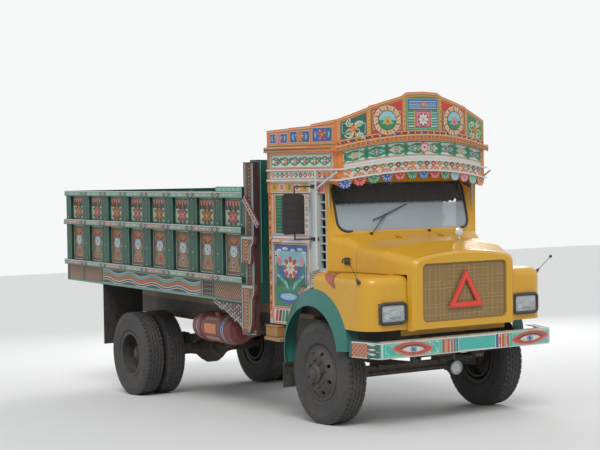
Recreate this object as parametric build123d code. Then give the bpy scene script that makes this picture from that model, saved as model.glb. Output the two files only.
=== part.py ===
from build123d import *
import os
from math import atan2, cos, degrees, radians, sin, sqrt

os.makedirs("parts", exist_ok=True)

# A bonneted goods truck with a coach-built cab and a timber load body, in millimetres.
# X points forward, Y to the truck's left and Z up. Everything is laid out level with the
# frame, over the ground under the front axle. The empty truck stands nose-down, because
# its rear springs are hardly loaded, so the sprung pieces are tipped at the end.

# Overall sizes
TYRE_R = 510.0            # tyre radius
WHEELBASE = 4218.0        # front axle to rear axle, along the frame
REAR_DROP = 221.0         # how far the rear axle hangs below the front one
BODY_REAR = -6049.0       # rear end of the load body
BODY_FRONT = -1263.0      # front end of its side boards
BODY_TOP = 2296.0         # top of the side boards
BODY_HALF = 1197.0        # half width over the side posts
CAB_REAR = -955.0         # outside of the cab's rear wall
CAB_FRONT = -71.0         # front end of the cab's side walls
CAB_HALF_REAR = 1080.0    # half width of the cab at its rear wall
CAB_HALF_FRONT = 945.0    # half width of the cab at the windscreen pillars
CAB_FOOT = 931.0          # lower edge of doors and cab sides
CAB_TOP = 2700.0          # underside of the cornice
GAP = 6.0                 # clearance round doors, lids and boards
FIT = 0.05                # radial clearance of pins in their bores
SEAT = 0.3                # clearance between curved faces that meet

REAR_X = -WHEELBASE
REAR_Z = TYRE_R - REAR_DROP
RAKE = degrees(atan2(REAR_DROP, WHEELBASE))
FRONT_CENTRE = (0, 0, TYRE_R)


def block(x, y, z):
    """A box between three pairs of low and high places."""
    centre = Pos((x[0] + x[1]) / 2, (y[0] + y[1]) / 2, (z[0] + z[1]) / 2)
    return centre * Box(x[1] - x[0], y[1] - y[0], z[1] - z[0])


def side_plate(outline, y):
    """An outline of (x, z) corners, pushed along Y from y[0] to y[1]."""
    face = make_face(Polyline(*[(px, y[0], pz) for px, pz in outline], close=True))
    return extrude(face, amount=y[1] - y[0], dir=(0, 1, 0))


def plan_plate(outline, z):
    """An outline of (x, y) corners, pushed up from z[0] to z[1]."""
    face = make_face(Polyline(*[(px, py, z[0]) for px, py in outline], close=True))
    return extrude(face, amount=z[1] - z[0], dir=(0, 0, 1))


def front_plate(outline, x):
    """An outline of (y, z) corners, pushed forward from x[0] to x[1]."""
    face = make_face(Polyline(*[(x[0], py, pz) for py, pz in outline], close=True))
    return extrude(face, amount=x[1] - x[0], dir=(1, 0, 0))


def rod(start, end, radius):
    """A round bar from one point to another."""
    axis = Vector(*end) - Vector(*start)
    base = Plane(origin=start, z_dir=axis)
    return base * Cylinder(radius, axis.length, align=(Align.CENTER, Align.CENTER, Align.MIN))


def cross_rod(x, z, y, radius):
    """A round bar along Y, from y[0] to y[1]."""
    return rod((x, y[0], z), (x, y[1], z), radius)


def turned(profile, x, z):
    """A solid of revolution about the Y line through (x, z), from (radius, y) corners."""
    face = make_face(Polyline(*[(x + pr, py, z) for pr, py in profile], close=True))
    return revolve(face, axis=Axis((x, 0, z), (0, 1, 0)))


def fused(pieces):
    """All pieces joined to one solid."""
    first, *others = pieces
    return first.fuse(*others).clean() if others else first


def other_side(shape):
    """The same piece on the truck's other side."""
    return mirror(shape, about=Plane.XZ)


NODES = {}
LEVEL_NODES = set()


def keep(name, *solids, level=False):
    """Puts solids under a node's name. A level node isn't tipped with the body."""
    NODES[name] = solids
    if level:
        LEVEL_NODES.add(name)


# Chassis frame: two channel rails and the cross members between them

RAIL_HALF = 430.0         # half width over the rails
RAIL_FLANGE = 75.0
RAIL_WALL = 8.0
RAIL_LOW, RAIL_HIGH = 690.0, 910.0
RAIL_REAR, RAIL_FRONT = -5950.0, 760.0
CROSS_MEMBERS = (700.0, -1350.0, -2350.0, -3350.0, -5050.0, -5900.0)
CROSS_DEPTH = 60.0
SHAFT_Z = 800.0           # height of the propeller shaft behind the gearbox
SHAFT_R = 42.0
BEARING_X = -2320.0       # middle bearing of the shaft, held in a cross member
BEARING_R = 66.0
TOW_Z = 800.0             # middle of the rear towing jaw
TOW_OPEN = 60.0
TOW_PLATE = 25.0
TOW_PIN_R = 17.5
CROSS_INSET = 25.0        # a cross member's edges above and below, inside the rails

# Leaf springs: half span, camber, leaf thickness, leaves, width, eye radius
SPRING_PIN_R = 12.0
FRONT_SPRING = dict(x=0.0, half=640.0, camber=28.0, leaf=9.5, leaves=6, eye_r=24.0, seat_z=548.0)
SADDLE = 70.0             # from the rear axle's line up to its spring saddle
REAR_SPRING = dict(x=REAR_X, half=720.0, camber=140.0, leaf=13.0, leaves=9, eye_r=28.0,
                   seat_z=REAR_Z + SADDLE + 14.0)
SPRING_Y = (RAIL_HALF - RAIL_FLANGE, RAIL_HALF)
HANGER_WALL = 10.0
BRIDGE = 12.0
WEDGE = 14.0              # thickness of the wedge between a spring and its axle


def spring_top(spring):
    return spring["seat_z"] + spring["leaf"] * spring["leaves"]


def spring_radius(spring):
    return (spring["half"] ** 2 + spring["camber"] ** 2) / (2 * spring["camber"])


def eye_centre_z(spring):
    return spring_top(spring) + spring["camber"] + spring["eye_r"] - spring["leaf"]


def leaf(spring, index):
    """One leaf: a band between two arcs, shorter with each step down from the main leaf."""
    radius = spring_radius(spring)
    centre_z = spring_top(spring) + radius
    reach = spring["half"] * (1 - 0.8 * index / spring["leaves"])
    swing = degrees(reach / radius)
    outer = radius + (index + 1) * spring["leaf"]
    inner = radius + index * spring["leaf"]
    ends = []
    for ring in (inner, outer):
        left = (spring["x"] - ring * sin(radians(swing)), 0, centre_z - ring * cos(radians(swing)))
        middle = (spring["x"], 0, centre_z - ring)
        right = (spring["x"] + ring * sin(radians(swing)), 0, left[2])
        ends.append((left, middle, right))
    (a, b, c), (d, e, f) = ends
    outline = [ThreePointArc(a, b, c), Line(c, f), ThreePointArc(f, e, d), Line(d, a)]
    face = make_face(outline)
    band = extrude(face, amount=SPRING_Y[1] - SPRING_Y[0], dir=(0, 1, 0))
    return Pos(0, SPRING_Y[0], 0) * band


def leaf_spring(spring):
    leaves = [leaf(spring, index) for index in range(spring["leaves"])]
    eyes = []
    bores = []
    for end in (-1, 1):
        x = spring["x"] + end * spring["half"]
        z = eye_centre_z(spring)
        eyes.append(cross_rod(x, z, SPRING_Y, spring["eye_r"]))
        bores.append(cross_rod(x, z, SPRING_Y, SPRING_PIN_R + FIT))
    body = fused(leaves + eyes)
    for bore in bores:
        body = body - bore
    return body


def hanger(spring, end):
    """Two cheeks that hold a spring eye under the rail, with the pin between them."""
    x = spring["x"] + end * spring["half"]
    z = eye_centre_z(spring)
    width = spring["eye_r"] + 12
    cheeks = []
    for y in ((SPRING_Y[0] - HANGER_WALL, SPRING_Y[0] - 0.5), (SPRING_Y[1] + 0.5, SPRING_Y[1] + HANGER_WALL)):
        cheek = side_plate([(x - width, RAIL_LOW), (x - width * 0.6, z - 30), (x + width * 0.6, z - 30),
                            (x + width, RAIL_LOW)], y)
        cheeks.append(cheek)
    pin = cross_rod(x, z, (SPRING_Y[0] - HANGER_WALL, SPRING_Y[1] + HANGER_WALL), SPRING_PIN_R)
    bridge = block((x - width, x + width), (SPRING_Y[0] - HANGER_WALL, SPRING_Y[1] + HANGER_WALL),
                   (RAIL_LOW - BRIDGE, RAIL_LOW))
    return [*cheeks, pin, bridge]


def chassis_frame():
    rail = block((RAIL_REAR, RAIL_FRONT), (RAIL_HALF - RAIL_FLANGE, RAIL_HALF), (RAIL_LOW, RAIL_HIGH))
    hollow = block((RAIL_REAR, RAIL_FRONT), (RAIL_HALF - RAIL_FLANGE, RAIL_HALF - RAIL_WALL),
                   (RAIL_LOW + RAIL_WALL, RAIL_HIGH - RAIL_WALL))
    rail = rail - hollow
    pieces = [rail]
    for spring in (FRONT_SPRING, REAR_SPRING):
        for end in (-1, 1):
            pieces.extend(hanger(spring, end))
    right = [other_side(piece) for piece in pieces]
    inner = RAIL_HALF - RAIL_WALL
    members = []
    for x in CROSS_MEMBERS:
        height = (RAIL_LOW + CROSS_INSET, RAIL_HIGH - CROSS_INSET)
        member = block((x, x + CROSS_DEPTH), (-inner, inner), height)
        pocket = block((x + RAIL_WALL, x + CROSS_DEPTH), (-inner, inner),
                       (RAIL_LOW + CROSS_INSET + RAIL_WALL, RAIL_HIGH - CROSS_INSET - RAIL_WALL))
        members.append(member - pocket)
    jaw = [members[-1]]
    for z in (TOW_Z - TOW_OPEN / 2 - TOW_PLATE, TOW_Z + TOW_OPEN / 2):
        jaw.append(block((RAIL_REAR - 90, CROSS_MEMBERS[-1] + 10), (-60, 60), (z, z + TOW_PLATE)))
    tow_bore = Pos(RAIL_REAR - 45, 0, TOW_Z) * Cylinder(TOW_PIN_R, 200)
    members[-1] = fused(jaw) - tow_bore
    shaft_path = rod((CROSS_MEMBERS[1] - 50, 0, SHAFT_Z), (CROSS_MEMBERS[1] + 110, 0, SHAFT_Z), SHAFT_R + 40)
    bearing_seat = rod((BEARING_X - 90, 0, SHAFT_Z), (BEARING_X + 90, 0, SHAFT_Z), BEARING_R + SEAT)
    members = [member - shaft_path - bearing_seat for member in members]
    return fused(pieces), fused(right), *members


keep("chassis_frame", *chassis_frame())


# Front axle: a forged I-beam that drops between its kingpin eyes

KINGPIN_Y = 840.0
KINGPIN_R = 22.0
EYE_R = 46.0
EYE_HALF = 48.0
BEAM_WIDTH = 84.0
BEAM_HEIGHT = 92.0
BEAM_LOW = 440.0
BEAM_WEB = 22.0


def front_axle():
    low, high = BEAM_LOW, BEAM_LOW + BEAM_HEIGHT
    top = TYRE_R + 40
    under = TYRE_R - 38
    outline = [(-KINGPIN_Y, under), (-700, low + 10), (-560, low), (560, low), (700, low + 10),
               (KINGPIN_Y, under), (KINGPIN_Y, top), (680, high + 10), (560, high), (-560, high),
               (-680, high + 10), (-KINGPIN_Y, top)]
    beam = front_plate(outline, (-BEAM_WIDTH / 2, BEAM_WIDTH / 2))
    pieces = [beam]
    for side in (-1, 1):
        y = side * KINGPIN_Y
        pieces.append(Pos(0, y, TYRE_R) * Cylinder(EYE_R, 2 * EYE_HALF))
        y_low, y_high = sorted((side * (SPRING_Y[0] - 8), side * (SPRING_Y[1] + 8)))
        pieces.append(block((-80, 80), (y_low, y_high), (high - 20, FRONT_SPRING["seat_z"] - WEDGE)))
    body = fused(pieces)
    groove = (-540, 540)
    for x in ((-BEAM_WIDTH / 2, -BEAM_WEB / 2), (BEAM_WEB / 2, BEAM_WIDTH / 2)):
        body = body - block(x, groove, (low + 20, high - 20))
    for side in (-1, 1):
        bore = Pos(0, side * KINGPIN_Y, TYRE_R) * Cylinder(KINGPIN_R + FIT, 4 * EYE_HALF)
        body = body - bore
    return body


keep("front_axle", front_axle(), level=True)


def spring_seat(spring, half, low, slope):
    """The pad and wedge under a spring, whose foot keeps level while the frame is tipped."""
    y = (SPRING_Y[0] - 8, SPRING_Y[1] + 8)
    x = spring["x"]
    outline = [(x - half, low - half * slope), (x + half, low + half * slope),
               (x + half, spring["seat_z"]), (x - half, spring["seat_z"])]
    return side_plate(outline, y)


def leaf_springs():
    slope = REAR_DROP / WHEELBASE
    solids = []
    for spring, half, low, tilt in ((FRONT_SPRING, 80, FRONT_SPRING["seat_z"] - WEDGE + 0.2, slope),
                                    (REAR_SPRING, 95, REAR_Z + SADDLE, 0)):
        stack = leaf_spring(spring)
        seat = spring_seat(spring, half, low, tilt)
        reach = half * 0.8
        clamp = block((spring["x"] - reach, spring["x"] + reach), (SPRING_Y[0] - 6, SPRING_Y[1] + 6),
                      (spring["seat_z"], spring_top(spring) + 14))
        left = fused([stack, seat, clamp])
        solids.extend([left, other_side(left)])
    return solids


keep("leaf_springs", *leaf_springs())


# Wheels: 20 inch disc wheels, single in front and twin behind

TYRE_HALF = 122.5         # half the tyre's width
SEAT_R = 254.0            # bead seat radius
FLANGE_R = 276.0
RIM_HALF = 100.0
DISC_OFFSET = 146.0       # from the middle of a rim to its disc's outer face
DISC_WALL = 12.0
HAND_HOLES = 8
HAND_HOLE_R = 21.0
HAND_HOLE_AT = 201.0      # radius of the ring of hand-holes
HUB_R = 92.0
DRUM_R = 205.0
SPINDLE_R = 38.0
FRONT_TYRE_Y = 982.5
FRONT_HUB_Y = 1173.0
TWIN_Y = 888.5            # where the two rear discs meet
REAR_SPINDLE_R = 55.0

# Tyre section: radius, distance from the tyre's middle
TYRE_SECTION = ((SEAT_R + SEAT, 91.7), (FLANGE_R + 4, 91.7), (304, 112), (385, TYRE_HALF), (462, 117),
                (TYRE_R - 16, 106), (TYRE_R, 88))


def tyre(x, y, z):
    right = [(radius, y + away) for radius, away in TYRE_SECTION]
    left = [(radius, y - away) for radius, away in reversed(TYRE_SECTION)]
    return turned(right + left, x, z)


def rim_section(y, out):
    """Half of a wheel's section: the rim, the cone and the disc. out is +1 towards +Y."""
    disc = y + out * DISC_OFFSET
    back = disc - out * DISC_WALL
    inside = RIM_HALF - 8
    return [(FLANGE_R, y - out * RIM_HALF), (FLANGE_R, y - out * inside), (SEAT_R, y - out * inside),
            (SEAT_R, y + out * inside), (FLANGE_R, y + out * inside), (FLANGE_R, y + out * RIM_HALF),
            (SEAT_R - 10, y + out * RIM_HALF), (SEAT_R - 30, y + out * (RIM_HALF + 14)),
            (178, disc), (60, disc), (60, back), (172, back), (SEAT_R - 44, y + out * (RIM_HALF - 6)),
            (SEAT_R - 12, y + out * (RIM_HALF - 26)), (SEAT_R - 12, y - out * RIM_HALF)]


def hand_holes(x, z, y):
    """Round bars along Y in a ring, to be cut out of a wheel's disc."""
    bars = []
    for index in range(HAND_HOLES):
        turn = radians(360 * (index + 0.5) / HAND_HOLES)
        bars.append(cross_rod(x + HAND_HOLE_AT * cos(turn), z + HAND_HOLE_AT * sin(turn), y, HAND_HOLE_R))
    return bars


def front_rim():
    """Front wheel without its tyre: rim, convex disc, hub with cap and brake drum."""
    rim = turned(rim_section(FRONT_TYRE_Y, 1), 0, TYRE_R)
    disc = FRONT_TYRE_Y + DISC_OFFSET
    inner = disc - DISC_WALL
    bore = SPINDLE_R + FIT
    web, lip, cap = inner - 120, inner - 230, FRONT_HUB_Y - 14
    hub = turned([(bore, web), (DRUM_R, web), (DRUM_R + 6, lip), (DRUM_R - 14, lip), (DRUM_R - 14, web - 20),
                  (bore, web - 20)], 0, TYRE_R)
    barrel = turned([(bore, web - 20), (HUB_R, web - 20), (HUB_R, inner + 30), (70, FRONT_HUB_Y - 8),
                     (62, FRONT_HUB_Y), (0, FRONT_HUB_Y), (0, cap), (bore, cap)], 0, TYRE_R)
    wheel = fused([rim, hub, barrel])
    return wheel.cut(*hand_holes(0, TYRE_R, (inner - 60, disc + 20)))


def twin_rims():
    """Rear wheel pair without its tyres: two rims back to back on one hub and drum."""
    outer = turned(rim_section(TWIN_Y + DISC_OFFSET, -1), REAR_X, REAR_Z)
    inner = turned(rim_section(TWIN_Y - DISC_OFFSET, 1), REAR_X, REAR_Z)
    bore = REAR_SPINDLE_R + FIT
    drum_low, drum_high = TWIN_Y - 260, TWIN_Y - 30
    drum = turned([(DRUM_R - 16, drum_low), (DRUM_R, drum_low), (DRUM_R, drum_high), (bore, drum_high),
                   (bore, drum_high - 16), (DRUM_R - 16, drum_high - 16)], REAR_X, REAR_Z)
    end = TWIN_Y + 168
    hub = turned([(bore, drum_high), (105, drum_high), (105, TWIN_Y + 40), (88, end - 18), (70, end),
                  (0, end), (0, end - 16), (bore, end - 16)], REAR_X, REAR_Z)
    wheel = fused([outer, inner, drum, hub])
    return wheel.cut(*hand_holes(REAR_X, REAR_Z, (TWIN_Y - 0.7, TWIN_Y + 90)))


FRONT_RIM = front_rim()
FRONT_TYRE = tyre(0, FRONT_TYRE_Y, TYRE_R)
TWIN_RIMS = twin_rims()
TWIN_TYRES = [tyre(REAR_X, TWIN_Y + side * DISC_OFFSET, REAR_Z) for side in (-1, 1)]
keep("rim_front_left", FRONT_RIM, level=True)
keep("rim_front_right", other_side(FRONT_RIM), level=True)
keep("tyre_front_left", FRONT_TYRE, level=True)
keep("tyre_front_right", other_side(FRONT_TYRE), level=True)
keep("rims_rear_left", TWIN_RIMS)
keep("rims_rear_right", other_side(TWIN_RIMS))
keep("tyres_rear_left", *TWIN_TYRES)
keep("tyres_rear_right", *[other_side(solid) for solid in TWIN_TYRES])


# Steering knuckles: a fork round the beam's eye with its kingpin, spindle and arm

ARM_REACH = 190.0         # from the kingpin back to the track rod's ball
EAR = 22.0


def knuckle():
    pieces = []
    outer = KINGPIN_Y + EYE_R + 4
    for low in (TYRE_R - EYE_HALF - 1 - EAR, TYRE_R + EYE_HALF + 1):
        pieces.append(Pos(0, KINGPIN_Y, low + EAR / 2) * Cylinder(44, EAR))
        pieces.append(block((-40, 40), (KINGPIN_Y, outer + 12), (low, low + EAR)))
    pieces.append(block((-40, 40), (outer, outer + 26), (TYRE_R - EYE_HALF - EAR, TYRE_R + EYE_HALF + EAR)))
    pieces.append(Pos(0, KINGPIN_Y, TYRE_R) * Cylinder(KINGPIN_R, 2 * EYE_HALF + 2 * EAR))
    pieces.append(cross_rod(0, TYRE_R, (outer + 20, FRONT_HUB_Y - 24), SPINDLE_R))
    pieces.append(cross_rod(0, TYRE_R, (outer + 14, outer + 44), 62))
    arm_z = (TYRE_R - EYE_HALF - 1 - EAR, TYRE_R - EYE_HALF - 1)
    pieces.append(plan_plate([(0, KINGPIN_Y - 26), (0, KINGPIN_Y + 26), (-ARM_REACH, KINGPIN_Y + 16),
                              (-ARM_REACH, KINGPIN_Y - 16)], arm_z))
    ball = Cylinder(16, 2 * EAR, align=(Align.CENTER, Align.CENTER, Align.MAX))
    pieces.append(Pos(-ARM_REACH, KINGPIN_Y, arm_z[0]) * ball)
    return fused(pieces)


KNUCKLE = knuckle()
keep("knuckle_left", KNUCKLE, level=True)
keep("knuckle_right", other_side(KNUCKLE), level=True)


def track_rod():
    """The tube that ties both knuckle arms, with an open eye at each end."""
    z = TYRE_R - EYE_HALF - 1 - EAR - 2 * EAR + 20
    eye_z = (z - 14, z + 14)
    tube = cross_rod(-ARM_REACH, z, (-KINGPIN_Y + 20, KINGPIN_Y - 20), 17)
    pieces = [tube]
    for side in (-1, 1):
        pieces.append(Pos(-ARM_REACH, side * KINGPIN_Y, sum(eye_z) / 2) * Cylinder(30, eye_z[1] - eye_z[0]))
    body = fused(pieces)
    for side, clearance in ((1, FIT), (-1, 1.0)):
        body = body - Pos(-ARM_REACH, side * KINGPIN_Y, z) * Cylinder(16 + clearance, 80)
    return body


keep("track_rod", track_rod(), level=True)


# Rear axle: banjo case with its casing tubes and wheel spindles

PINION_START = (REAR_X + 100, 0, REAR_Z + 10)
PINION_END = (REAR_X + 330, 0, REAR_Z + 30)


def rear_axle():
    half = [(0, 0), (190, 0), (190, 60), (150, 130), (80, 210), (65, 300), (65, 560), (REAR_SPINDLE_R, 600),
            (REAR_SPINDLE_R, TWIN_Y + 140), (0, TWIN_Y + 140)]
    left = turned(half, REAR_X, REAR_Z)
    nose = rod(PINION_START, PINION_END, 80)
    pieces = [left, other_side(left), nose]
    body = fused(pieces)
    for side in (-1, 1):
        y = sorted((side * (SPRING_Y[0] - 12), side * (SPRING_Y[1] + 12)))
        seat = block((REAR_X - 95, REAR_X + 95), y, (REAR_Z - 40, REAR_Z + SADDLE))
        body = body + seat
    return body


keep("rear_axle", rear_axle())


# Engine with gearbox, and the propeller shaft in two lengths

ENGINE_BACK, ENGINE_FRONT = -480.0, 590.0
GEARBOX_BACK = -1150.0
MOUNT_Y = RAIL_HALF - RAIL_FLANGE
RADIATOR_HALF = 362.0
RADIATOR_TOP = 1450.0
PANEL_X = (738.0, 752.0)  # the cross panel in front of the radiator


def engine():
    body = block((ENGINE_BACK, ENGINE_FRONT), (-270, 270), (760, 1360))
    sump = block((ENGINE_BACK + 60, ENGINE_FRONT - 120), (-190, 190), (640, 760))
    bell = rod((ENGINE_BACK, 0, 850), (ENGINE_BACK - 160, 0, 850), 210)
    box = block((GEARBOX_BACK, ENGINE_BACK - 160), (-150, 150), (670, 980))
    tail = rod((GEARBOX_BACK, 0, SHAFT_Z), (GEARBOX_BACK - 60, 0, SHAFT_Z), 60)
    mounts = [block((-60, 60), y, (770, 850)) for y in ((-MOUNT_Y, -260), (260, MOUNT_Y))]
    power = fused([body, sump, bell, box, tail, *mounts])
    radiator = block((650, PANEL_X[0]), (-RADIATOR_HALF, RADIATOR_HALF), (RAIL_HIGH, RADIATOR_TOP))
    return power, radiator


keep("engine", *engine())


def propeller_shaft():
    start = (GEARBOX_BACK - 60, 0, SHAFT_Z)
    middle = (BEARING_X, 0, SHAFT_Z)
    end = PINION_END
    pieces = [rod(start, middle, SHAFT_R), rod(middle, end, SHAFT_R)]
    for point, radius in ((start, 58), (middle, BEARING_R), (end, 58)):
        pieces.append(Pos(*point) * Sphere(radius))
    shaft = fused(pieces)
    front_face = block((GEARBOX_BACK - 60, GEARBOX_BACK + 60), (-100, 100), (SHAFT_Z - 100, SHAFT_Z + 100))
    pinion_face = rod(PINION_START, end, 120)
    pinion_case = cross_rod(REAR_X, REAR_Z, (-60, 60), 195)
    return shaft - front_face - pinion_face - pinion_case


keep("propeller_shaft", propeller_shaft())


# Exhaust: down from the engine, a silencer beside the shaft and a tail pipe on the left

EXHAUST_Y = 250.0
EXHAUST_Z = 590.0
PIPE_R = 26.0
SILENCER_X = (-1150.0, -450.0)
SILENCER_R = 82.0
TAIL_END = -2650.0


def exhaust():
    pieces = [rod((SILENCER_X[0], EXHAUST_Y, EXHAUST_Z), (SILENCER_X[1], EXHAUST_Y, EXHAUST_Z), SILENCER_R),
              rod((TAIL_END, EXHAUST_Y, EXHAUST_Z), (-240, EXHAUST_Y, EXHAUST_Z), PIPE_R),
              Pos(-240, EXHAUST_Y, EXHAUST_Z) * Sphere(PIPE_R),
              rod((-240, EXHAUST_Y, EXHAUST_Z), (-240, EXHAUST_Y, 760), PIPE_R)]
    rail = (RAIL_HALF - RAIL_FLANGE, RAIL_HALF)
    for x in (SILENCER_X[0] + 120, TAIL_END + 150):
        pieces.append(block((x, x + 30), rail, (EXHAUST_Z - 8, RAIL_LOW)))
        pieces.append(block((x, x + 30), (EXHAUST_Y, rail[1]), (EXHAUST_Z - 8, EXHAUST_Z + 8)))
    return fused(pieces)


keep("exhaust", exhaust())


# Fuel tank: a barrel with domed ends in two hoops, on the right of the frame

TANK_X = (-2990.0, -2000.0)
TANK_Y = -800.0
TANK_Z = 735.0
TANK_R = 170.0
HOOP = 6.0


def fuel_tank():
    x_low, x_high = TANK_X
    profile = [(x_low, 0), (x_low + 18, 90), (x_low + 60, TANK_R - 20), (x_low + 200, TANK_R),
               (x_high - 200, TANK_R), (x_high - 60, TANK_R - 20), (x_high - 18, 90), (x_high, 0)]
    face = make_face(Polyline(*[(px, TANK_Y, TANK_Z + pr) for px, pr in profile], close=True))
    tank = revolve(face, axis=Axis((0, TANK_Y, TANK_Z), (1, 0, 0)))
    pieces = [tank]
    for x in (x_low + 240, x_high - 290):
        hoop = rod((x, TANK_Y, TANK_Z), (x + 50, TANK_Y, TANK_Z), TANK_R + HOOP)
        arm = block((x, x + 50), (TANK_Y + 60, -RAIL_HALF), (TANK_Z + 20, TANK_Z + 140))
        pieces.extend([hoop, arm])
    neck = rod((x_high - 400, TANK_Y - 70, TANK_Z + 130), (x_high - 400, TANK_Y - 100, TANK_Z + 205), 38)
    pieces.append(neck)
    return fused(pieces)


keep("fuel_tank", fuel_tank())


def battery_box():
    """Battery box and air reservoir on the left of the frame."""
    case = block((-1760, -1240), (RAIL_HALF, 800), (650, 890))
    lid = block((-1775, -1225), (RAIL_HALF, 812), (890, 905))
    reservoir = rod((-2900, 620, 760), (-2150, 620, 760), 120)
    arms = [block((x, x + 40), (RAIL_HALF, 620), (730, 790)) for x in (-2780, -2310)]
    return fused([case, lid]), fused([reservoir, *arms])


keep("battery_box", *battery_box())


# Front bumper: a deep channel, straight in front and swept back past the wings

BUMPER_X = 975.0
BUMPER_BEND_Y = 1055.0
BUMPER_END = (615.0, 1157.0)
BUMPER_SWEEP = atan2(BUMPER_END[1] - BUMPER_BEND_Y, BUMPER_X - BUMPER_END[0])
BUMPER_LOW, BUMPER_HIGH = 736.0, 892.0
BUMPER_DEPTH = 95.0
BUMPER_WALL = 6.0
BUMPER_CORNER_R = 50.0


def bumper_band(near, far, z):
    """The bumper's plan between two depths behind its front face."""
    outline = []
    lean, square = sin(BUMPER_SWEEP), cos(BUMPER_SWEEP)
    for depth, order in ((near, 1), (far, -1)):
        end = (BUMPER_END[0] - depth * lean, BUMPER_END[1] - depth * square)
        bend = (BUMPER_X - depth, BUMPER_BEND_Y - depth * (1 - lean) / square)
        run = [(end[0], -end[1]), (bend[0], -bend[1]), bend, end]
        outline.extend(run[::order])
    band = plan_plate(outline, z)
    corners = [edge for edge in band.edges().filter_by(Axis.Z) if edge.center().X > BUMPER_X - 20]
    return fillet(corners, BUMPER_CORNER_R - near)


def front_bumper():
    beam = bumper_band(0, BUMPER_DEPTH, (BUMPER_LOW, BUMPER_HIGH))
    inside = (BUMPER_LOW + BUMPER_WALL, BUMPER_HIGH - BUMPER_WALL)
    beam = beam - bumper_band(BUMPER_WALL, BUMPER_DEPTH + 2, inside)
    pieces = [beam]
    for side in (-1, 1):
        y = sorted((side * (RAIL_HALF - RAIL_FLANGE), side * RAIL_HALF))
        pieces.append(block((RAIL_FRONT, BUMPER_X - BUMPER_WALL), y, (BUMPER_LOW + 20, BUMPER_HIGH - 20)))
    return fused(pieces)


keep("front_bumper", front_bumper())


# Lamps: two oblong headlamps in the wings and one round lamp under the bumper

HEADLAMP_Y = 822.0
HEADLAMP_Z = 1148.0
HEADLAMP_HALF_W = 162.0
HEADLAMP_HALF_H = 106.0
WING_FACE_X = 852.0
FOG_Y = -57.0
FOG_Z = 571.0
FOG_R = 66.0
FOG_X = 850.0


def lamp_range(middle, half):
    return (middle - half, middle + half)


def front_lamps():
    lamp = block((WING_FACE_X - 60, WING_FACE_X + 14), lamp_range(HEADLAMP_Y, HEADLAMP_HALF_W - 8),
                 lamp_range(HEADLAMP_Z, HEADLAMP_HALF_H - 8))
    lamp = fillet(lamp.edges().filter_by(Axis.X), 24)
    fog = rod((FOG_X - 70, FOG_Y, FOG_Z), (FOG_X, FOG_Y, FOG_Z), FOG_R)
    bowl = Pos(FOG_X - 70, FOG_Y, FOG_Z) * Sphere(FOG_R - 8)
    stalk = rod((FOG_X - 40, FOG_Y, FOG_Z + 40), (FOG_X - 40, FOG_Y, BUMPER_LOW), 12)
    foot = block((FOG_X - 66, FOG_X - 14), (FOG_Y - 40, FOG_Y + 40), (BUMPER_LOW - 8, BUMPER_LOW))
    plate = block((FOG_X - 66, BUMPER_X - 4), (FOG_Y - 40, FOG_Y + 40), (BUMPER_LOW - 8, BUMPER_LOW))
    return lamp, other_side(lamp), fused([fog, bowl, stalk, foot, plate])


FRONT_LAMPS = front_lamps()


# Pressed front: nose panel, wings, cowl and bonnet lid

SKIN = 14.0               # thickness of the pressed panels
NOSE_HALF = 640.0
NOSE_LOW = 970.0
GRILLE_HALF = 519.0
GRILLE_LOW, GRILLE_HIGH = 1045.0, 1607.0
WING_OUT = 1105.0
WING_LOW = 985.0
WING_TOP = 1500.0
WING_REAR = CAB_FRONT
LID_FOOT = WING_TOP + GAP
PAD = 70.0                # length of the rubber pads under the bonnet's foot
PAD_X = (330.0, 640.0)
ARCH_X, ARCH_Z = -55.0, 770.0
WING_ARCH_R = 571.5       # edge of the wing, just outside the flare
LINER = 12.0              # thickness of the wheel house under the wing


def rounded_front(half, low, high, radius, x):
    """A rounded oblong seen from the front, pushed along X."""
    face = Plane(origin=(x[0], 0, (low + high) / 2), x_dir=(0, 1, 0), z_dir=(1, 0, 0)) * RectangleRounded(
        2 * half, high - low, radius)
    return extrude(face, amount=x[1] - x[0], dir=(1, 0, 0))


def outside_edges(edges, rear):
    """The edges of a wing's top along its outer side and its front."""
    return [edge for edge in edges if edge.center().Y > NOSE_HALF + 60 and edge.center().X > rear]


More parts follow.
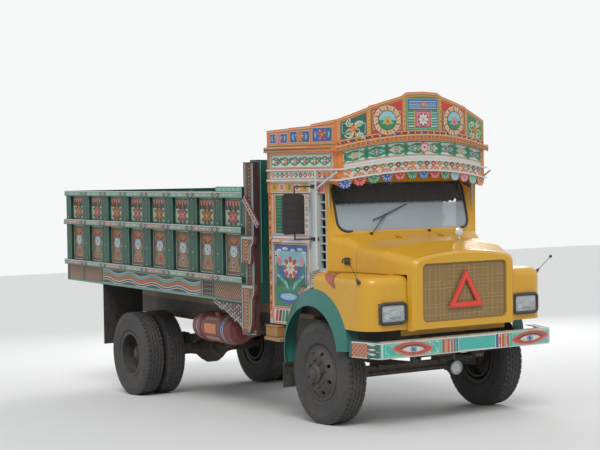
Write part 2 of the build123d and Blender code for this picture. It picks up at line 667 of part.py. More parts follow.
def wing():
    """Left wing: flat top, lamp face and side, with the wheel arch cut out."""
    outer = block((WING_REAR, WING_FACE_X), (NOSE_HALF + 2, WING_OUT), (WING_LOW, WING_TOP))
    corner = outer.edges().filter_by(Axis.Z).group_by(Axis.X)[-1].group_by(Axis.Y)[-1]
    outer = fillet(corner, 190)
    top = outer.faces().sort_by(Axis.Z)[-1].edges()
    outer = fillet(outside_edges(top, WING_REAR + 5), 85)
    inner = block((WING_REAR + SKIN, WING_FACE_X - SKIN), (NOSE_HALF + 2 + SKIN, WING_OUT - SKIN),
                  (WING_LOW - 5, WING_TOP - SKIN))
    corner = inner.edges().filter_by(Axis.Z).group_by(Axis.X)[-1].group_by(Axis.Y)[-1]
    inner = fillet(corner, 176)
    top = inner.faces().sort_by(Axis.Z)[-1].edges()
    inner = fillet(outside_edges(top, WING_REAR + 2 * SKIN), 71)
    shell = outer - inner
    arch = cross_rod(ARCH_X, ARCH_Z, (NOSE_HALF - 10, WING_OUT + 50), WING_ARCH_R)
    lamp = block((WING_FACE_X - 80, WING_FACE_X + 40), lamp_range(HEADLAMP_Y, HEADLAMP_HALF_W - 8 + SEAT),
                 lamp_range(HEADLAMP_Z, HEADLAMP_HALF_H - 8 + SEAT))
    pad = (WING_TOP - 1, LID_FOOT - SEAT)
    pads = [block((x, x + PAD), (NOSE_HALF + 40, NOSE_HALF + 80), pad) for x in PAD_X]
    far = WING_ARCH_R + LINER
    liner = turned([(WING_ARCH_R, NOSE_HALF + 2), (far, NOSE_HALF + 2), (far, WING_OUT - SKIN),
                    (WING_ARCH_R, WING_OUT - SKIN)], ARCH_X, ARCH_Z)
    liner = liner & block((WING_REAR, WING_FACE_X), (NOSE_HALF, WING_OUT), (WING_LOW, WING_TOP))
    return fused([shell - arch - lamp, liner, *pads])


WING = wing()
keep("wings", WING, other_side(WING))

FLARE_OUT = 1170.0
FLARE_WALL = 14.0
FLARE_EDGE_R = 490.0      # the flare's outer, lower edge, on a circle of its own
FLARE_EDGE_Z = 700.0
FLARE_REAR_Z = 565.0      # where the flare ends behind the wheel


def hood(shrink, y):
    """A ruled solid from the wheel arch's edge to the lower circle of the flare's outer edge."""
    near = Plane(origin=(ARCH_X, y[0], ARCH_Z), z_dir=(0, 1, 0)) * Circle(WING_ARCH_R - SEAT - shrink)
    far = Plane(origin=(ARCH_X, y[1], FLARE_EDGE_Z), z_dir=(0, 1, 0)) * Circle(FLARE_EDGE_R - shrink)
    return loft([near.face(), far.face()], ruled=True)


def flare():
    """Left wheel-arch flare: a band inside the arch and a hood that slopes out and down from it."""
    outer = WING_ARCH_R - SEAT
    band = turned([(outer - FLARE_WALL, WING_OUT - 130), (outer, WING_OUT - 130), (outer, WING_OUT),
                   (outer - FLARE_WALL, WING_OUT)], ARCH_X, ARCH_Z)
    shell = hood(0, (WING_OUT, FLARE_OUT)) - hood(FLARE_WALL, (WING_OUT, FLARE_OUT))
    far = ARCH_X + 900
    front_below = block((ARCH_X, far), (800, 1300), (ARCH_Z - 900, ARCH_Z))
    rear_below = block((ARCH_X - 900, ARCH_X), (800, 1300), (ARCH_Z - 900, FLARE_REAR_Z))
    return fused([band, shell]) - front_below - rear_below


FLARE = flare()
keep("fender_flares", FLARE, other_side(FLARE))


# The bonnet lifts in one piece with the nose. Its arched sections:
# place along X, half width, foot, shoulder, crown
NOSE_BACK = 862.0
NOSE_FRONT = 938.0
LID_REAR = 240.0
LID_CROWN = 1840.0
LID_HALF = CAB_HALF_FRONT - 145.0
LID_SECTIONS = ((LID_REAR, LID_HALF, LID_FOOT, 1770.0, LID_CROWN),
                (600.0, LID_HALF - 50, LID_FOOT, 1720.0, 1800.0),
                (NOSE_BACK, 648.0, LID_FOOT, 1652.0, 1724.0))
NOSE_SECTIONS = ((NOSE_BACK, 648.0, NOSE_LOW, 1652.0, 1724.0), (908.0, 628.0, NOSE_LOW, 1646.0, 1716.0),
                 (NOSE_FRONT, 590.0, NOSE_LOW + 12, 1632.0, 1690.0))
SHOULDER_R = 90.0
LID_HINGE = (LID_REAR + 4, LID_CROWN + 8)       # x and z of the lid's hinge line
LID_HINGE_Y = (-260.0, 260.0)
LID_PIN_R = 5.0
LID_BARREL_R = 9.0


def arch_face(section, inset, foot_drop):
    """A bonnet section: level foot, upright sides, rounded shoulders and an arched top."""
    x, half, foot, shoulder, crown = section
    half = half - inset
    foot = foot - foot_drop
    high = shoulder - inset
    sides = Polyline((x, half, high), (x, half, foot), (x, -half, foot), (x, -half, high))
    top = ThreePointArc((x, -half, high), (x, 0, crown - inset), (x, half, high))
    face = make_face([*sides.edges(), top])
    shoulders = [corner for corner in face.vertices() if corner.Z > high - 1]
    return fillet(shoulders, SHOULDER_R - inset)


def arched_solid(sections, inset, foot_drop, back, front):
    """A loft through arched sections, its ends moved back and forward."""
    rows = [list(section) for section in sections]
    rows[0][0] -= back
    rows[-1][0] += front
    return loft([arch_face(row, inset, foot_drop) for row in rows], ruled=True)


def bonnet_lid():
    outer = arched_solid(LID_SECTIONS, 0, 0, 0, 0).fuse(arched_solid(NOSE_SECTIONS, 0, 0, 0, 0))
    inner = arched_solid(LID_SECTIONS, SKIN, 20, 5, 1).fuse(arched_solid(NOSE_SECTIONS, SKIN, 20, 1, -SKIN))
    shell = outer - inner
    deep = (NOSE_FRONT - 60, NOSE_FRONT + 60)
    shell = shell - rounded_front(GRILLE_HALF, GRILLE_LOW, GRILLE_HIGH, 55, deep)
    for y in LID_HINGE_Y:
        x, z = LID_HINGE
        barrel = cross_rod(x, z, (y - 20, y + 20), LID_BARREL_R)
        strap = block((x, x + 60), (y - 20, y + 20), (z - 24, z - 3))
        bore = cross_rod(x, z, (y - 30, y + 30), LID_PIN_R + FIT)
        shell = fused([shell, barrel, strap]) - bore
    return shell


keep("bonnet_lid", bonnet_lid())


def grille():
    """The woven mesh in a frame that lies against the back of the nose."""
    x = (NOSE_FRONT - SKIN - 16, NOSE_FRONT - SKIN)
    outer = rounded_front(GRILLE_HALF + 12, GRILLE_LOW - 12, GRILLE_HIGH + 12, 72, x)
    hole = rounded_front(GRILLE_HALF - 14, GRILLE_LOW + 14, GRILLE_HIGH - 14, 40, (x[0] - 1, x[1] + 1))
    mesh = rounded_front(GRILLE_HALF, GRILLE_LOW, GRILLE_HIGH, 50, (x[0] + 2, x[0] + 8))
    return fused([outer - hole, mesh])


keep("grille", grille())

# Cross panel that joins the wings in front of the radiator


def front_panel():
    panel = block(PANEL_X, (-NOSE_HALF - 2, NOSE_HALF + 2), (RAIL_HIGH, LID_FOOT - GAP))
    half = RADIATOR_HALF - 40
    opening = block((PANEL_X[0] - 1, PANEL_X[1] + 1), (-half, half), (RAIL_HIGH + 60, RADIATOR_TOP - 20))
    latch = block((PANEL_X[1], PANEL_X[1] + 40), (-40, 40), (RADIATOR_TOP - 10, RADIATOR_TOP + 20))
    return fused([panel - opening, latch])


keep("front_panel", front_panel())


# Cab: walls in a frame of their own, because both sides close in towards the front

WALL = 40.0
SIDE_RUN = CAB_FRONT - CAB_REAR
SIDE_ANGLE = atan2(CAB_HALF_REAR - CAB_HALF_FRONT, SIDE_RUN)
SIDE_LENGTH = sqrt(SIDE_RUN ** 2 + (CAB_HALF_REAR - CAB_HALF_FRONT) ** 2)
SIDE_PLANE = Plane(origin=(CAB_REAR, CAB_HALF_REAR, 0), x_dir=(cos(SIDE_ANGLE), -sin(SIDE_ANGLE), 0),
                   z_dir=(0, 0, 1))

def on_side(shape):
    """Moves a piece from the wall's own frame (along, out, up) to the truck's left side."""
    return SIDE_PLANE * shape


def cab_wall_blank():
    """The left side wall before its openings are cut."""
    wall = on_side(block((0, SIDE_LENGTH + WALL), (-WALL, 0), (CAB_FOOT, CAB_TOP)))
    return wall - block((CAB_FRONT, CAB_FRONT + 200), (800, 1200), (CAB_FOOT - 10, CAB_TOP + 10))


# Cowl behind the bonnet and the windscreen frame that leans back on it
# Cowl sections as the bonnet's. Frame rows: height, corner x and half width, middle x

COWL_FRONT = LID_REAR - GAP
COWL_SECTIONS = ((CAB_FRONT, CAB_HALF_FRONT, LID_FOOT, 1872.0, 1893.0),
                 (100.0, CAB_HALF_FRONT - 99, LID_FOOT, 1846.0, 1893.0),
                 (COWL_FRONT, LID_HALF, LID_FOOT, 1770.0, LID_CROWN))
SOFFIT_LOW = CAB_TOP - 238.0                    # underside of the shelf over the windscreen
FRAME_REAR = -271.0       # how far the pillars reach back inside the walls
PILLAR_X = CAB_FRONT + 14.0
FRAME_ROWS = ((1800.0, -14.0, CAB_HALF_FRONT - 98, 134.0), (1893.0, -38.0, CAB_HALF_FRONT - 96, 112.0),
              (SOFFIT_LOW, -190.0, CAB_HALF_FRONT - 87, -29.0))
SCREEN_HALF = CAB_HALF_FRONT - 123.0
SCREEN_LOW, SCREEN_HIGH = 1905.0, SOFFIT_LOW - 77.0
SCREEN_R = 95.0
GLASS = 6.0


def cab_half(x):
    """Half width over the cab's side walls at a place along X."""
    return CAB_HALF_REAR - (x - CAB_REAR) * (CAB_HALF_REAR - CAB_HALF_FRONT) / (CAB_FRONT - CAB_REAR)


def frame_face(row, inset, back):
    z, corner_x, corner_y, middle_x = row
    rear = FRAME_REAR - back
    rear_half = cab_half(rear) - SEAT - inset
    side = (PILLAR_X - inset, cab_half(PILLAR_X) - SEAT - inset)
    corner = (corner_x - inset, corner_y - inset * 0.8)
    half = [corner, side, (rear, rear_half)]
    outline = [(x, y, z) for x, y in half] + [(x, -y, z) for x, y in reversed(half)]
    front = ThreePointArc(outline[-1], (middle_x - inset, 0, z), outline[0])
    return make_face([*Polyline(*outline).edges(), front])


def frame_solid(inset, back):
    return loft([frame_face(row, inset, back) for row in FRAME_ROWS], ruled=True)


def screen_block(shrink):
    low, high = SCREEN_LOW + shrink, SCREEN_HIGH - shrink
    return rounded_front(SCREEN_HALF - shrink, low, high, SCREEN_R - shrink, (-420, 240))


def windscreen_cowl():
    outer = arched_solid(COWL_SECTIONS, 0, 0, 0, 0).fuse(frame_solid(0, 0))
    inner = arched_solid(COWL_SECTIONS, SKIN, 20, 5, -SKIN).fuse(frame_solid(SKIN, 30))
    wall = cab_wall_blank()
    shell = outer - inner - screen_block(0) - wall - other_side(wall)
    for y in LID_HINGE_Y:
        x, z = LID_HINGE
        shell = fused([shell, cross_rod(x, z, (y - 44, y + 44), LID_PIN_R)])
        for near, far in ((y - 44, y - 22), (y + 22, y + 44)):
            ear = side_plate([(x - 60, z - 40), (x - 12, z - 12), (x + 7, z - 7), (x + 7, z + 7),
                              (x - 8, z + 7), (x - 60, z + 10)], (near, far))
            shell = fused([shell, ear])
    return shell


keep("windscreen_cowl", windscreen_cowl())
glass = frame_solid(3, 0) - frame_solid(3 + GLASS, 30)
keep("windscreen", glass & screen_block(SEAT))


# Cab doors, hinges and floor, along the side wall from its rear corner

DOOR_BACK, DOOR_FRONT = 52.0, 640.0
FASCIA_SIDE_LOW = CAB_TOP - 416.0               # lower edge of the boards along the cab's sides
DOOR_TOP = FASCIA_SIDE_LOW - GAP
WINDOW_BACK, WINDOW_FRONT = 104.0, 566.0
WINDOW_LOW, WINDOW_HIGH = 1867.0, DOOR_TOP - 17.0
SHUTTER_FRONT = 222.0     # the fixed louvre in the window's rear part ends here
LADDER = (799.0, 882.0)   # the barred light in front of the column
LADDER_Z = (1534.0, DOOR_TOP)
LADDER_BARS = 8
COLUMN_U = 745.0          # half-round column between door and barred light
COLUMN_R = 50.0
COLUMN_Z = (1514.0, CAB_TOP - 305.0)
ARCH_CLEAR = 612.0        # radius of the cut that clears the wheel-arch flare
HINGE_OUT = 15.0          # how far the hinge line stands off the wall's outer face
HINGE_PIN_R = 6.0
HINGE_R = 11.0
HINGE_HEIGHTS = (1440.0, 1800.0, DOOR_TOP - 98.0)
STRAP = 42.0              # length of the hinge straps
FLOOR_LOW, FLOOR_HIGH = 1130.0, 1160.0
HUMP_HALF = 340.0
HUMP_BACK = -620.0
HUMP_TOP = 1480.0
FIREWALL = 14.0
REAR_WALL_LOW = 1000.0
REAR_WINDOW_Y = (-330.0, 330.0)
REAR_WINDOW_Z = (1930.0, 2230.0)


def arch_clearance():
    return cross_rod(ARCH_X, ARCH_Z, (700, 1300), ARCH_CLEAR)


def side_wall():
    opening = on_side(block((DOOR_BACK - GAP, DOOR_FRONT + GAP), (-WALL - 10, 10),
                            (CAB_FOOT - 10, DOOR_TOP + GAP)))
    light = on_side(block(LADDER, (-WALL - 10, 10), LADDER_Z))
    wall = cab_wall_blank() - opening - arch_clearance() - light
    step = (LADDER_Z[1] - LADDER_Z[0]) / (LADDER_BARS + 1)
    bars = []
    for index in range(LADDER_BARS):
        z = LADDER_Z[0] + (index + 1) * step
        bars.append(on_side(block((LADDER[0] - 2, LADDER[1] + 2), (-WALL + 8, -8), (z - 7, z + 7))))
    return fused([wall, column(COLUMN_R), *bars])


def column(radius):
    """The half-round column on the wall's outer face."""
    post = Pos(COLUMN_U, 0, sum(COLUMN_Z) / 2) * Cylinder(radius, COLUMN_Z[1] - COLUMN_Z[0])
    return on_side(post & block((COLUMN_U - 90, COLUMN_U + 90), (-1, 90), COLUMN_Z))


def hinge_line(reach):
    """Points of the door hinges: along the wall, out of it, and their heights."""
    return [(DOOR_FRONT + GAP / 2, HINGE_OUT, z + reach) for z in HINGE_HEIGHTS]


def wall_hinges():
    pieces = []
    for u, v, z in hinge_line(0):
        pin = Pos(u, v, z) * Cylinder(HINGE_PIN_R, 110)
        for step in (-1, 1):
            knuckle_ring = Pos(u, v, z + step * 46) * Cylinder(HINGE_R, 28)
            strap = block((u, u + STRAP), (-0.2, 5), (z + step * 46 - 14, z + step * 46 + 14))
            lug = block((u - 4, u + 12), (0, v), (z + step * 46 - 14, z + step * 46 + 14))
            pieces.extend([knuckle_ring, strap, lug])
        pieces.append(pin)
    return [on_side(piece) for piece in pieces]


def door():
    """Left door with its window cut and hinge straps."""
    leaf_block = on_side(block((DOOR_BACK, DOOR_FRONT), (-WALL, 0), (CAB_FOOT, DOOR_TOP)))
    window = on_side(block((WINDOW_BACK, WINDOW_FRONT), (-WALL - 10, 10), (WINDOW_LOW, WINDOW_HIGH)))
    shutter = on_side(block((WINDOW_BACK - 1, SHUTTER_FRONT), (-30, -14), (WINDOW_LOW - 1, WINDOW_HIGH + 1)))
    body = fused([leaf_block - window, shutter]) - cross_rod(ARCH_X, ARCH_Z, (700, 1300), ARCH_CLEAR + GAP)
    for u, v, z in hinge_line(0):
        ring = Pos(u, v, z) * Cylinder(HINGE_R, 60)
        strap = block((u - STRAP, u), (-0.2, 5), (z - 26, z + 26))
        lug = block((u - 14, u + 4), (0, v), (z - 26, z + 26))
        bore = Pos(u, v, z) * Cylinder(HINGE_PIN_R + FIT, 80)
        body = fused([body, on_side(ring), on_side(strap), on_side(lug)]) - on_side(bore)
    handle = on_side(block((DOOR_BACK + 30, DOOR_BACK + 150), (0, 30), (1784, 1806)))
    grip_gap = on_side(block((DOOR_BACK + 50, DOOR_BACK + 130), (0, 20), (1774, 1816)))
    return fused([body, handle - grip_gap])


def cab_plan(inset, x):
    """The cab's inside plan between two places along X."""
    corners = ((x[0], 1), (x[1], 1), (x[1], -1), (x[0], -1))
    return [(place, sign * (cab_half(place) - inset)) for place, sign in corners]


def cab_body():
    """Two side walls with their hinges, the rear wall, the roof, and the floor with its hump."""
    hinges = wall_hinges()
    left = fused([side_wall(), *hinges]) - arch_clearance()
    right = other_side(left)
    blanks = [cab_wall_blank(), other_side(cab_wall_blank())]
    skin = WALL / cos(SIDE_ANGLE)
    rear = plan_plate(cab_plan(0, (CAB_REAR, CAB_REAR + WALL)), (REAR_WALL_LOW, CAB_TOP))
    rear = (rear - block((CAB_REAR - 10, CAB_REAR + WALL + 10), REAR_WINDOW_Y, REAR_WINDOW_Z)).cut(*blanks)
    roof = plan_plate(cab_plan(0, (CAB_REAR + WALL, CAB_FRONT - SEAT)), (CAB_TOP - 30, CAB_TOP)).cut(*blanks)
    plan = cab_plan(skin + SEAT, (CAB_REAR + WALL, CAB_FRONT - FIREWALL))
    floor = plan_plate(plan, (FLOOR_LOW, FLOOR_HIGH))
    firewall = plan_plate(cab_plan(skin + SEAT, (CAB_FRONT - FIREWALL, CAB_FRONT)), (1010, 1506))
    hump = block((HUMP_BACK, CAB_FRONT), (-HUMP_HALF, HUMP_HALF), (FLOOR_LOW, HUMP_TOP))
    hollow = block((HUMP_BACK + 16, CAB_FRONT + 5), (-HUMP_HALF + 16, HUMP_HALF - 16),
                   (FLOOR_LOW - 130, HUMP_TOP - 16))
    base = fused([firewall, hump, floor]) - hollow
    for x in (-850, -190):
        for y in ((-RAIL_HALF, -RAIL_HALF + RAIL_FLANGE), (RAIL_HALF - RAIL_FLANGE, RAIL_HALF)):
            base = base + block((x, x + 90), y, (RAIL_HIGH, FLOOR_LOW))
    base = base - arch_clearance() - other_side(arch_clearance())
    return left, right, rear, roof, base


keep("cab_body", *cab_body())
DOOR = door()
keep("door_left", DOOR)
keep("door_right", other_side(DOOR))


# Inside the cab: dashboard, seats and steering wheel on the right

WHEEL_Y = -520.0
COLUMN_FOOT = (-140.0, WHEEL_Y, 1300.0)
COLUMN_HEAD = (-365.0, WHEEL_Y, 1668.0)
WHEEL_R = 235.0
SEAT_Y = (370.0, CAB_HALF_FRONT - 145.0)
SEAT_FRAME_TOP, CUSHION_TOP = 1330.0, 1460.0


def dashboard():
    shelf = plan_plate(cab_plan(60, (CAB_FRONT - FIREWALL - 150, CAB_FRONT - FIREWALL)), (1506, 1740))
    top = fillet(shelf.edges().filter_by(Axis.Y).group_by(Axis.Z)[-1].group_by(Axis.X)[0], 40)
    column = rod(COLUMN_FOOT, COLUMN_HEAD, 26)
    foot = block((COLUMN_FOOT[0] - 30, CAB_FRONT - FIREWALL), (WHEEL_Y - 40, WHEEL_Y + 40), (1230, 1330))
    bracket = block((COLUMN_HEAD[0] + 60, CAB_FRONT - FIREWALL - 150), (WHEEL_Y - 20, WHEEL_Y + 20),
                    (1560, 1600))
    return fused([top, column, foot, bracket])


def seats():
    """Two bench seats: a cushion, its back and a frame for each."""
    solids = []
    for y in ((-SEAT_Y[1], -SEAT_Y[0]), SEAT_Y):
        solids.append(block((-850, -430), y, (SEAT_FRAME_TOP, CUSHION_TOP)))
        solids.append(block((CAB_REAR + WALL + SEAT, -800), y, (CUSHION_TOP + SEAT, 2000)))
        solids.append(block((-840, -450), (y[0] + 10, y[1] - 10), (FLOOR_HIGH, SEAT_FRAME_TOP)))
    return solids


def steering_wheel():
    axis = Vector(*COLUMN_HEAD) - Vector(*COLUMN_FOOT)
    base = Plane(origin=COLUMN_HEAD, x_dir=(0, 1, 0), z_dir=axis)
    rim = base * (Pos(0, 0, 45) * Torus(WHEEL_R, 13))
    hub = base * (Pos(0, 0, SEAT) * Cylinder(38, 70, align=(Align.CENTER, Align.CENTER, Align.MIN)))
    spoke = Pos(WHEEL_R / 2, 0, 45) * Box(WHEEL_R, 26, 10)
    spokes = [base * (Rot(0, 0, turn) * spoke) for turn in (90, 210, 330)]
    return fused([rim, hub, *spokes])


keep("dashboard", dashboard())
keep("seats", *seats())
keep("steering_wheel", steering_wheel())


# Fascia round the cab's brow, its cornice, and the crown board above

BROW_CORNER = (108.0, CAB_HALF_FRONT - 15.0)
BROW_MIDDLE_X = 285.0
BROW_REAR_HALF = CAB_HALF_REAR + 10.0
BOARD = 26.0
PETALS = 13
PETAL_R = 58.0
PETAL_Z = CAB_TOP - 318.0                       # middle of a petal at the corner
PETAL_RISE = 92.0
CORNICE_LOW, CORNICE_HIGH = CAB_TOP, CAB_TOP + 58.0
CORNICE_OUT = 42.0
CORNICE_RISE = 104.0
SHELF = 12.0
CROWN_MIDDLE = 588.0      # height of the crown board above the cab

# Outline of the crown board: half the front from its corner (away from the middle, height above
# the cab's top), and one side from its rear end (along X, height above the cab's top)
CROWN_FRONT = ((930.0, 310.0), (615.0, 431.0), (590.0, 448.0), (240.0, 547.0), (215.0, 563.0),
               (185.0, 580.0), (0.0, CROWN_MIDDLE))
CROWN_SIDE = ((-1000.0, 229.0), (-606.0, 245.0), (-606.0, 250.0), (-265.0, 260.0), (-265.0, 276.0),
              (82.0, 310.0))


def brow_face(out, z, rear_x):
    """The plan of the cab's brow: straight sides and a bowed front, grown by out."""
    corner = (BROW_CORNER[0] + out * 0.6, BROW_CORNER[1] + out)
    rear = (rear_x, BROW_REAR_HALF + out)
    outline = [(*corner, z), (*rear, z), (rear[0], -rear[1], z), (corner[0], -corner[1], z)]
    front = ThreePointArc(outline[-1], (BROW_MIDDLE_X + out, 0, z), outline[0])
    return make_face([*Polyline(*outline).edges(), front])


def brow_band(out, inside, z, rear_x, cut_x):
    """A standing board that follows the brow, cut off behind cut_x."""
    outer = extrude(brow_face(out, z[0], rear_x), amount=z[1] - z[0], dir=(0, 0, 1))
    inner = extrude(brow_face(inside, z[0] - 1, rear_x - 40), amount=z[1] - z[0] + 2, dir=(0, 0, 1))
    return (outer - inner) - block((rear_x - 100, cut_x), (-1300, 1300), (z[0] - 5, z[1] + 5))


def under_arch(z, rise):
    """Everything under a line that is level along the sides and bows up over the front."""
    half = BROW_CORNER[1] - BOARD
    far = BROW_REAR_HALF + 200
    foot = z - 900
    outline = [(0, -half, z), (0, -far, z), (0, -far, foot), (0, far, foot), (0, far, z), (0, half, z)]
    bow = ThreePointArc(outline[-1], (0, 0, z + rise), outline[0])
    face = make_face([*Polyline(*outline).edges(), bow])
    return Pos(CAB_REAR - 100, 0, 0) * extrude(face, amount=1600, dir=(1, 0, 0))


def petal_edge():
    """Everything under the fascia's front board, with a row of hanging petals left standing."""
    below = under_arch(PETAL_Z, PETAL_RISE)
    half = BROW_CORNER[1] - BOARD
    pitch = 2 * BROW_CORNER[1] / PETALS
    for index in range(PETALS):
        y = (index - (PETALS - 1) / 2) * pitch
        z = PETAL_Z + PETAL_RISE * (1 - (y / half) ** 2)
        below = below - rod((CAB_FRONT, y, z), (BROW_MIDDLE_X + 100, y, z), PETAL_R)
    return below


def fascia():
    top = CORNICE_HIGH + CORNICE_RISE
    front = brow_band(0, -BOARD, (PETAL_Z - PETAL_R - 2, top), CAB_REAR, CAB_FRONT)
    front = (front & under_arch(CAB_TOP, CORNICE_RISE)) - petal_edge() - frame_solid(0, 0)
    sides = brow_band(0, -BOARD, (FASCIA_SIDE_LOW, CAB_TOP), CAB_REAR, CAB_REAR)
    sides = sides - block((CAB_FRONT, BROW_MIDDLE_X + 100), (-1300, 1300), (FASCIA_SIDE_LOW - 5, CAB_TOP + 5))
    for cut in (cab_wall_blank(), column(COLUMN_R + SEAT)):
        sides = sides - cut - other_side(cut)
    inside = plan_plate(cab_plan(WALL / 2, (CAB_REAR - 50, CAB_FRONT)), (FASCIA_SIDE_LOW - 5, CAB_TOP + 5))
    sides = sides - inside - frame_solid(0, 0)
    cornice = brow_band(CORNICE_OUT, -BOARD, (CORNICE_LOW, top), CAB_REAR, CAB_REAR)
    cornice = cornice & under_arch(CORNICE_HIGH, CORNICE_RISE)
    cornice = cornice - under_arch(CORNICE_LOW, CORNICE_RISE)
    roof = extrude(brow_face(-BOARD, CORNICE_LOW, CAB_REAR), amount=14, dir=(0, 0, 1))
    soffit = extrude(brow_face(-BOARD, SOFFIT_LOW, CAB_FRONT), amount=SHELF, dir=(0, 0, 1))
    behind = block((CAB_REAR - 100, CAB_FRONT), (-1300, 1300), (SOFFIT_LOW - 5, SOFFIT_LOW + SHELF + 5))
    soffit = soffit - behind
    shelf = plan_plate(cab_plan(WALL + 2, (FRAME_REAR, CAB_FRONT)), (SOFFIT_LOW, SOFFIT_LOW + SHELF))
    return fused([front, sides, cornice, roof, soffit, shelf])


def crown_board():
    high = CAB_TOP + CROWN_MIDDLE + 200
    band = brow_band(0, -BOARD, (CORNICE_HIGH, high - 180), CAB_REAR, CAB_REAR)
    band = band - under_arch(CORNICE_HIGH, CORNICE_RISE)
    side_edge = [(x, CAB_TOP + z) for x, z in CROWN_SIDE]
    edge_x = CROWN_SIDE[-1][0]
    side_cut = side_plate([*side_edge, (edge_x, high), (CROWN_SIDE[0][0], high)], (-1300, 1300))
    left = [(y, CAB_TOP + z) for y, z in CROWN_FRONT]
    left = [(left[0][0] + 60, left[0][1]), *left]
    right = [(-y, z) for y, z in reversed(left[:-1])]
    above = [(right[-1][0], high), (left[0][0], high)]
    front_cut = front_plate([*left, *right, *above], (edge_x, BROW_MIDDLE_X + 100))
    return band - side_cut - front_cut


keep("fascia", fascia())
keep("crown_board", crown_board())


# Rails along the cab sides and round the brow, mirrors and steps

RAIL_STAND = 20.0         # from the fascia out to the middle of a rail
RAIL_THICK = 16.0
RAIL_HEIGHTS = (CAB_TOP - 181.0, CAB_TOP - 285.0)
RAIL_RISE = 84.0
RAIL_STUDS_Y = (-780.0, -390.0, 0.0, 390.0, 780.0)
RAIL_STUDS_X = (-900.0, -480.0, -60.0)
MIRROR_X = -300.0
MIRROR_Y = (1070.0, 1305.0)
MIRROR_Z = (1887.0, 2273.0)
CLAMP_OUT = 14.0          # the mirror clamps stand clear of the boards beside the column


def brow_rail(z):
    """A rail that runs round the brow on studs, level along the sides and bowed in front."""
    half = RAIL_THICK / 2
    band = (z - half, z + half + RAIL_RISE)
    rail = brow_band(RAIL_STAND + half, RAIL_STAND - half, band, CAB_REAR, CAB_REAR + 20)
    rail = (rail & under_arch(z + half, RAIL_RISE)) - under_arch(z - half, RAIL_RISE)
    studs = []
    reach = BROW_CORNER[1] - BOARD
    bulge = BROW_MIDDLE_X - BROW_CORNER[0]
    bow = (BROW_CORNER[1] ** 2 + bulge ** 2) / (2 * bulge)
    for y in RAIL_STUDS_Y:
        height = z + RAIL_RISE * (1 - (y / reach) ** 2)
        board = BROW_MIDDLE_X - bow + sqrt(bow ** 2 - y ** 2)
        studs.append(rod((board - BOARD, y, height), (board + RAIL_STAND, y, height), 5))
    taper = (BROW_REAR_HALF - BROW_CORNER[1]) / (BROW_CORNER[0] - CAB_REAR)
    for x in RAIL_STUDS_X:
        out = BROW_REAR_HALF - (x - CAB_REAR) * taper
        for side in (-1, 1):
            studs.append(cross_rod(x, z, sorted((side * (out - BOARD), side * (out + RAIL_STAND))), 5))
    inside = extrude(brow_face(SEAT / 3, z - 40, CAB_REAR), amount=RAIL_RISE + 80, dir=(0, 0, 1))
    return fused([rail, *studs]) - inside


keep("cab_rails", *[brow_rail(z) for z in RAIL_HEIGHTS])


def mirror_left():
    plate = block((MIRROR_X - 18, MIRROR_X), MIRROR_Y, MIRROR_Z)
    plate = fillet(plate.edges().filter_by(Axis.X), 28)
    middle = (MIRROR_Y[0] + MIRROR_Y[1]) / 2 - 20
    pieces = [plate]
    hold_x = CAB_REAR + COLUMN_U * cos(SIDE_ANGLE)
    hold_y = cab_half(hold_x) + COLUMN_R / 2
    for z, lift in ((MIRROR_Z[1], 80), (MIRROR_Z[0], -60)):
        elbow = (MIRROR_X - 9, middle, z + lift)
        pieces.append(rod((MIRROR_X - 9, middle, z - (8 if lift > 0 else -8)), elbow, 8))
        pieces.append(Pos(*elbow) * Sphere(8))
        pieces.append(rod(elbow, (hold_x, hold_y, z + lift), 8))
        clamp = Pos(COLUMN_U, 0, z + lift) * Cylinder(COLUMN_R + 8, 36)
        outside = block((COLUMN_U - 90, COLUMN_U + 90), (CLAMP_OUT, 90), (z + lift - 18, z + lift + 18))
        pieces.append(on_side(clamp & outside))
    return fused(pieces) - column(COLUMN_R + SEAT)


keep("mirrors", other_side(mirror_left()))

STEP_X = (-960.0, -660.0)
STEP_Z = (763.0, 794.0)
STEP_OUT = 1150.0


def step_left():
    plank = block(STEP_X, (890, STEP_OUT), STEP_Z)
    pieces = [plank]
    for x in (STEP_X[0] + 60, STEP_X[1] - 60):
        pieces.append(block((x, x + 12), (890, 950), (STEP_Z[0], FLOOR_LOW)))
    return fused(pieces)


STEP = step_left()
keep("steps", STEP, other_side(STEP))


# Load body: sills on the frame, cross bearers, floor, side boards, headboard and tailgate

INSIDE_HALF = 1130.0
SKIRT_LOW = 1110.0
LOAD_FLOOR_LOW, LOAD_FLOOR_HIGH = 1300.0, 1335.0
SILL_X = (-6000.0, -1120.0)
BEARERS = 9
BAYS = 8
BAY_PITCH = 585.0
BAY_FIRST = -5640.0       # middle of the rearmost bay
PANEL_HALF = 187.0
BOARD_OUT = 1165.0
POST_OUT = BODY_HALF
RAIL_OUT = 1238.0
RAIL_MIDDLE = BODY_TOP - 440.0
SIDE_RAILS = ((1330.0, 1395.0, RAIL_OUT), (RAIL_MIDDLE, RAIL_MIDDLE + 69.0, RAIL_OUT),
              (BODY_TOP - 66.0, BODY_TOP, 1222.0))
BODY_REAR_BOARD = BODY_REAR + 70.0
CAP_REAR = -1836.0        # the raised front end of each side board
CAP_TOP = BODY_TOP + 58.0


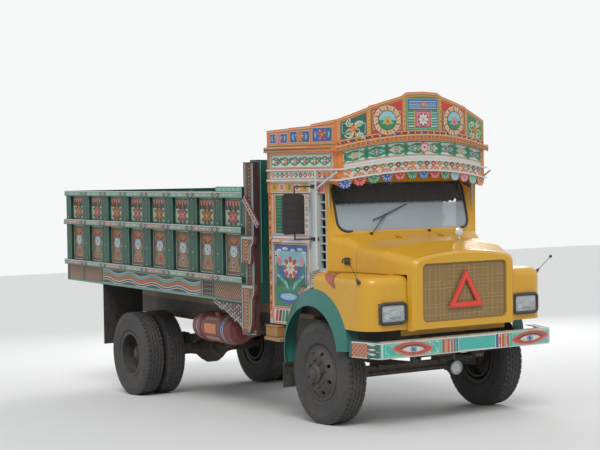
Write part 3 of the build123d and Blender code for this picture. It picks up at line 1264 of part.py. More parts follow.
def load_floor():
    pieces = [block((BODY_REAR_BOARD, BODY_FRONT), (-INSIDE_HALF, INSIDE_HALF),
                    (LOAD_FLOOR_LOW, LOAD_FLOOR_HIGH))]
    for y in ((-RAIL_HALF, -RAIL_HALF + RAIL_FLANGE), (RAIL_HALF - RAIL_FLANGE, RAIL_HALF)):
        pieces.append(block(SILL_X, y, (RAIL_HIGH, SKIRT_LOW)))
    step = (BODY_FRONT - 130 - BODY_REAR_BOARD) / (BEARERS - 1)
    for index in range(BEARERS):
        x = BODY_REAR_BOARD + index * step
        pieces.append(block((x, x + 70), (-INSIDE_HALF, INSIDE_HALF), (SKIRT_LOW, LOAD_FLOOR_LOW)))
    return pieces


def side_board():
    """Left side: board and skirt, posts between the bays, and three rails."""
    pieces = [block((BODY_REAR_BOARD, BODY_FRONT), (INSIDE_HALF, BOARD_OUT), (SKIRT_LOW, BODY_TOP))]
    for low, high, out in SIDE_RAILS:
        pieces.append(block((BODY_REAR_BOARD, BODY_FRONT), (BOARD_OUT - 5, out), (low, high)))
    pieces.append(block((CAP_REAR, BODY_FRONT), (INSIDE_HALF, SIDE_RAILS[2][2]), (BODY_TOP, CAP_TOP)))
    edges = [BODY_REAR_BOARD]
    for bay in range(BAYS):
        middle = BAY_FIRST + bay * BAY_PITCH
        edges.extend([middle - PANEL_HALF, middle + PANEL_HALF])
    edges.append(BODY_FRONT)
    for start, end in zip(edges[::2], edges[1::2]):
        pieces.append(block((start, end), (BOARD_OUT - 5, POST_OUT), (SIDE_RAILS[0][1], BODY_TOP)))
    return fused(pieces)


HEAD_X = (-1240.0, -1110.0)
HEAD_TOP = BODY_TOP + 338.0
HEAD_RIBS = 9


def headboard():
    board_x = (HEAD_X[0], HEAD_X[0] + 50)
    pieces = [block(board_x, (-INSIDE_HALF, INSIDE_HALF), (LOAD_FLOOR_HIGH, HEAD_TOP)),
              block((BODY_FRONT, board_x[1]), (-INSIDE_HALF, INSIDE_HALF), (SKIRT_LOW, LOAD_FLOOR_HIGH))]
    step = (2 * INSIDE_HALF - 60) / (HEAD_RIBS - 1)
    for index in range(HEAD_RIBS):
        y = -INSIDE_HALF + index * step
        pieces.append(block((board_x[1], HEAD_X[1]), (y, y + 60), (SKIRT_LOW, HEAD_TOP)))
    return pieces


CORNER_X = (BODY_FRONT, -1060.0)
CORNER_TOP = BODY_TOP + 314.0
GUSSET_TIP = (-1983.0, 1086.0)
GUSSET_FOOT = 775.0


def corner_post():
    post = block(CORNER_X, (INSIDE_HALF, 1200), (SKIRT_LOW, CORNER_TOP))
    outline = [(GUSSET_TIP[0], SKIRT_LOW), GUSSET_TIP, (-1700, 1010), (-1420, 900), (-1259, GUSSET_FOOT),
               (CORNER_X[1], GUSSET_FOOT + 18), (CORNER_X[1], SKIRT_LOW)]
    gusset = side_plate(outline, (BOARD_OUT - 25, 1190))
    return fused([post, gusset])


keep("load_floor", *load_floor())
SIDE_BOARD = side_board()
keep("side_board_left", SIDE_BOARD)
keep("side_board_right", other_side(SIDE_BOARD))
keep("headboard", *headboard())
POST = corner_post()
keep("corner_posts", POST, other_side(POST))

GATE_HINGE = (BODY_REAR - 26.0, 1345.0)     # x and z of the tailgate's hinge line
GATE_PIN_R = 10.0
GATE_HINGES = (-900.0, -300.0, 300.0, 900.0)


def tailgate():
    x = (BODY_REAR, BODY_REAR + 40)
    half = BOARD_OUT - 10
    low = LOAD_FLOOR_HIGH + GAP + 10
    pieces = [block(x, (-half, half), (low, BODY_TOP))]
    for y in (-half, -560, -40, 480, half - 80):
        pieces.append(block((BODY_REAR - 22, BODY_REAR + 5), (y, y + 80), (low, BODY_TOP)))
    for z in (SIDE_RAILS[1][:2], SIDE_RAILS[2][:2], (low, low + 60)):
        pieces.append(block((BODY_REAR - 22, BODY_REAR + 5), (-half, half), z))
    body = fused(pieces)
    for y in GATE_HINGES:
        clear = block((BODY_REAR - 60, BODY_REAR), (y - 70, y + 70), (low - 20, low + 100))
        body = body - clear
        ring = cross_rod(GATE_HINGE[0], GATE_HINGE[1], (y - 25, y + 25), GATE_PIN_R + 9)
        strap = block((GATE_HINGE[0] - 5, BODY_REAR + 6), (y - 25, y + 25),
                      (GATE_HINGE[1], GATE_HINGE[1] + 50))
        bore = cross_rod(GATE_HINGE[0], GATE_HINGE[1], (y - 60, y + 60), GATE_PIN_R + FIT)
        body = fused([body, ring, strap]) - bore
    return body


def rear_sill():
    """The rear frame beam under the gate with the hinge pins."""
    beam = block((BODY_REAR, BODY_REAR_BOARD), (-BOARD_OUT, BOARD_OUT), (SKIRT_LOW, LOAD_FLOOR_HIGH))
    pieces = [beam]
    for y in GATE_HINGES:
        pieces.append(cross_rod(GATE_HINGE[0], GATE_HINGE[1], (y - 52, y + 52), GATE_PIN_R))
        for step in (-1, 1):
            near, far = sorted((y + step * 30, y + step * 52))
            pieces.append(block((GATE_HINGE[0] - 16, BODY_REAR), (near, far),
                                (GATE_HINGE[1] - 90, GATE_HINGE[1] + 12)))
    return fused(pieces)


keep("tailgate", tailgate())


# Mud flaps and tail lamps

REAR_FLAP_X = (-4962.0, -4952.0)
FRONT_FLAP_X = (-604.0, -596.0)
FRONT_STRAP_X = (FRONT_FLAP_X[1] - 0.5, -576.0)


def front_flap():
    """A short flap on a strap under the rear end of the flare."""
    sheet = block(FRONT_FLAP_X, (930, 1150), (300, FLARE_REAR_Z))
    strap = block(FRONT_STRAP_X, (WING_OUT - 125, 1150), (FLARE_REAR_Z - 30, FLARE_REAR_Z))
    return fused([sheet, strap])


REAR_FLAP = block(REAR_FLAP_X, (600, 1150), (344, SKIRT_LOW))
FRONT_FLAP = front_flap()
keep("mud_flaps", REAR_FLAP, other_side(REAR_FLAP), FRONT_FLAP, other_side(FRONT_FLAP))
tail_lamp = rod((BODY_REAR - 28, 1050, 1220), (BODY_REAR, 1050, 1220), 55)
keep("lamps", *FRONT_LAMPS, tail_lamp, other_side(tail_lamp))
keep("rear_sill", rear_sill())


# Nodes are written out, tipped with the body where they ride on the springs

def placed(name, solid):
    if name in LEVEL_NODES:
        return solid
    return solid.rotate(Axis(FRONT_CENTRE, (0, 1, 0)), RAKE)


EXTENT = [placed(name, solid).bounding_box() for name, solids in NODES.items() for solid in solids]
MIDDLE_X = (min(box.min.X for box in EXTENT) + max(box.max.X for box in EXTENT)) / 2
for name, solids in NODES.items():
    shapes = [Pos(-MIDDLE_X, 0, 0) * placed(name, solid) for solid in solids]
    export_step(Compound(children=shapes) if len(shapes) > 1 else shapes[0], f"parts/{name}.step")


def report_place(label, point, level=False):
    """Prints a joint's or mount's place in the finished frame."""
    x, y, z = point
    turn = 0 if level else radians(RAKE)
    up = z - TYRE_R
    print(label, round(x * cos(turn) + up * sin(turn) - MIDDLE_X, 3), round(y, 3),
          round(-x * sin(turn) + up * cos(turn) + TYRE_R, 3))


report_place("tow_bore", (RAIL_REAR - 45, 0, TOW_Z))
report_place("load_floor_top", ((BODY_REAR_BOARD + BODY_FRONT) / 2, 0, LOAD_FLOOR_HIGH))
report_place("front_hub", (0, FRONT_TYRE_Y, TYRE_R), level=True)
report_place("kingpin", (0, KINGPIN_Y, TYRE_R), level=True)
report_place("track_rod_ball", (-ARM_REACH, KINGPIN_Y, TYRE_R - 150), level=True)
report_place("rear_hub", (REAR_X, TWIN_Y, REAR_Z))
report_place("bonnet_hinge", (LID_HINGE[0], 0, LID_HINGE[1]))
report_place("tailgate_hinge", (GATE_HINGE[0], 0, GATE_HINGE[1]))
report_place("steering_column", COLUMN_HEAD)
hinge_point = (SIDE_PLANE * Pos(DOOR_FRONT + GAP / 2, HINGE_OUT, HINGE_HEIGHTS[1])).position
report_place("door_hinge", tuple(hinge_point))
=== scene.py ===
# %% [markdown]
# A hand-painted goods truck. The metal and timber come in as a finished frame, every piece at its
# real size. This script gives each surface its paint, rubber, glass or dust, and adds what a
# painter, a coach builder and a driver would add: ornaments, tread, seals, wipers, bolts and
# mirrors. Blender works in metres here. X points forward, Y to the truck's left, Z up.

# %% Load the frame
import math
import random

import bpy
from mathutils import Matrix, Vector
from mathutils.bvhtree import BVHTree


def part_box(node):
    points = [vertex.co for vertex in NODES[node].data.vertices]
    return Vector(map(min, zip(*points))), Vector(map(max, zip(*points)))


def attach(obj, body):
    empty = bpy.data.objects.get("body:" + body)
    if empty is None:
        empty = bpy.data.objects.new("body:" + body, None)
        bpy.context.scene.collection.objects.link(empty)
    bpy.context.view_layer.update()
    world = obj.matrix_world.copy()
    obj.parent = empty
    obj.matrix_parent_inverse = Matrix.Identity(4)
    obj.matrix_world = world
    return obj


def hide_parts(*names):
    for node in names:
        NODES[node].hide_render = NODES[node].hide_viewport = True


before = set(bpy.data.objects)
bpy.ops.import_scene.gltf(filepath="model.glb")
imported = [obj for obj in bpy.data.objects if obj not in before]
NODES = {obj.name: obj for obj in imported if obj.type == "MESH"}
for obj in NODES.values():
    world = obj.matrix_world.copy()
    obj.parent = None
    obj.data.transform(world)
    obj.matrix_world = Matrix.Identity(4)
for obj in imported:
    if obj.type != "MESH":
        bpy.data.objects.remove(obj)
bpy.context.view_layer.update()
SIDES = (("right", -1), ("left", 1))
random.seed(7)

# %% [markdown]
# An empty truck of this kind stands nose-down, because its long rear springs are not loaded. It is
# far easier to lay out panels and patterns on a level truck and to tip the finished pieces at the
# end, so places below are in a level frame with its origin on the ground under the front axle.
# Every piece ends the same way: its place goes into its mesh, it is tipped, and it is given the
# body that carries it.

# %% The level frame and the tip
def middle_of(node):
    return [(low + high) / 2 for low, high in zip(*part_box(node))]


AXLE, REAR = middle_of("tyre_front_left"), middle_of("tyres_rear_left")
TYRE_R = AXLE[2]
TAIL_RISE, WHEELBASE = 0.221, 4.218
RAKE = math.asin(TAIL_RISE / math.hypot(TAIL_RISE, WHEELBASE))
TIP = (Matrix.Translation((AXLE[0], 0, TYRE_R)) @ Matrix.Rotation(RAKE, 4, "Y")
       @ Matrix.Translation((0, 0, -TYRE_R)))
UNTIP = TIP.inverted()
FINISHES = {}


def deselect():
    if bpy.context.mode != "OBJECT":
        bpy.ops.object.mode_set(mode="OBJECT")
    bpy.ops.object.select_all(action="DESELECT")


def pick(piece):
    """Selects one object alone and makes it the active one."""
    deselect()
    piece.select_set(True)
    bpy.context.view_layer.objects.active = piece


def edit(piece):
    """Enters edit mode on an object with its whole mesh selected."""
    pick(piece)
    bpy.ops.object.mode_set(mode="EDIT")
    bpy.ops.mesh.select_all(action="SELECT")


def settle(piece):
    """Moves an object's place into its mesh, so that the object sits at the origin."""
    bpy.context.view_layer.update()
    piece.data.transform(piece.matrix_world)
    piece.matrix_world = Matrix.Identity(4)


def place(piece, body, slot, finish_name=None, tipped=True):
    """Finishes a piece: its place goes into its mesh, it is tipped, and it rides on a body."""
    settle(piece)
    if tipped:
        piece.data.transform(TIP)
    if finish_name:
        piece.data.materials.clear()
        piece.data.materials.append(FINISHES[finish_name])
    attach(piece, body)
    return piece


def compass(degrees):
    """The cosine and the sine of an angle in degrees."""
    return math.cos(math.radians(degrees)), math.sin(math.radians(degrees))


print("front axle", [round(v, 3) for v in AXLE], "rear axle", [round(v, 3) for v in REAR])

# %% [markdown]
# The camera stands where the photographer stood: in front of the truck's right corner, at eye
# height, with a long lens that flattens the depth. Its place and turn were measured from the photo.

# %% Camera
CAMERA_AT = (AXLE[0] + 11.9319, -8.7852, 1.8692)
CAMERA_YAW, CAMERA_PITCH, CAMERA_ROLL = 147.7314, 0.4514, -2.4279
CAMERA_LENS, SENSOR_WIDTH, SIGHT = 86.14, 36, 300


def add_camera():
    camera = bpy.data.objects.new("camera", bpy.data.cameras.new("camera"))
    bpy.context.scene.collection.objects.link(camera)
    camera.data.lens = CAMERA_LENS
    camera.data.sensor_width = SENSOR_WIDTH
    camera.data.clip_end = SIGHT
    yaw, pitch, roll = (math.radians(v) for v in (CAMERA_YAW, CAMERA_PITCH, CAMERA_ROLL))
    ahead = Vector((math.cos(pitch) * math.cos(yaw), math.cos(pitch) * math.sin(yaw),
                    math.sin(pitch)))
    right = ahead.cross(Vector((0, 0, 1))).normalized()
    up = right.cross(ahead)
    side = math.cos(roll) * right + math.sin(roll) * up
    top = -math.sin(roll) * right + math.cos(roll) * up
    turn = Matrix((side, top, -ahead)).transposed().to_4x4()
    camera.matrix_world = Matrix.Translation(CAMERA_AT) @ turn
    bpy.context.scene.camera = camera
    print("camera lens", camera.data.lens)


add_camera()

# %% [markdown]
# Colours come from nodes, small steps that are joined by links. Two helpers keep the trees below
# short: one adds a node and fills its inputs, where a plain value is set on the socket itself and
# another node's output is linked to it; one makes a material and hands back its shader.

# %% Node helpers
def add_node(tree, kind, inputs, **settings):
    """A shader node with its settings; inputs maps a socket's name to a value or an output."""
    node = tree.nodes.new("ShaderNode" + kind)
    for name, value in settings.items():
        setattr(node, name, value)
    fill(tree, node, inputs)
    return node


def fill(tree, node, inputs):
    for name, value in inputs.items():
        if isinstance(value, bpy.types.NodeSocket):
            tree.links.new(value, node.inputs[name])
        else:
            node.inputs[name].default_value = value


def object_places(tree):
    return add_node(tree, "TexCoord", {}).outputs["Object"]


def split_axes(tree, vector):
    return add_node(tree, "SeparateXYZ", {0: vector}).outputs


def new_material(name):
    material = bpy.data.materials.new(name)
    material.use_nodes = True
    return material, material.node_tree, material.node_tree.nodes["Principled BSDF"]


print("node helpers ready")

# %% [markdown]
# Soft studio light: a pale world from all round, one wide lamp above the front and a weaker one
# behind. The world that lights the truck is bluer and dimmer than the one that is seen. The floor
# is a large pale sheet that fades into the background.

# %% Light and floor
SKY_LIGHT, SKY_STRENGTH, BACKGROUND = (0.93, 0.96, 1.0, 1), 0.62, (0.93, 0.94, 0.94, 1)
FLOOR_SIZE, FLOOR_COLOUR, FLOOR_ROUGH = 160, (0.74, 0.74, 0.72, 1), 0.9


def lamp(name, kind, energy, place_at, aim, size):
    data = bpy.data.lights.new(name, kind)
    data.energy = energy
    if kind == "AREA":
        data.shape = "RECTANGLE"
        data.size, data.size_y = size
    else:
        data.angle = math.radians(size[0])
    light = bpy.data.objects.new(name, data)
    bpy.context.scene.collection.objects.link(light)
    light.location = place_at
    light.rotation_euler = (Vector(aim) - Vector(place_at)).to_track_quat("-Z", "Y").to_euler()


def studio():
    scene = bpy.context.scene
    scene.view_settings.view_transform = "Standard"
    world = bpy.data.worlds.new("studio")
    scene.world = world
    world.use_nodes = True
    tree = world.node_tree
    tree.nodes.clear()
    soft = add_node(tree, "Background", {"Color": SKY_LIGHT, "Strength": SKY_STRENGTH})
    seen = add_node(tree, "Background", {"Color": BACKGROUND})
    path = add_node(tree, "LightPath", {}).outputs
    seen_by = path["Is Camera Ray"]
    for ray in ("Is Glossy Ray", "Is Transmission Ray"):
        seen_by = add_node(tree, "Math", {0: seen_by, 1: path[ray]}, operation="MAXIMUM").outputs[0]
    mix = add_node(tree, "MixShader", {0: seen_by, 1: soft.outputs[0], 2: seen.outputs[0]})
    add_node(tree, "OutputWorld", {"Surface": mix.outputs[0]})
    lamp("key", "SUN", 1.5, (9, -6, 12), (0, 0, 1), (25, 0))
    lamp("rim", "AREA", 500, (-8, 7, 7), (0, 0, 1.5), (7, 5))
    deselect()
    bpy.ops.mesh.primitive_plane_add(size=FLOOR_SIZE, location=(0, 0, 0))
    floor = bpy.context.object
    floor.name = "floor"
    sheet, tree, shader = new_material("floor_sheet")
    fill(tree, shader, {"Base Color": FLOOR_COLOUR, "Roughness": FLOOR_ROUGH})
    floor.data.materials.append(sheet)


studio()

# %% [markdown]
# Paint on a working truck is never one flat colour: it is brushed by hand, so its tone is uneven,
# and it is dusty low down and on faces that look up. These effects are shared by all finishes, so
# they sit in one node group that puts out a colour, a roughness and a height.

# %% Weathering group
DUST = (0.42, 0.36, 0.28, 1)
MOTTLED = (0.62, 0.60, 0.57, 1)
DUST_FADES_AT, DUST_FULL_AT = 1.9, 0.25
WEAR_INPUTS = (("Colour", "Color", (1, 1, 1, 1)), ("Roughness", "Float", 0.5),
               ("Dust", "Float", 0.3), ("Mottle", "Float", 0.3), ("Grain", "Float", 0.3),
               ("Grain Scale", "Float", 60.0))
WEAR_OUTPUTS = (("Colour", "Color"), ("Roughness", "Float"), ("Height", "Float"))


def weathering_group():
    group = bpy.data.node_groups.new("weathering", "ShaderNodeTree")
    face = group.interface
    for name, kind, default in WEAR_INPUTS:
        socket = face.new_socket(name=name, in_out="INPUT", socket_type="NodeSocket" + kind)
        socket.default_value = default
    for name, kind in WEAR_OUTPUTS:
        face.new_socket(name=name, in_out="OUTPUT", socket_type="NodeSocket" + kind)
    given = group.nodes.new("NodeGroupInput").outputs
    out = group.nodes.new("NodeGroupOutput")
    places = object_places(group)

    def noise(scale, detail, rough=0.6):
        return add_node(group, "TexNoise", {"Vector": places, "Scale": scale, "Detail": detail,
                                            "Roughness": rough}).outputs["Fac"]

    def maths(kind, a, b, clamp=False):
        return add_node(group, "Math", {0: a, 1: b}, operation=kind, use_clamp=clamp).outputs[0]

    def mix(kind, factor, a, b):
        return add_node(group, "Mix", {"Factor": factor, "A": a, "B": b}, data_type="RGBA",
                        blend_type=kind).outputs["Result"]

    def spread(value, low, high):
        return add_node(group, "MapRange", {"Value": value, "From Min": low,
                                            "From Max": high}).outputs["Result"]

    def blend(share_a, a, share_b, b):
        return maths("ADD", maths("MULTIPLY", a, share_a), maths("MULTIPLY", b, share_b))

    blotch, fine = noise(1.7, 5), noise(14, 6)
    grain = noise(given["Grain Scale"], 4, 0.5)
    facing = add_node(group, "NewGeometry", {}).outputs["Normal"]
    mottle = maths("MULTIPLY", spread(blend(0.6, blotch, 0.4, fine), 0.35, 0.65), given["Mottle"])
    toned = mix("MULTIPLY", mottle, given["Colour"], MOTTLED)
    low = spread(split_axes(group, places)["Z"], DUST_FADES_AT, DUST_FULL_AT)
    up = maths("MAXIMUM", split_axes(group, facing)["Z"], 0.0)
    lies = maths("ADD", blend(0.75, low, 0.55, up), 0.22)
    patch = spread(blend(0.5, blotch, 0.5, fine), 0.30, 0.66)
    dust = maths("MULTIPLY", maths("MULTIPLY", lies, patch), given["Dust"], clamp=True)
    rough = blend(1.0, given["Roughness"], 0.5, dust)
    uneven = maths("MULTIPLY", maths("SUBTRACT", fine, 0.5), 0.18)
    fill(group, out, {
        "Colour": mix("MIX", dust, toned, DUST),
        "Roughness": maths("ADD", rough, uneven, clamp=True),
        "Height": blend(given["Grain"], grain, 0.25, fine)})
    return group


WEATHERING = weathering_group()
print("weathering nodes", len(WEATHERING.nodes))

# %% [markdown]
# A finish is a colour with its own roughness, dust, mottle and grain, sent through that group. The
# painter's colours come twice: as they are on the cab, and as old, faded ones for the load body,
# which stands in the sun and is not painted over as often. Pale colours fade less than deep ones.

# %% Finishes
def finish(name, colour, rough=0.42, dust=0.35, mottle=0.25, grain=0.25, grain_scale=90.0,
           bump=0.0012, metal=0.0, coat=0.0, pattern=None):
    """A finish: its colour, or a pattern's, goes through the weathering group into one shader."""
    material, tree, shader = new_material(name)
    wear = tree.nodes.new("ShaderNodeGroup")
    wear.node_tree = WEATHERING
    fill(tree, wear, {"Colour": pattern(tree) if pattern else (*colour, 1), "Roughness": rough,
                      "Dust": dust, "Mottle": mottle, "Grain": grain, "Grain Scale": grain_scale})
    raised = add_node(tree, "Bump", {"Strength": 0.5, "Distance": bump,
                                     "Height": wear.outputs["Height"]})
    fill(tree, shader, {
        "Normal": raised.outputs["Normal"], "Base Color": wear.outputs["Colour"],
        "Roughness": wear.outputs["Roughness"], "Metallic": metal, "Coat Weight": coat,
        "Coat Roughness": 0.15})
    material.diffuse_color = (*colour, 1)
    FINISHES[name] = material


# name: colour, roughness, dust
PAINTS = {
    "yellow": ((0.64, 0.335, 0.009), 0.32, 0.08), "teal": ((0.008, 0.105, 0.080), 0.38, 0.22),
    "mint": ((0.16, 0.52, 0.40), 0.38, 0.30), "green": ((0.02, 0.20, 0.085), 0.38, 0.28),
    "red": ((0.50, 0.028, 0.022), 0.36, 0.25), "rust": ((0.40, 0.075, 0.028), 0.42, 0.30),
    "orange": ((0.66, 0.185, 0.030), 0.38, 0.22), "maroon": ((0.105, 0.016, 0.022), 0.42, 0.30),
    "brown": ((0.17, 0.060, 0.022), 0.45, 0.30), "cream": ((0.56, 0.49, 0.35), 0.42, 0.24),
    "white": ((0.62, 0.62, 0.58), 0.40, 0.24), "blue": ((0.030, 0.095, 0.34), 0.38, 0.26),
    "skyblue": ((0.25, 0.49, 0.58), 0.40, 0.28), "pink": ((0.68, 0.19, 0.25), 0.40, 0.26),
    "gold": ((0.60, 0.33, 0.03), 0.38, 0.26), "turquoise": ((0.03, 0.42, 0.35), 0.34, 0.24),
    "black": ((0.012, 0.012, 0.013), 0.40, 0.35), "seafoam": ((0.24, 0.46, 0.37), 0.40, 0.24),
    "rose": ((0.55, 0.16, 0.13), 0.40, 0.26), "sand": ((0.33, 0.25, 0.15), 0.45, 0.24),
}
OLD = "old_"
OLD_ROUGHER, OLD_DUST = 0.06, 0.62
PALE_SUM, MIDDLE_SUM = 1.15, 0.70


def faded(colour):
    """The colour of an old coat: pale paints keep most of their light, deep ones little."""
    light = sum(colour)
    keep = 0.80 if light > PALE_SUM else 0.68 if light > MIDDLE_SUM else 0.45
    return tuple(keep * part for part in colour)


for paint, (colour, rough, dust) in PAINTS.items():
    finish(paint, colour, rough, dust, coat=0.2 if paint == "yellow" else 0.1)
    finish(OLD + paint, faded(colour), rough + OLD_ROUGHER, dust * OLD_DUST)
finish("flare_green", (0.018, 0.150, 0.128), 0.38, 0.09)
finish("underbody", (0.020, 0.020, 0.020), 0.62, 0.42, grain=0.8, bump=0.002)
finish("axle_black", (0.018, 0.018, 0.018), 0.6, 0.45, grain=0.8, bump=0.002)
finish("cast_engine", (0.06, 0.065, 0.07), 0.6, 0.5, grain=0.8, bump=0.002)
finish("spring_steel", (0.045, 0.040, 0.037), 0.6, 0.45, metal=0.4)
finish("tyre_rubber", (0.030, 0.031, 0.036), 0.80, 0.16, mottle=0.4, grain=0.6, grain_scale=240.0)
finish("flap_rubber", (0.012, 0.012, 0.013), 0.75, 0.22, grain=0.5)
finish("rim_dark", (0.022, 0.022, 0.024), 0.6, 0.20, grain=0.5)
finish("floor_timber", (0.20, 0.135, 0.085), 0.75, 0.7, mottle=0.8, grain=0.9, grain_scale=30.0)
finish("chrome", (0.62, 0.62, 0.62), 0.12, 0.15, metal=1.0)
finish("steel", (0.30, 0.29, 0.28), 0.4, 0.3, metal=0.9)
finish("seat_cloth", (0.10, 0.025, 0.020), 0.85, 0.3, grain=0.9, grain_scale=300.0)
finish("seal", (0.010, 0.010, 0.011), 0.55, 0.25)
finish("plastic_black", (0.012, 0.012, 0.013), 0.45, 0.2)
finish("lining", (0.30, 0.27, 0.22), 0.7, 0.2)
# the pelmet's near-black cloth also stands for the brow's dark underside seen in the windscreen: a
# painted reflection
finish("pelmet_cloth_and_reflection", (0.014, 0.016, 0.013), 0.9, 0.05, grain=0.25, grain_scale=260.0, bump=0.0004)
finish("signal_red", (0.80, 0.045, 0.022), 0.30, 0.08)
finish("straw", (0.50, 0.36, 0.13), 0.6, 0.2)
finish("tank_red", (0.20, 0.030, 0.028), 0.42, 0.20)
finish("pale", (0.42, 0.46, 0.46), 0.40, 0.24)
finish("step_timber", (0.40, 0.19, 0.05), 0.6, 0.4, mottle=0.6, grain=0.8, grain_scale=40.0)
finish("lens_red", (0.45, 0.012, 0.010), 0.15, 0.2, coat=0.8)
finish("lamp_body", (0.42, 0.43, 0.42), 0.22, 0.10, metal=0.85)
print("finishes", len(FINISHES))

# %% [markdown]
# The mat in the grille is woven from flat golden-brown strips. A brick pattern stands for the
# weave: its long low bricks are the strips, in two tones, and its mortar is the dark behind them.

# %% Woven mat
WEAVE = {"Scale": 1.0, "Brick Width": 0.016, "Row Height": 0.0075, "Mortar Size": 0.0011,
         "Color1": (0.33, 0.205, 0.062, 1), "Color2": (0.26, 0.155, 0.048, 1),
         "Mortar": (0.13, 0.070, 0.024, 1)}


def weave_pattern(tree):
    axes = split_axes(tree, object_places(tree))
    plane = add_node(tree, "CombineXYZ", {"X": axes["Y"], "Y": axes["Z"]})
    return add_node(tree, "TexBrick", {"Vector": plane.outputs[0], **WEAVE}).outputs["Color"]


finish("mesh_weave", (0.26, 0.14, 0.04), 0.6, 0.25, grain=0.6, pattern=weave_pattern)
print("finishes with the mat", len(FINISHES))

# %% [markdown]
# Glass here has a pale, uneven haze from a noise: part dust and part painted reflection of the
# bright sky; on the lamps it is thin. On the windscreen it is thick below a height, where it is a
# painted sky reflection, and nearly gone above it, so the pelmet behind it is seen sharply.

# %% Glass finishes
DUST_AND_REFLECTION_SCALE, DUST_AND_REFLECTION_DETAIL, DUST_AND_REFLECTION_RANGE, HAZE_RANGE = 3.0, 6.0, 0.16, 0.12
REFLECTION_FADE_EDGE, REFLECTION_LEFT_ABOVE = 0.03, 0.05


def glass(name, tint, rough, dust_and_reflection_low, reflection_ends_above=None):
    """Glass with an uneven haze of dust and painted reflection; above a height the haze fades out.
    """
    material, tree, shader = new_material(name)
    places = object_places(tree)
    dust_and_reflection = add_node(tree, "TexNoise", {"Vector": places, "Scale": DUST_AND_REFLECTION_SCALE,
                                       "Detail": DUST_AND_REFLECTION_DETAIL}).outputs["Fac"]

    def ranged(value, to_low, to_high, low=0.0, high=1.0):
        return add_node(tree, "MapRange", {"Value": value, "From Min": low, "From Max": high,
                                           "To Min": to_low, "To Max": to_high}).outputs["Result"]

    shown = ranged(dust_and_reflection, dust_and_reflection_low, dust_and_reflection_low + DUST_AND_REFLECTION_RANGE)
    # the painted sky reflection ends at a height, and the glass above it is nearly clear
    if reflection_ends_above:
        height = split_axes(tree, places)["Z"]
        reflection_fade = ranged(height, 1.0, REFLECTION_LEFT_ABOVE, reflection_ends_above, reflection_ends_above + REFLECTION_FADE_EDGE)
        shown = add_node(tree, "Math", {0: shown, 1: reflection_fade}, operation="MULTIPLY").outputs[0]
    fill(tree, shader, {"Base Color": (*tint, 1), "IOR": 1.45, "Metallic": 0.0, "Alpha": shown,
                        "Roughness": ranged(dust_and_reflection, rough, rough + HAZE_RANGE)})
    FINISHES[name] = material


# windscreen: a thick blue-grey haze below 2.15 m, a painted reflection of the sky over a little
# dust
glass("screen_glass", (0.40, 0.47, 0.52), 0.04, 0.60, 2.150)
# lamp lenses: a thin pale haze of dust and painted reflection
glass("lens_glass", (0.62, 0.66, 0.68), 0.05, 0.16)
print("glass finishes done")

# %% [markdown]
# Each piece of the frame gets the finish of the surface that shows round its ornaments. What isn't
# named here, such as the exhaust, is dark like the underbody.

# %% Finishes on the frame's own pieces
NODE_FINISHES = {
    "yellow": ("bonnet_lid", "wings", "windscreen_cowl", "front_panel"),
    "mesh_weave": ("grille",),
    "flare_green": ("fender_flares",),
    "screen_glass": ("windscreen",),
    "lamp_body": ("lamps",),
    "pale": ("cab_body",),
    "cream": ("door_left", "door_right"),
    "plastic_black": ("dashboard", "steering_wheel", "mirrors"),
    "seat_cloth": ("seats",),
    "orange": ("fascia", "crown_board"),
    "white": ("cab_rails",),
    "step_timber": ("steps",),
    "floor_timber": ("load_floor",),
    "old_teal": ("side_board_left", "side_board_right", "tailgate", "rear_sill"),
    "teal": ("headboard", "front_bumper"),
    "old_maroon": ("corner_posts",),
    "flap_rubber": ("mud_flaps",),
    "axle_black": ("front_axle", "rear_axle", "propeller_shaft", "knuckle_left", "knuckle_right",
                   "track_rod"),
    "spring_steel": ("leaf_springs",),
    "cast_engine": ("engine",),
    "tank_red": ("fuel_tank",),
    "rim_dark": ("rim_front_left", "rim_front_right", "rims_rear_left", "rims_rear_right"),
    "tyre_rubber": ("tyre_front_left", "tyre_front_right", "tyres_rear_left", "tyres_rear_right"),
}
FINISH_OF = {node: name for name, nodes in NODE_FINISHES.items() for node in nodes}
for node, piece in NODES.items():
    piece.data.materials.clear()
    piece.data.materials.append(FINISHES[FINISH_OF.get(node, "underbody")])
print("nodes painted", len(NODES))

# %% [markdown]
# Nearly every board on this truck is painted, and the painter works with a few brush shapes: discs,
# leaves, drops, petals, diamonds, and long ribbons of one colour. The paint is thick and lies in
# layers, so each stroke here is a real, very thin plate with its own finish. Each shape is cut once
# from a filled circle whose rim is moved, gets its thickness by an extrusion, and is then repeated.

# %% Brush shapes
TILES = {}


def cut_tile(name, sides, outline):
    """A flat shape two units across, one unit thick: outline gives the rim's place at an angle."""
    deselect()
    bpy.ops.mesh.primitive_circle_add(vertices=sides, radius=1, fill_type="NGON")
    tile = bpy.context.object
    for vertex in tile.data.vertices:
        angle = math.atan2(vertex.co.y, vertex.co.x)
        vertex.co.x, vertex.co.y = outline(angle)
    edit(tile)
    bpy.ops.mesh.extrude_region_move(TRANSFORM_OT_translate={"value": (0, 0, 1)})
    bpy.ops.object.mode_set(mode="OBJECT")
    TILES[name] = ([tuple(v.co) for v in tile.data.vertices],
                   [tuple(p.vertices) for p in tile.data.polygons])
    bpy.data.objects.remove(tile)


def powered(value, power):
    return math.copysign(abs(value) ** power, value)


def lobed(count, depth):
    def outline(a):
        reach = 1 - depth + depth * abs(math.cos(count * a / 2))
        return reach * math.cos(a), reach * math.sin(a)
    return outline


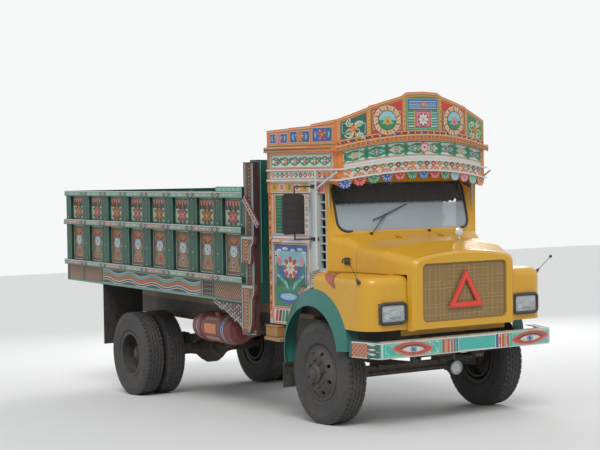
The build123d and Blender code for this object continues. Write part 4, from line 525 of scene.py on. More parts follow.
cut_tile("disc", 14, lambda a: (math.cos(a), math.sin(a)))
cut_tile("diamond", 4, lambda a: (math.cos(a), math.sin(a)))
cut_tile("square", 4, lambda a: (1.4142 * math.cos(a + math.pi / 4),
                                 1.4142 * math.sin(a + math.pi / 4)))
cut_tile("leaf", 12, lambda a: (math.cos(a), powered(math.sin(a), 1.6)))
cut_tile("drop", 14, lambda a: (math.cos(a), math.sin(a) * abs(math.sin(a / 2)) ** 1.3))
cut_tile("half", 14, lambda a: (math.cos(a), max(math.sin(a), 0) * 2 - 1))
cut_tile("horn", 16, lambda a: (math.cos(a),
                                0.5 * powered(math.sin(a), 1.5) + 0.9 * math.cos(a) ** 2 - 0.4))
cut_tile("blossom", 30, lobed(5, 0.30))
cut_tile("daisy", 32, lobed(8, 0.28))
cut_tile("peak", 3, lambda a: (math.cos(a + 0.001) * 1.1547, math.sin(a) * 1.3333 - 0.3333))
print("brush shapes", sorted(TILES))

# %% [markdown]
# A sheet collects strokes in the plane of one board: u runs along it and v up it, both in metres.
# When the sheet is laid, every corner is moved onto the real surface, flat or bowed, so a border
# follows the brow of the cab as a brush would. Strokes on a higher layer lie over the ones below.

# %% A sheet of strokes
BURIED = 0.0004
BODY_COAT, CAB_COAT, FASCIA_COAT = 0.0007, 0.0008, 0.0012


class Sheet:
    """Strokes of paint; coat is the thickness of one layer in metres."""

    def __init__(self, coat=BODY_COAT):
        self.coat = coat
        self.points, self.faces, self.paints = [], [], []

    def add(self, corners, faces, paint, layer):
        """Adds a plate: its face stands on its layer, its back is a little way inside the board."""
        start = len(self.points)
        for u, v, top in corners:
            self.points.append((u, v, self.coat * layer if top > 0.5 else -BURIED))
        self.faces.extend([tuple(start + index for index in face) for face in faces])
        self.paints.extend([paint] * len(faces))

    def stamp(self, shape, paint, u, v, wide, high, layer=2, turn=0):
        """One brush shape at a place, turned by an angle in degrees."""
        corners, faces = TILES[shape]
        c, s = compass(turn)
        moved = []
        for x, y, top in corners:
            x, y = x * wide / 2, y * high / 2
            moved.append((u + c * x - s * y, v + s * x + c * y, top))
        self.add(moved, faces, paint, layer)

    def pile(self, u, v, layer, *strokes):
        """Brush shapes on top of each other: (shape, paint, wide, high), each a layer higher."""
        for i, (shape, paint, wide, high) in enumerate(strokes):
            self.stamp(shape, paint, u, v, wide, high, layer + i)

    def strip(self, paint, lower, upper, layer=2):
        """A plate between two lines of (u, v) places."""
        corners, faces = [], []
        for low, high in zip(lower, upper):
            corners.extend([(*low, 0), (*high, 0), (*low, 1), (*high, 1)])
        last = 4 * (len(lower) - 1)
        for i in range(0, last, 4):
            faces.extend([(i, i + 4, i + 5, i + 1), (i + 2, i + 3, i + 7, i + 6),
                          (i, i + 2, i + 6, i + 4), (i + 1, i + 5, i + 7, i + 3)])
        faces.extend([(0, 1, 3, 2), (last, last + 2, last + 3, last + 1)])
        self.add(corners, faces, paint, layer)

    def field(self, paint, u0, u1, low, high, layer=1, step=0.06):
        """A rectangle, or a shape between two curves where low or high is a function of u."""
        count = max(1, round(abs(u1 - u0) / step))
        us = [u0 + (u1 - u0) * i / count for i in range(count + 1)]
        lower = [(u, low(u) if callable(low) else low) for u in us]
        upper = [(u, high(u) if callable(high) else high) for u in us]
        self.strip(paint, lower, upper, layer)

    def ribbon(self, paint, line, width, layer=2):
        """A brush line of even width along a list of (u, v) places."""
        lower, upper = [], []
        for i, (u, v) in enumerate(line):
            a, b = line[max(i - 1, 0)], line[min(i + 1, len(line) - 1)]
            du, dv = b[0] - a[0], b[1] - a[1]
            reach = math.hypot(du, dv) or 1.0
            nu, nv = -dv / reach * width / 2, du / reach * width / 2
            lower.append((u - nu, v - nv))
            upper.append((u + nu, v + nv))
        self.strip(paint, lower, upper, layer)

    def bands(self, u0, u1, layer, *bands):
        """Level bands that share their ends and their layer: (paint, low, high)."""
        for paint, low, high in bands:
            self.field(paint, u0, u1, low, high, layer)

    def frame(self, paint, u0, u1, v0, v1, width, layer=2):
        self.field(paint, u0, u1, v0, v0 + width, layer)
        self.field(paint, u0, u1, v1 - width, v1, layer)
        self.field(paint, u0, u0 + width, v0 + width, v1 - width, layer)
        self.field(paint, u1 - width, u1, v0 + width, v1 - width, layer)

    def row(self, shape, paints, u0, u1, v, count, wide, high, layer=2, turn=0):
        """Evenly spaced strokes whose colours take turns. v may be a function of u."""
        for i in range(count):
            u = u0 + (u1 - u0) * (i + 0.5) / count
            self.stamp(shape, paints[i % len(paints)], u, v(u) if callable(v) else v, wide, high,
                       layer, turn)

    def ring(self, paint, u, v, radius, width, layer=2, sides=24, start=0.0, sweep=360.0):
        line = []
        for i in range(sides + 1):
            ru, rv = compass(start + sweep * i / sides)
            line.append((u + radius * ru, v + radius * rv))
        self.ribbon(paint, line, width, layer)

    def wave(self, paint, u0, u1, v, rise, pitch, width, layer=2, phase=0.0):
        count = max(8, round(abs(u1 - u0) / pitch * 12))
        line = []
        for i in range(count + 1):
            u = u0 + (u1 - u0) * i / count
            middle = v(u) if callable(v) else v
            line.append((u, middle + rise * math.sin(2 * math.pi * (u - u0) / pitch + phase)))
        self.ribbon(paint, line, width, layer)

    def lattice(self, paint, u0, u1, v0, v1, pitch, width, layer=2):
        """Crossing slanted lines, cut off at the edges of a rectangle."""
        high = v1 - v0
        count = int((u1 - u0 + high) / pitch) + 1
        for i in range(1, count):
            for lean in (1, -1):
                foot = u0 + i * pitch if lean < 0 else u1 - i * pitch
                ua, ub = foot, foot + lean * high
                lo, hi = 0.0, 1.0
                for bound, sign in ((u0, 1), (u1, -1)):
                    da, db = sign * (ua - bound), sign * (ub - bound)
                    if da < 0 <= db:
                        lo = max(lo, da / (da - db))
                    if db < 0 <= da:
                        hi = min(hi, da / (da - db))
                    if da < 0 and db < 0:
                        hi = lo
                if hi - lo > 0.05:
                    line = [(ua + (ub - ua) * t, v0 + high * t) for t in (lo, hi)]
                    self.ribbon(paint, line, width, layer)

    def bloom(self, u, v, size, petal, heart, petals=6, layer=3, turn=0.0):
        """A flower: drops round a heart, the outer end of each drop on the flower's edge."""
        for i in range(petals):
            a = turn + 360.0 * i / petals
            ru, rv = compass(a)
            self.stamp("drop", petal, u + ru * size * 0.29, v + rv * size * 0.29, size * 0.46,
                       size * 0.34, layer, a + 180)
        self.stamp("disc", heart, u, v, size * 0.26, size * 0.26, layer + 1)

    def spray(self, u, v, size, leaf, layer=3, turns=(35, 145, 215, 325)):
        """Leaves that point away from a place."""
        for a in turns:
            ru, rv = compass(a)
            self.stamp("leaf", leaf, u + ru * size * 0.5, v + rv * size * 0.5, size * 0.62,
                       size * 0.24, layer, a)


def lay(name, sheet, surface, body, slot, age=""):
    """Moves a sheet's strokes onto a surface and makes them one piece, with a material for each
    paint. With the age OLD the strokes wear the old, faded paints."""
    mesh = bpy.data.meshes.new(name)
    mesh.from_pydata([surface(*point) for point in sheet.points], [], sheet.faces)
    names = sorted(set(sheet.paints))
    for paint in names:
        mesh.materials.append(FINISHES[age + paint])
    mesh.polygons.foreach_set("material_index", [names.index(paint) for paint in sheet.paints])
    piece = bpy.data.objects.new(name, mesh)
    bpy.context.scene.collection.objects.link(piece)
    turn_outward(piece)
    place(piece, body, slot)
    print(name, "faces", len(mesh.polygons), "paints", len(names))
    return piece


def turn_outward(piece):
    """Makes all faces of a mesh look outwards."""
    edit(piece)
    bpy.ops.mesh.normals_make_consistent(inside=False)
    bpy.ops.object.mode_set(mode="OBJECT")


def span(side, a, b):
    """The two ends of a stretch on one side of the truck, the lower one first."""
    return sorted((side * a, side * b))


def flat_side(plane, side):
    """An upright plane along the truck, at a distance from its middle."""
    return lambda u, v, w: (u, side * (plane + w), v)

# %% [markdown]
# The brow over the windscreen is the painter's best board. It bows forward and its lower edge and
# borders bow up in the middle. The bow is an arc through the two corners and the middle, so a place
# across the truck gives a place along it directly, and an arched line adds a little height.

# %% Surfaces of the brow and of the cab's sides
BROW_CORNER_X, BROW_HALF, BROW_BULGE = 0.108, 0.930, 0.177
BROW_OVERHANG = 0.010
BULGE_GROWTH, MIDDLE_GROWTH = 0.4, 0.6
ARCH_HALF, ARCH_RISE, ARCH_GROWTH, ARCH_FOOT = 0.904, 0.084, 0.074, 2.43
CAB_REAR_X, CAB_REAR_HALF = -0.955, 1.080
CAB_FRONT_HALF, CAB_LONG = 0.945, 0.884


def arch(u):
    """How far along its rise an arched line is: 1 in the middle of the truck, 0 at the ends."""
    return 1 - (u / ARCH_HALF) ** 2


def brow_front(out, arched=True):
    """The bowed board over the windscreen, out metres in front of the fascia."""
    half, bulge = BROW_HALF + out, BROW_BULGE + out * BULGE_GROWTH
    radius = (half ** 2 + bulge ** 2) / (2 * bulge)
    middle = BROW_CORNER_X + out * MIDDLE_GROWTH + bulge - radius

    def surface(u, v, w):
        rise = (ARCH_RISE + (v - ARCH_FOOT) * ARCH_GROWTH) * arch(u) if arched else 0.0
        return middle + math.sqrt(radius ** 2 - u ** 2) + w, u, v + rise
    return surface


def tapered_side(side, rear_half, front_half, long, out):
    """A side that narrows forwards from the cab's rear."""
    taper = (rear_half - front_half) / long
    return lambda u, v, w: (u, side * (rear_half - (u - CAB_REAR_X) * taper + out + w), v)


def brow_side(out, side):
    return tapered_side(side, CAB_REAR_HALF + BROW_OVERHANG, BROW_HALF,
                        BROW_CORNER_X - CAB_REAR_X, out)


def cab_side(side, out=0.0):
    return tapered_side(side, CAB_REAR_HALF, CAB_FRONT_HALF, CAB_LONG, out)


print("cab narrows by", round(CAB_REAR_HALF - CAB_FRONT_HALF, 3))

# %% [markdown]
# The fascia carries two crossing garlands with a lens or a lozenge between each crossing, a row of
# diamonds below them and a shell on each hanging petal. The cornice over it is a row of squares.

# %% Fascia and cornice
GARLAND_HALF, GARLAND_Z, GARLAND_RISE, GARLAND_PITCH = 0.855, 2.624, 0.040, 0.464
LENS_COUNT = 8
CORNICE_HALF, CORNICE_OUT = 0.965, 0.042
PETAL_PAINTS = ("blue", "red", "green") * 3 + ("skyblue", "pink", "mint", "orange")
PETAL_COUNT = len(PETAL_PAINTS)
PETAL_Z, PETAL_RISE = 2.382, 0.092


def fascia_front():
    s = Sheet(FASCIA_COAT)
    s.field("white", -0.925, 0.925, 2.402, 2.698, 1)
    for side in (-1, 1):
        s.field("orange", *span(side, 0.925, 0.868), 2.396, 2.698, 2)
        s.field("cream", *span(side, 0.868, 0.861), 2.41, 2.698, 3)
    s.bands(-0.86, 0.86, 2, ("green", 2.682, 2.690), ("orange", 2.556, 2.562),
            ("green", 2.566, 2.570))
    middle = GARLAND_Z
    for phase in (0.0, math.pi):
        s.wave("green", -GARLAND_HALF, GARLAND_HALF, middle, GARLAND_RISE, GARLAND_PITCH, 0.020, 3,
               phase + 0.35)
    for i in range(LENS_COUNT):
        u = -GARLAND_HALF + 2 * GARLAND_HALF * (i + 0.5) / LENS_COUNT
        lens = i % 2 == 0
        s.stamp("leaf", "cream" if lens else "skyblue", u, middle, 0.160, 0.056, 4)
        s.spray(u, middle, 0.070, "mint" if lens else "green", 5, (0, 180, 40, 140, 220, 320))
        s.bloom(u, middle, 0.052, "red" if i % 3 else "orange", "white", 5, 6)
        for lean in (-1, 1):
            for lift, reach in ((0.034, 0.100), (0.020, 0.070)):
                s.stamp("horn", "green", u + lean * 0.085, middle + lift, reach, 0.034, 4,
                        lean * 24)
                s.stamp("horn", "green", u + lean * 0.085, middle - lift, reach, 0.034, 4,
                        180 - lean * 24)
            s.stamp("leaf", "teal", u + lean * 0.104, middle, 0.060, 0.026, 5, 90 * lean)
    s.pile(0.01, middle + 0.008, 6, ("disc", "pink", 0.100, 0.100),
           ("daisy", "white", 0.070, 0.070), ("disc", "rust", 0.030, 0.030))
    s.row("diamond", ("orange", "green", "maroon", "red"), -0.86, 0.86, 2.482, 20, 0.074, 0.060, 3)
    s.row("diamond", ("cream", "white"), -0.86, 0.86, 2.482, 20, 0.034, 0.024, 4)
    s.row("leaf", ("gold", "mint"), -0.903, 0.817, 2.482, 20, 0.040, 0.018, 3)
    s.bands(-0.86, 0.86, 2, ("orange", 2.448, 2.452), ("green", 2.514, 2.518))
    return s


def fascia_petals():
    """One shell on each hanging petal of the fascia's edge: a lobed colour below a fan of cream."""
    s = Sheet(FASCIA_COAT)
    pitch = 2 * BROW_HALF / PETAL_COUNT
    for i in range(PETAL_COUNT):
        u = (i - (PETAL_COUNT - 1) / 2) * pitch
        v = PETAL_Z + PETAL_RISE * arch(u)
        paint = PETAL_PAINTS[i]
        s.ring("orange", u, v + 0.004, 0.062, 0.012, 6, 16, -8, 196)
        s.stamp("half", "cream", u, v + 0.029, 0.112, 0.056, 5)
        s.stamp("half", paint, u, v - 0.029, 0.120, 0.060, 5, 180)
        for a in (192, 221, 250, 290, 319, 348):
            ru, rv = compass(a)
            s.stamp("disc", paint, u + ru * 0.045, v + rv * 0.045, 0.040, 0.040, 6)
            s.stamp("drop", "white", u + ru * 0.040, v + rv * 0.040, 0.036, 0.009, 7, a + 180)
        s.stamp("disc", paint, u, v + 0.004, 0.062, 0.050, 8)
        for a in (50, 90, 130):
            ru, rv = compass(a)
            s.stamp("drop", paint, u + ru * 0.038, v + rv * 0.034, 0.030, 0.015, 7, a + 180)
        s.stamp("disc", "gold" if i % 2 else "cream", u, v + 0.004, 0.014, 0.014, 9)
    return s


def cornice(half):
    s = Sheet(FASCIA_COAT)
    s.field("orange", -half, half, 2.700, 2.757, 1)
    s.bands(-half, half, 2, ("cream", 2.747, 2.753), ("green", 2.703, 2.708))
    count = round(half * 40)
    s.row("square", ("maroon", "teal"), -half, half, 2.728, count, 0.026, 0.018, 3)
    s.row("leaf", ("cream",), -half, half, 2.728, count, 0.017, 0.006, 4)
    return s


lay("fascia_front_paint", fascia_front(), brow_front(0.0), "chassis", "fascia_paint")
lay("fascia_petal_paint", fascia_petals(), brow_front(0.0, arched=False), "chassis", "fascia_paint")
lay("cornice_front_paint", cornice(CORNICE_HALF), brow_front(CORNICE_OUT), "chassis",
    "fascia_paint")

# %% [markdown]
# The crown board stands on the cornice. Its front is a row of framed fields: scrolls, a wheel of
# petals on a latticed ground, and a lotus in the middle. Its sides have three dark blue fields
# each.

# %% Crown board
CROWN_Z, CROWN_RISE = 2.758, 0.104
CROWN_EDGE = ((0.0, 3.288), (0.185, 3.280), (0.215, 3.263), (0.240, 3.247), (0.590, 3.148),
              (0.615, 3.131), (0.930, 3.010))
CROWN_SIDE_EDGE = ((-0.960, 2.930), (-0.606, 2.945), (-0.600, 2.950), (-0.265, 2.960),
                   (-0.259, 2.976), (0.082, 3.010))


def along(edge, u):
    """The height of an outline at a place, between its corners."""
    for (a, low), (b, high) in zip(edge, edge[1:]):
        if a <= u <= b:
            return low + (high - low) * (u - a) / (b - a)
    return edge[0][1] if u < edge[0][0] else edge[-1][1]


def crown_top(u):
    return along(CROWN_EDGE, abs(u))


def crown_base(u):
    return CROWN_Z + CROWN_RISE * arch(u)


def under(gap):
    return lambda u: crown_top(u) - gap


def over(gap):
    return lambda u: crown_base(u) + gap


def crown_scrolls(s, side):
    lo, hi = span(side, 0.636, 0.892)
    s.field("teal" if side < 0 else "green", lo, hi, over(0.046), under(0.046), 2)
    s.frame("mint", lo + 0.012, hi - 0.012, crown_base(0.7) + 0.072, crown_top(0.89) - 0.052, 0.006,
            3)
    mid = (lo + hi) / 2
    for turn, du, dv, size in ((20, -0.055, 0.045, 0.10), (200, 0.050, -0.035, 0.10),
                               (110, 0.045, 0.065, 0.07), (290, -0.06, -0.06, 0.07)):
        s.ring("white", mid + du * side, 2.905 + dv, size * 0.42, 0.010, 4, 14, turn, 250)
        s.stamp("leaf", "mint", mid + du * side, 2.905 + dv, size * 0.6, 0.026, 4, turn)
        s.stamp("horn", "cream", mid + du * side, 2.905 + dv + 0.03, size * 0.7, 0.030, 5, turn)
    s.bloom(mid - 0.01, 2.915, 0.085, "orange", "gold", 6, 5)
    s.spray(mid, 2.90, 0.12, "gold", 4, (60, 120, 240, 300))


def crown_wheel(s, side):
    """A wheel of petals with a flower over a pond, on a latticed ground."""
    lo, hi = span(side, 0.246, 0.592)
    s.field("red", lo, hi, over(0.044), under(0.044), 2, 0.02)
    s.frame("green", lo + 0.008, hi - 0.008, crown_base(0.30) + 0.048, crown_top(0.59) - 0.046,
            0.006, 4)
    s.lattice("cream", lo + 0.012, hi - 0.012, crown_base(0.30) + 0.052, crown_top(0.59) - 0.052,
              0.035, 0.004, 3)
    u, v = side * 0.419, 3.000
    s.pile(u, v, 5, ("disc", "rust", 0.314, 0.314), ("disc", "cream", 0.300, 0.300))
    for i in range(20):
        a = 18 * i
        ru, rv = compass(a)
        s.stamp("leaf", "rust" if i % 2 else "gold", u + ru * 0.122, v + rv * 0.122, 0.052, 0.016,
                7, a + 22)
    s.pile(u, v, 7, ("disc", "maroon", 0.200, 0.200), ("disc", "skyblue", 0.186, 0.186))
    s.stamp("half", "green", u, v - 0.047, 0.186, 0.093, 9, 180)
    for i in range(4):
        s.stamp("leaf", "white", u - 0.04 + 0.028 * i, v + 0.05 - 0.006 * (i % 2), 0.036, 0.008, 9)
    s.spray(u, v - 0.01, 0.085, "mint", 10, (20, 60, 120, 160, 200, 340))
    s.bloom(u, v - 0.01, 0.080, "gold" if side < 0 else "pink", "red", 8, 11)


def crown_lotus(s):
    s.field("green", -0.204, 0.204, over(0.044), under(0.048), 2)
    s.frame("mint", -0.196, 0.196, 2.912, 3.218, 0.007, 3)
    s.field("blue", -0.178, 0.178, 3.105, 3.206, 3)
    for i in range(5):
        s.field("skyblue" if i % 2 else "white", -0.172, 0.172, 3.118 + i * 0.017,
                3.124 + i * 0.017, 4)
    for side in (-1, 1):
        for i in range(6):
            v = 2.935 + i * 0.027
            s.field(("white", "mint", "skyblue")[i % 3], *span(side, 0.110, 0.180), v, v + 0.012, 4)
        s.field("gold", *span(side, 0.098, 0.108), 2.925, 3.10, 4)
    s.field("pink", -0.096, 0.096, 2.930, 3.098, 3)
    s.frame("maroon", -0.092, 0.092, 2.934, 3.094, 0.006, 4)
    s.stamp("disc", "maroon", 0, 3.010, 0.132, 0.132, 5)
    s.bloom(0, 3.010, 0.118, "white", "gold", 8, 6)
    s.bloom(0, 3.160, 0.060, "orange", "cream", 8, 6)


def crown_front():
    s = Sheet(FASCIA_COAT)
    s.field("orange", -0.928, 0.928, over(0.0), under(0.0), 1, 0.02)
    for gap, paint in ((0.016, "cream"), (0.026, "green")):
        s.field(paint, -0.922, 0.922, under(gap + 0.006), under(gap), 2, 0.01)
    s.field("maroon", -0.922, 0.922, over(0.004), over(0.030), 2)
    s.row("square", ("gold", "red", "cream", "blue"), -0.92, 0.92, over(0.017), 46, 0.024, 0.018, 3)
    s.field("cream", -0.922, 0.922, over(0.031), over(0.036), 3)
    for side in (-1, 1):
        for at, wide in ((0.912, 0.022), (0.612, 0.030), (0.228, 0.026)):
            u = side * at
            s.field("gold", u - wide / 2, u + wide / 2, over(0.038), under(0.034), 2)
            s.field("rust", u - 0.003, u + 0.003, over(0.038), under(0.034), 3)
            for i in range(7):
                v = crown_base(u) + 0.06 + i * (crown_top(u) - crown_base(u) - 0.10) / 6
                s.stamp("disc", "cream", u, v, 0.010, 0.014, 4)
        crown_scrolls(s, side)
        crown_wheel(s, side)
    crown_lotus(s)
    return s


def crown_side():
    s = Sheet(FASCIA_COAT)

    def under(gap):
        return lambda u: along(CROWN_SIDE_EDGE, u) - gap

    s.field("orange", -0.950, 0.104, 2.759, under(0.0), 1, 0.03)
    s.field("cream", -0.948, 0.075, under(0.022), under(0.014), 2, 0.02)
    s.field("red", -0.948, 0.075, under(0.034), under(0.029), 2, 0.02)
    s.field("green", -0.948, 0.100, 2.762, 2.770, 2)
    s.row("disc", ("cream", "gold"), -0.945, 0.10, 2.779, 52, 0.012, 0.012, 2)
    for a, b, petal in ((-0.902, -0.628, "pink"), (-0.588, -0.284, "orange"),
                        (-0.246, 0.050, "red")):
        low, high, mid = 2.800, along(CROWN_SIDE_EDGE, a) - 0.042, (a + b) / 2
        s.field("cream", a, b, low - 0.008, high + 0.008, 2)
        s.field("blue", a + 0.006, b - 0.006, low, high, 3)
        s.frame("teal", a + 0.018, b - 0.018, low + 0.012, high - 0.012, 0.006, 4)
        s.spray(mid, (low + high) / 2, 0.085, "mint", 4, (15, 50, 130, 165, 230, 310))
        s.bloom(mid, (low + high) / 2, 0.110, petal, "gold", 7, 5)
        for lean in (-1, 1):
            s.stamp("horn", "skyblue", mid + lean * 0.095, (low + high) / 2, 0.070, 0.040, 4,
                    90 * lean)
    return s


def fascia_side():
    s = Sheet(FASCIA_COAT)
    s.field("white", -0.945, -0.078, 2.290, 2.695, 1)
    s.field("white", -0.078, 0.045, 2.402, 2.695, 1)
    s.field("orange", 0.045, 0.104, 2.396, 2.695, 1)
    s.field("cream", 0.052, 0.058, 2.402, 2.695, 2)
    s.field("orange", -0.945, -0.902, 2.290, 2.695, 2)
    s.field("green", -0.930, -0.922, 2.295, 2.69, 3)
    s.frame("orange", -0.890, 0.036, 2.530, 2.688, 0.010, 2)
    s.frame("green", -0.876, 0.022, 2.544, 2.674, 0.004, 2)
    for phase in (0.5, 0.5 + math.pi):
        s.wave("green", -0.868, 0.014, 2.608, 0.038, 0.300, 0.014, 3, phase)
    for i in range(6):
        u = -0.868 + 0.147 * (i + 0.5)
        s.bloom(u, 2.608, 0.048, ("red", "orange", "pink")[i % 3], "white", 5, 5)
        s.spray(u, 2.608, 0.060, "green", 4, (30, 150, 210, 330))
        s.stamp("horn", "teal", u + 0.070, 2.632, 0.052, 0.030, 4, 180)
    s.row("diamond", ("orange", "green", "maroon", "red"), -0.895, 0.035, 2.468, 13, 0.058, 0.056,
          3)
    s.row("diamond", ("cream", "white"), -0.895, 0.035, 2.468, 13, 0.028, 0.026, 4)
    s.row("leaf", ("gold", "mint"), -0.86, 0.03, 2.468, 12, 0.036, 0.012, 3)
    for v in (2.428, 2.506):
        s.field("red", -0.897, 0.035, v, v + 0.004, 2)
    for i in range(5):
        a = -0.895 + i * 0.118
        s.field("cream" if i % 2 else "gold", a, a + 0.108, 2.300, 2.392, 2)
        s.frame("orange", a, a + 0.108, 2.300, 2.392, 0.007, 3)
        s.bloom(a + 0.054, 2.346, 0.052, ("green", "red")[i % 2], "cream", 6, 4)
    s.field("pink", -0.245, -0.082, 2.296, 2.392, 2)
    for i in range(4):
        s.ribbon("maroon", [(-0.24 + i * 0.04, 2.300), (-0.21 + i * 0.04, 2.388)], 0.006, 3)
    return s


def cornice_side():
    s = Sheet(FASCIA_COAT)
    s.field("orange", -0.950, 0.120, 2.701, 2.757, 1)
    s.field("cream", -0.948, 0.120, 2.747, 2.753, 2)
    s.field("green", -0.948, 0.120, 2.703, 2.708, 2)
    s.row("square", ("maroon", "teal"), -0.945, 0.115, 2.728, 42, 0.018, 0.018, 3)
    return s


lay("crown_front_paint", crown_front(), brow_front(0.0, arched=False), "chassis", "fascia_paint")
for label, side in SIDES:
    lay(f"crown_{label}_paint", crown_side(), brow_side(0.0, side), "chassis", "fascia_paint")
    lay(f"cornice_{label}_paint", cornice_side(), brow_side(CORNICE_OUT, side), "chassis",
        "fascia_paint")
    lay(f"fascia_{label}_paint", fascia_side(), brow_side(0.0, side), "chassis", "fascia_paint")

# %% [markdown]
# The doors are timber with a framed field each. The field holds a plain flower over water here, in
# blues and greens. The lower front corner of the door is cut away over the wheel, so every stroke
# near it ends on that arc.

# %% Doors
ARCH_U, ARCH_V = -0.055, 0.770


def over_arch(radius, low):
    """The higher of a level line and the arc round the wheel arch."""
    def line(u):
        reach = radius ** 2 - (u - ARCH_U) ** 2
        return max(low, ARCH_V + math.sqrt(reach)) if reach > 0 else low
    return line


def arc_line(radius, start, end, count=16):
    line = []
    for i in range(count + 1):
        ru, rv = compass(start + (end - start) * i / count)
        line.append((ARCH_U + radius * ru, ARCH_V + radius * rv))
    return line


FLOWER_U = -0.614


def door_picture(s):
    """Clouds, a pond and a tall flower between two smaller ones."""
    for u, v, wide in ((-0.79, 1.695, 0.10), (-0.70, 1.715, 0.12), (-0.58, 1.700, 0.11),
                       (-0.47, 1.712, 0.12), (-0.41, 1.680, 0.06), (-0.84, 1.670, 0.03)):
        s.stamp("disc", "white", u, v, wide * 0.7, 0.030, 7)
        s.stamp("disc", "skyblue", u + 0.02, v - 0.010, wide * 0.5, 0.014, 8)
    s.stamp("disc", "blue", -0.640, 1.215, 0.360, 0.130, 7)
    s.stamp("disc", "skyblue", -0.650, 1.222, 0.260, 0.070, 8)
    s.row("leaf", ("white",), -0.74, -0.56, 1.222, 3, 0.040, 0.008, 9)
    for lean in (-1, 1):
        s.ribbon("green", [(FLOWER_U + lean * 0.01, 1.26), (FLOWER_U + lean * 0.06, 1.36),
                           (FLOWER_U + lean * 0.15, 1.42)], 0.010, 8)
        for i in range(4):
            s.stamp("leaf", "mint", FLOWER_U + lean * (0.06 + i * 0.036), 1.34 + i * 0.028, 0.105,
                    0.034, 9, 90 - lean * (28 + 12 * i))
        s.stamp("leaf", "green", FLOWER_U + lean * 0.20, 1.50, 0.16, 0.052, 8, 90 - lean * 12)
        s.bloom(FLOWER_U + lean * 0.175, 1.590, 0.085, "pink", "gold", 6, 9)
        s.ribbon("white", [(FLOWER_U + lean * 0.232, 1.34), (FLOWER_U + lean * 0.232, 1.66)], 0.006,
                 7)
    s.field("green", -0.620, -0.608, 1.26, 1.46, 8)
    s.stamp("disc", "white", FLOWER_U, 1.520, 0.215, 0.215, 9)
    s.bloom(FLOWER_U, 1.520, 0.225, "rust", "gold", 8, 10)
    s.bloom(FLOWER_U, 1.520, 0.130, "white", "gold", 8, 12, 22)


def door_paint():
    s = Sheet(CAB_COAT)
    left, right = -0.899, -0.328
    s.field("white", left, right, over_arch(0.630, 0.936), 1.862, 1, 0.02)
    s.field("orange", left, -0.856, 1.868, 2.272, 1)
    s.field("white", -0.890, -0.882, 1.87, 2.27, 2)
    s.field("white", -0.391, right, 1.868, 2.272, 1)
    for i in range(7):
        s.bloom(-0.360, 1.895 + i * 0.058, 0.046, ("pink", "green", "red")[i % 3], "cream", 5, 3)
    s.bands(left + 0.004, right - 0.004, 2, ("red", 1.844, 1.850), ("red", 1.812, 1.818))
    s.frame("blue", left + 0.004, right - 0.004, 1.800, 1.858, 0.004, 3)
    for layer, paint, inset in ((2, "rust", 0.0), (3, "cream", 0.012), (4, "maroon", 0.020),
                                (5, "blue", 0.028)):
        round_arch = over_arch(0.655 + inset + (0.001 if inset else 0.0), 1.100 + inset)
        s.field(paint, -0.886 + inset, -0.342 - inset, round_arch, 1.778 - inset, layer, 0.02)
    s.field("skyblue", -0.858, -0.370, 1.540, 1.690, 6)
    s.field("green", -0.858, -0.370, round_arch, 1.330, 6, 0.02)
    s.field("teal", -0.858, -0.370, 1.330, 1.420, 6)
    door_picture(s)
    s.ribbon("red", arc_line(0.645, 146, 120), 0.010, 3)
    for i, paint in enumerate(("red", "maroon", "green", "teal")):
        u = -0.870 + i * 0.050
        s.strip(paint, [(u, 0.960), (u + 0.038, 0.960)], [(u + 0.022, 1.078), (u + 0.060, 1.078)],
                2)
    s.frame("red", left + 0.004, -0.665, 0.942, 1.092, 0.006, 3)
    return s


def door_shutter():
    s = Sheet(0.003)
    s.field("teal", -0.852, -0.737, 1.869, 2.259, 1)
    for i in range(11):
        v = 1.890 + i * 0.034
        s.strip("green", [(-0.846, v), (-0.743, v)], [(-0.846, v + 0.020), (-0.743, v + 0.020)], 2)
    return s


def cab_wall_paint():
    s = Sheet(CAB_COAT)
    s.field("orange", -0.953, -0.912, 0.99, 2.280, 1)
    for i in range(24):
        s.stamp("diamond", ("cream", "green", "maroon")[i % 3], -0.933, 1.04 + i * 0.052, 0.026,
                0.040, 2)
    s.field("white", -0.276, -0.268, 1.53, 2.26, 1)
    s.field("skyblue", -0.170, -0.166, 1.53, 2.27, 1)
    s.field("white", -0.312, -0.074, over_arch(0.632, 1.30), 1.508, 1, 0.02)
    for i in range(5):
        v = 1.422 + i * 0.017
        s.field(("maroon", "green", "rust", "blue", "red")[i], -0.306, -0.080, v, v + 0.008, 2)
    s.ribbon("red", arc_line(0.645, 112, 93), 0.010, 2)
    return s


for label, side in SIDES:
    lay(f"door_{label}_paint", door_paint(), cab_side(side), f"{label}_door", "cab_paint")
    lay(f"door_{label}_shutter", door_shutter(), cab_side(side, -0.014), f"{label}_door",
        "cab_paint")
    lay(f"cab_wall_{label}_paint", cab_wall_paint(), cab_side(side), "chassis", "cab_paint")

# %% [markdown]
# The bumper's face is straight and swept back at both ends, so places on it run along its path. Two
# painted eyes, a common guard against bad luck, sit either side of a bare turquoise plate.

# %% Bumper
BUMPER_X, BUMPER_BEND = 0.975, 1.055
BUMPER_SWEEP = math.atan2(0.102, 0.360)
BUMPER_R = 0.050
BUMPER_LOW, BUMPER_HIGH, BUMPER_REACH, BUMPER_TOP = 0.738, 0.890, 1.385, 0.892


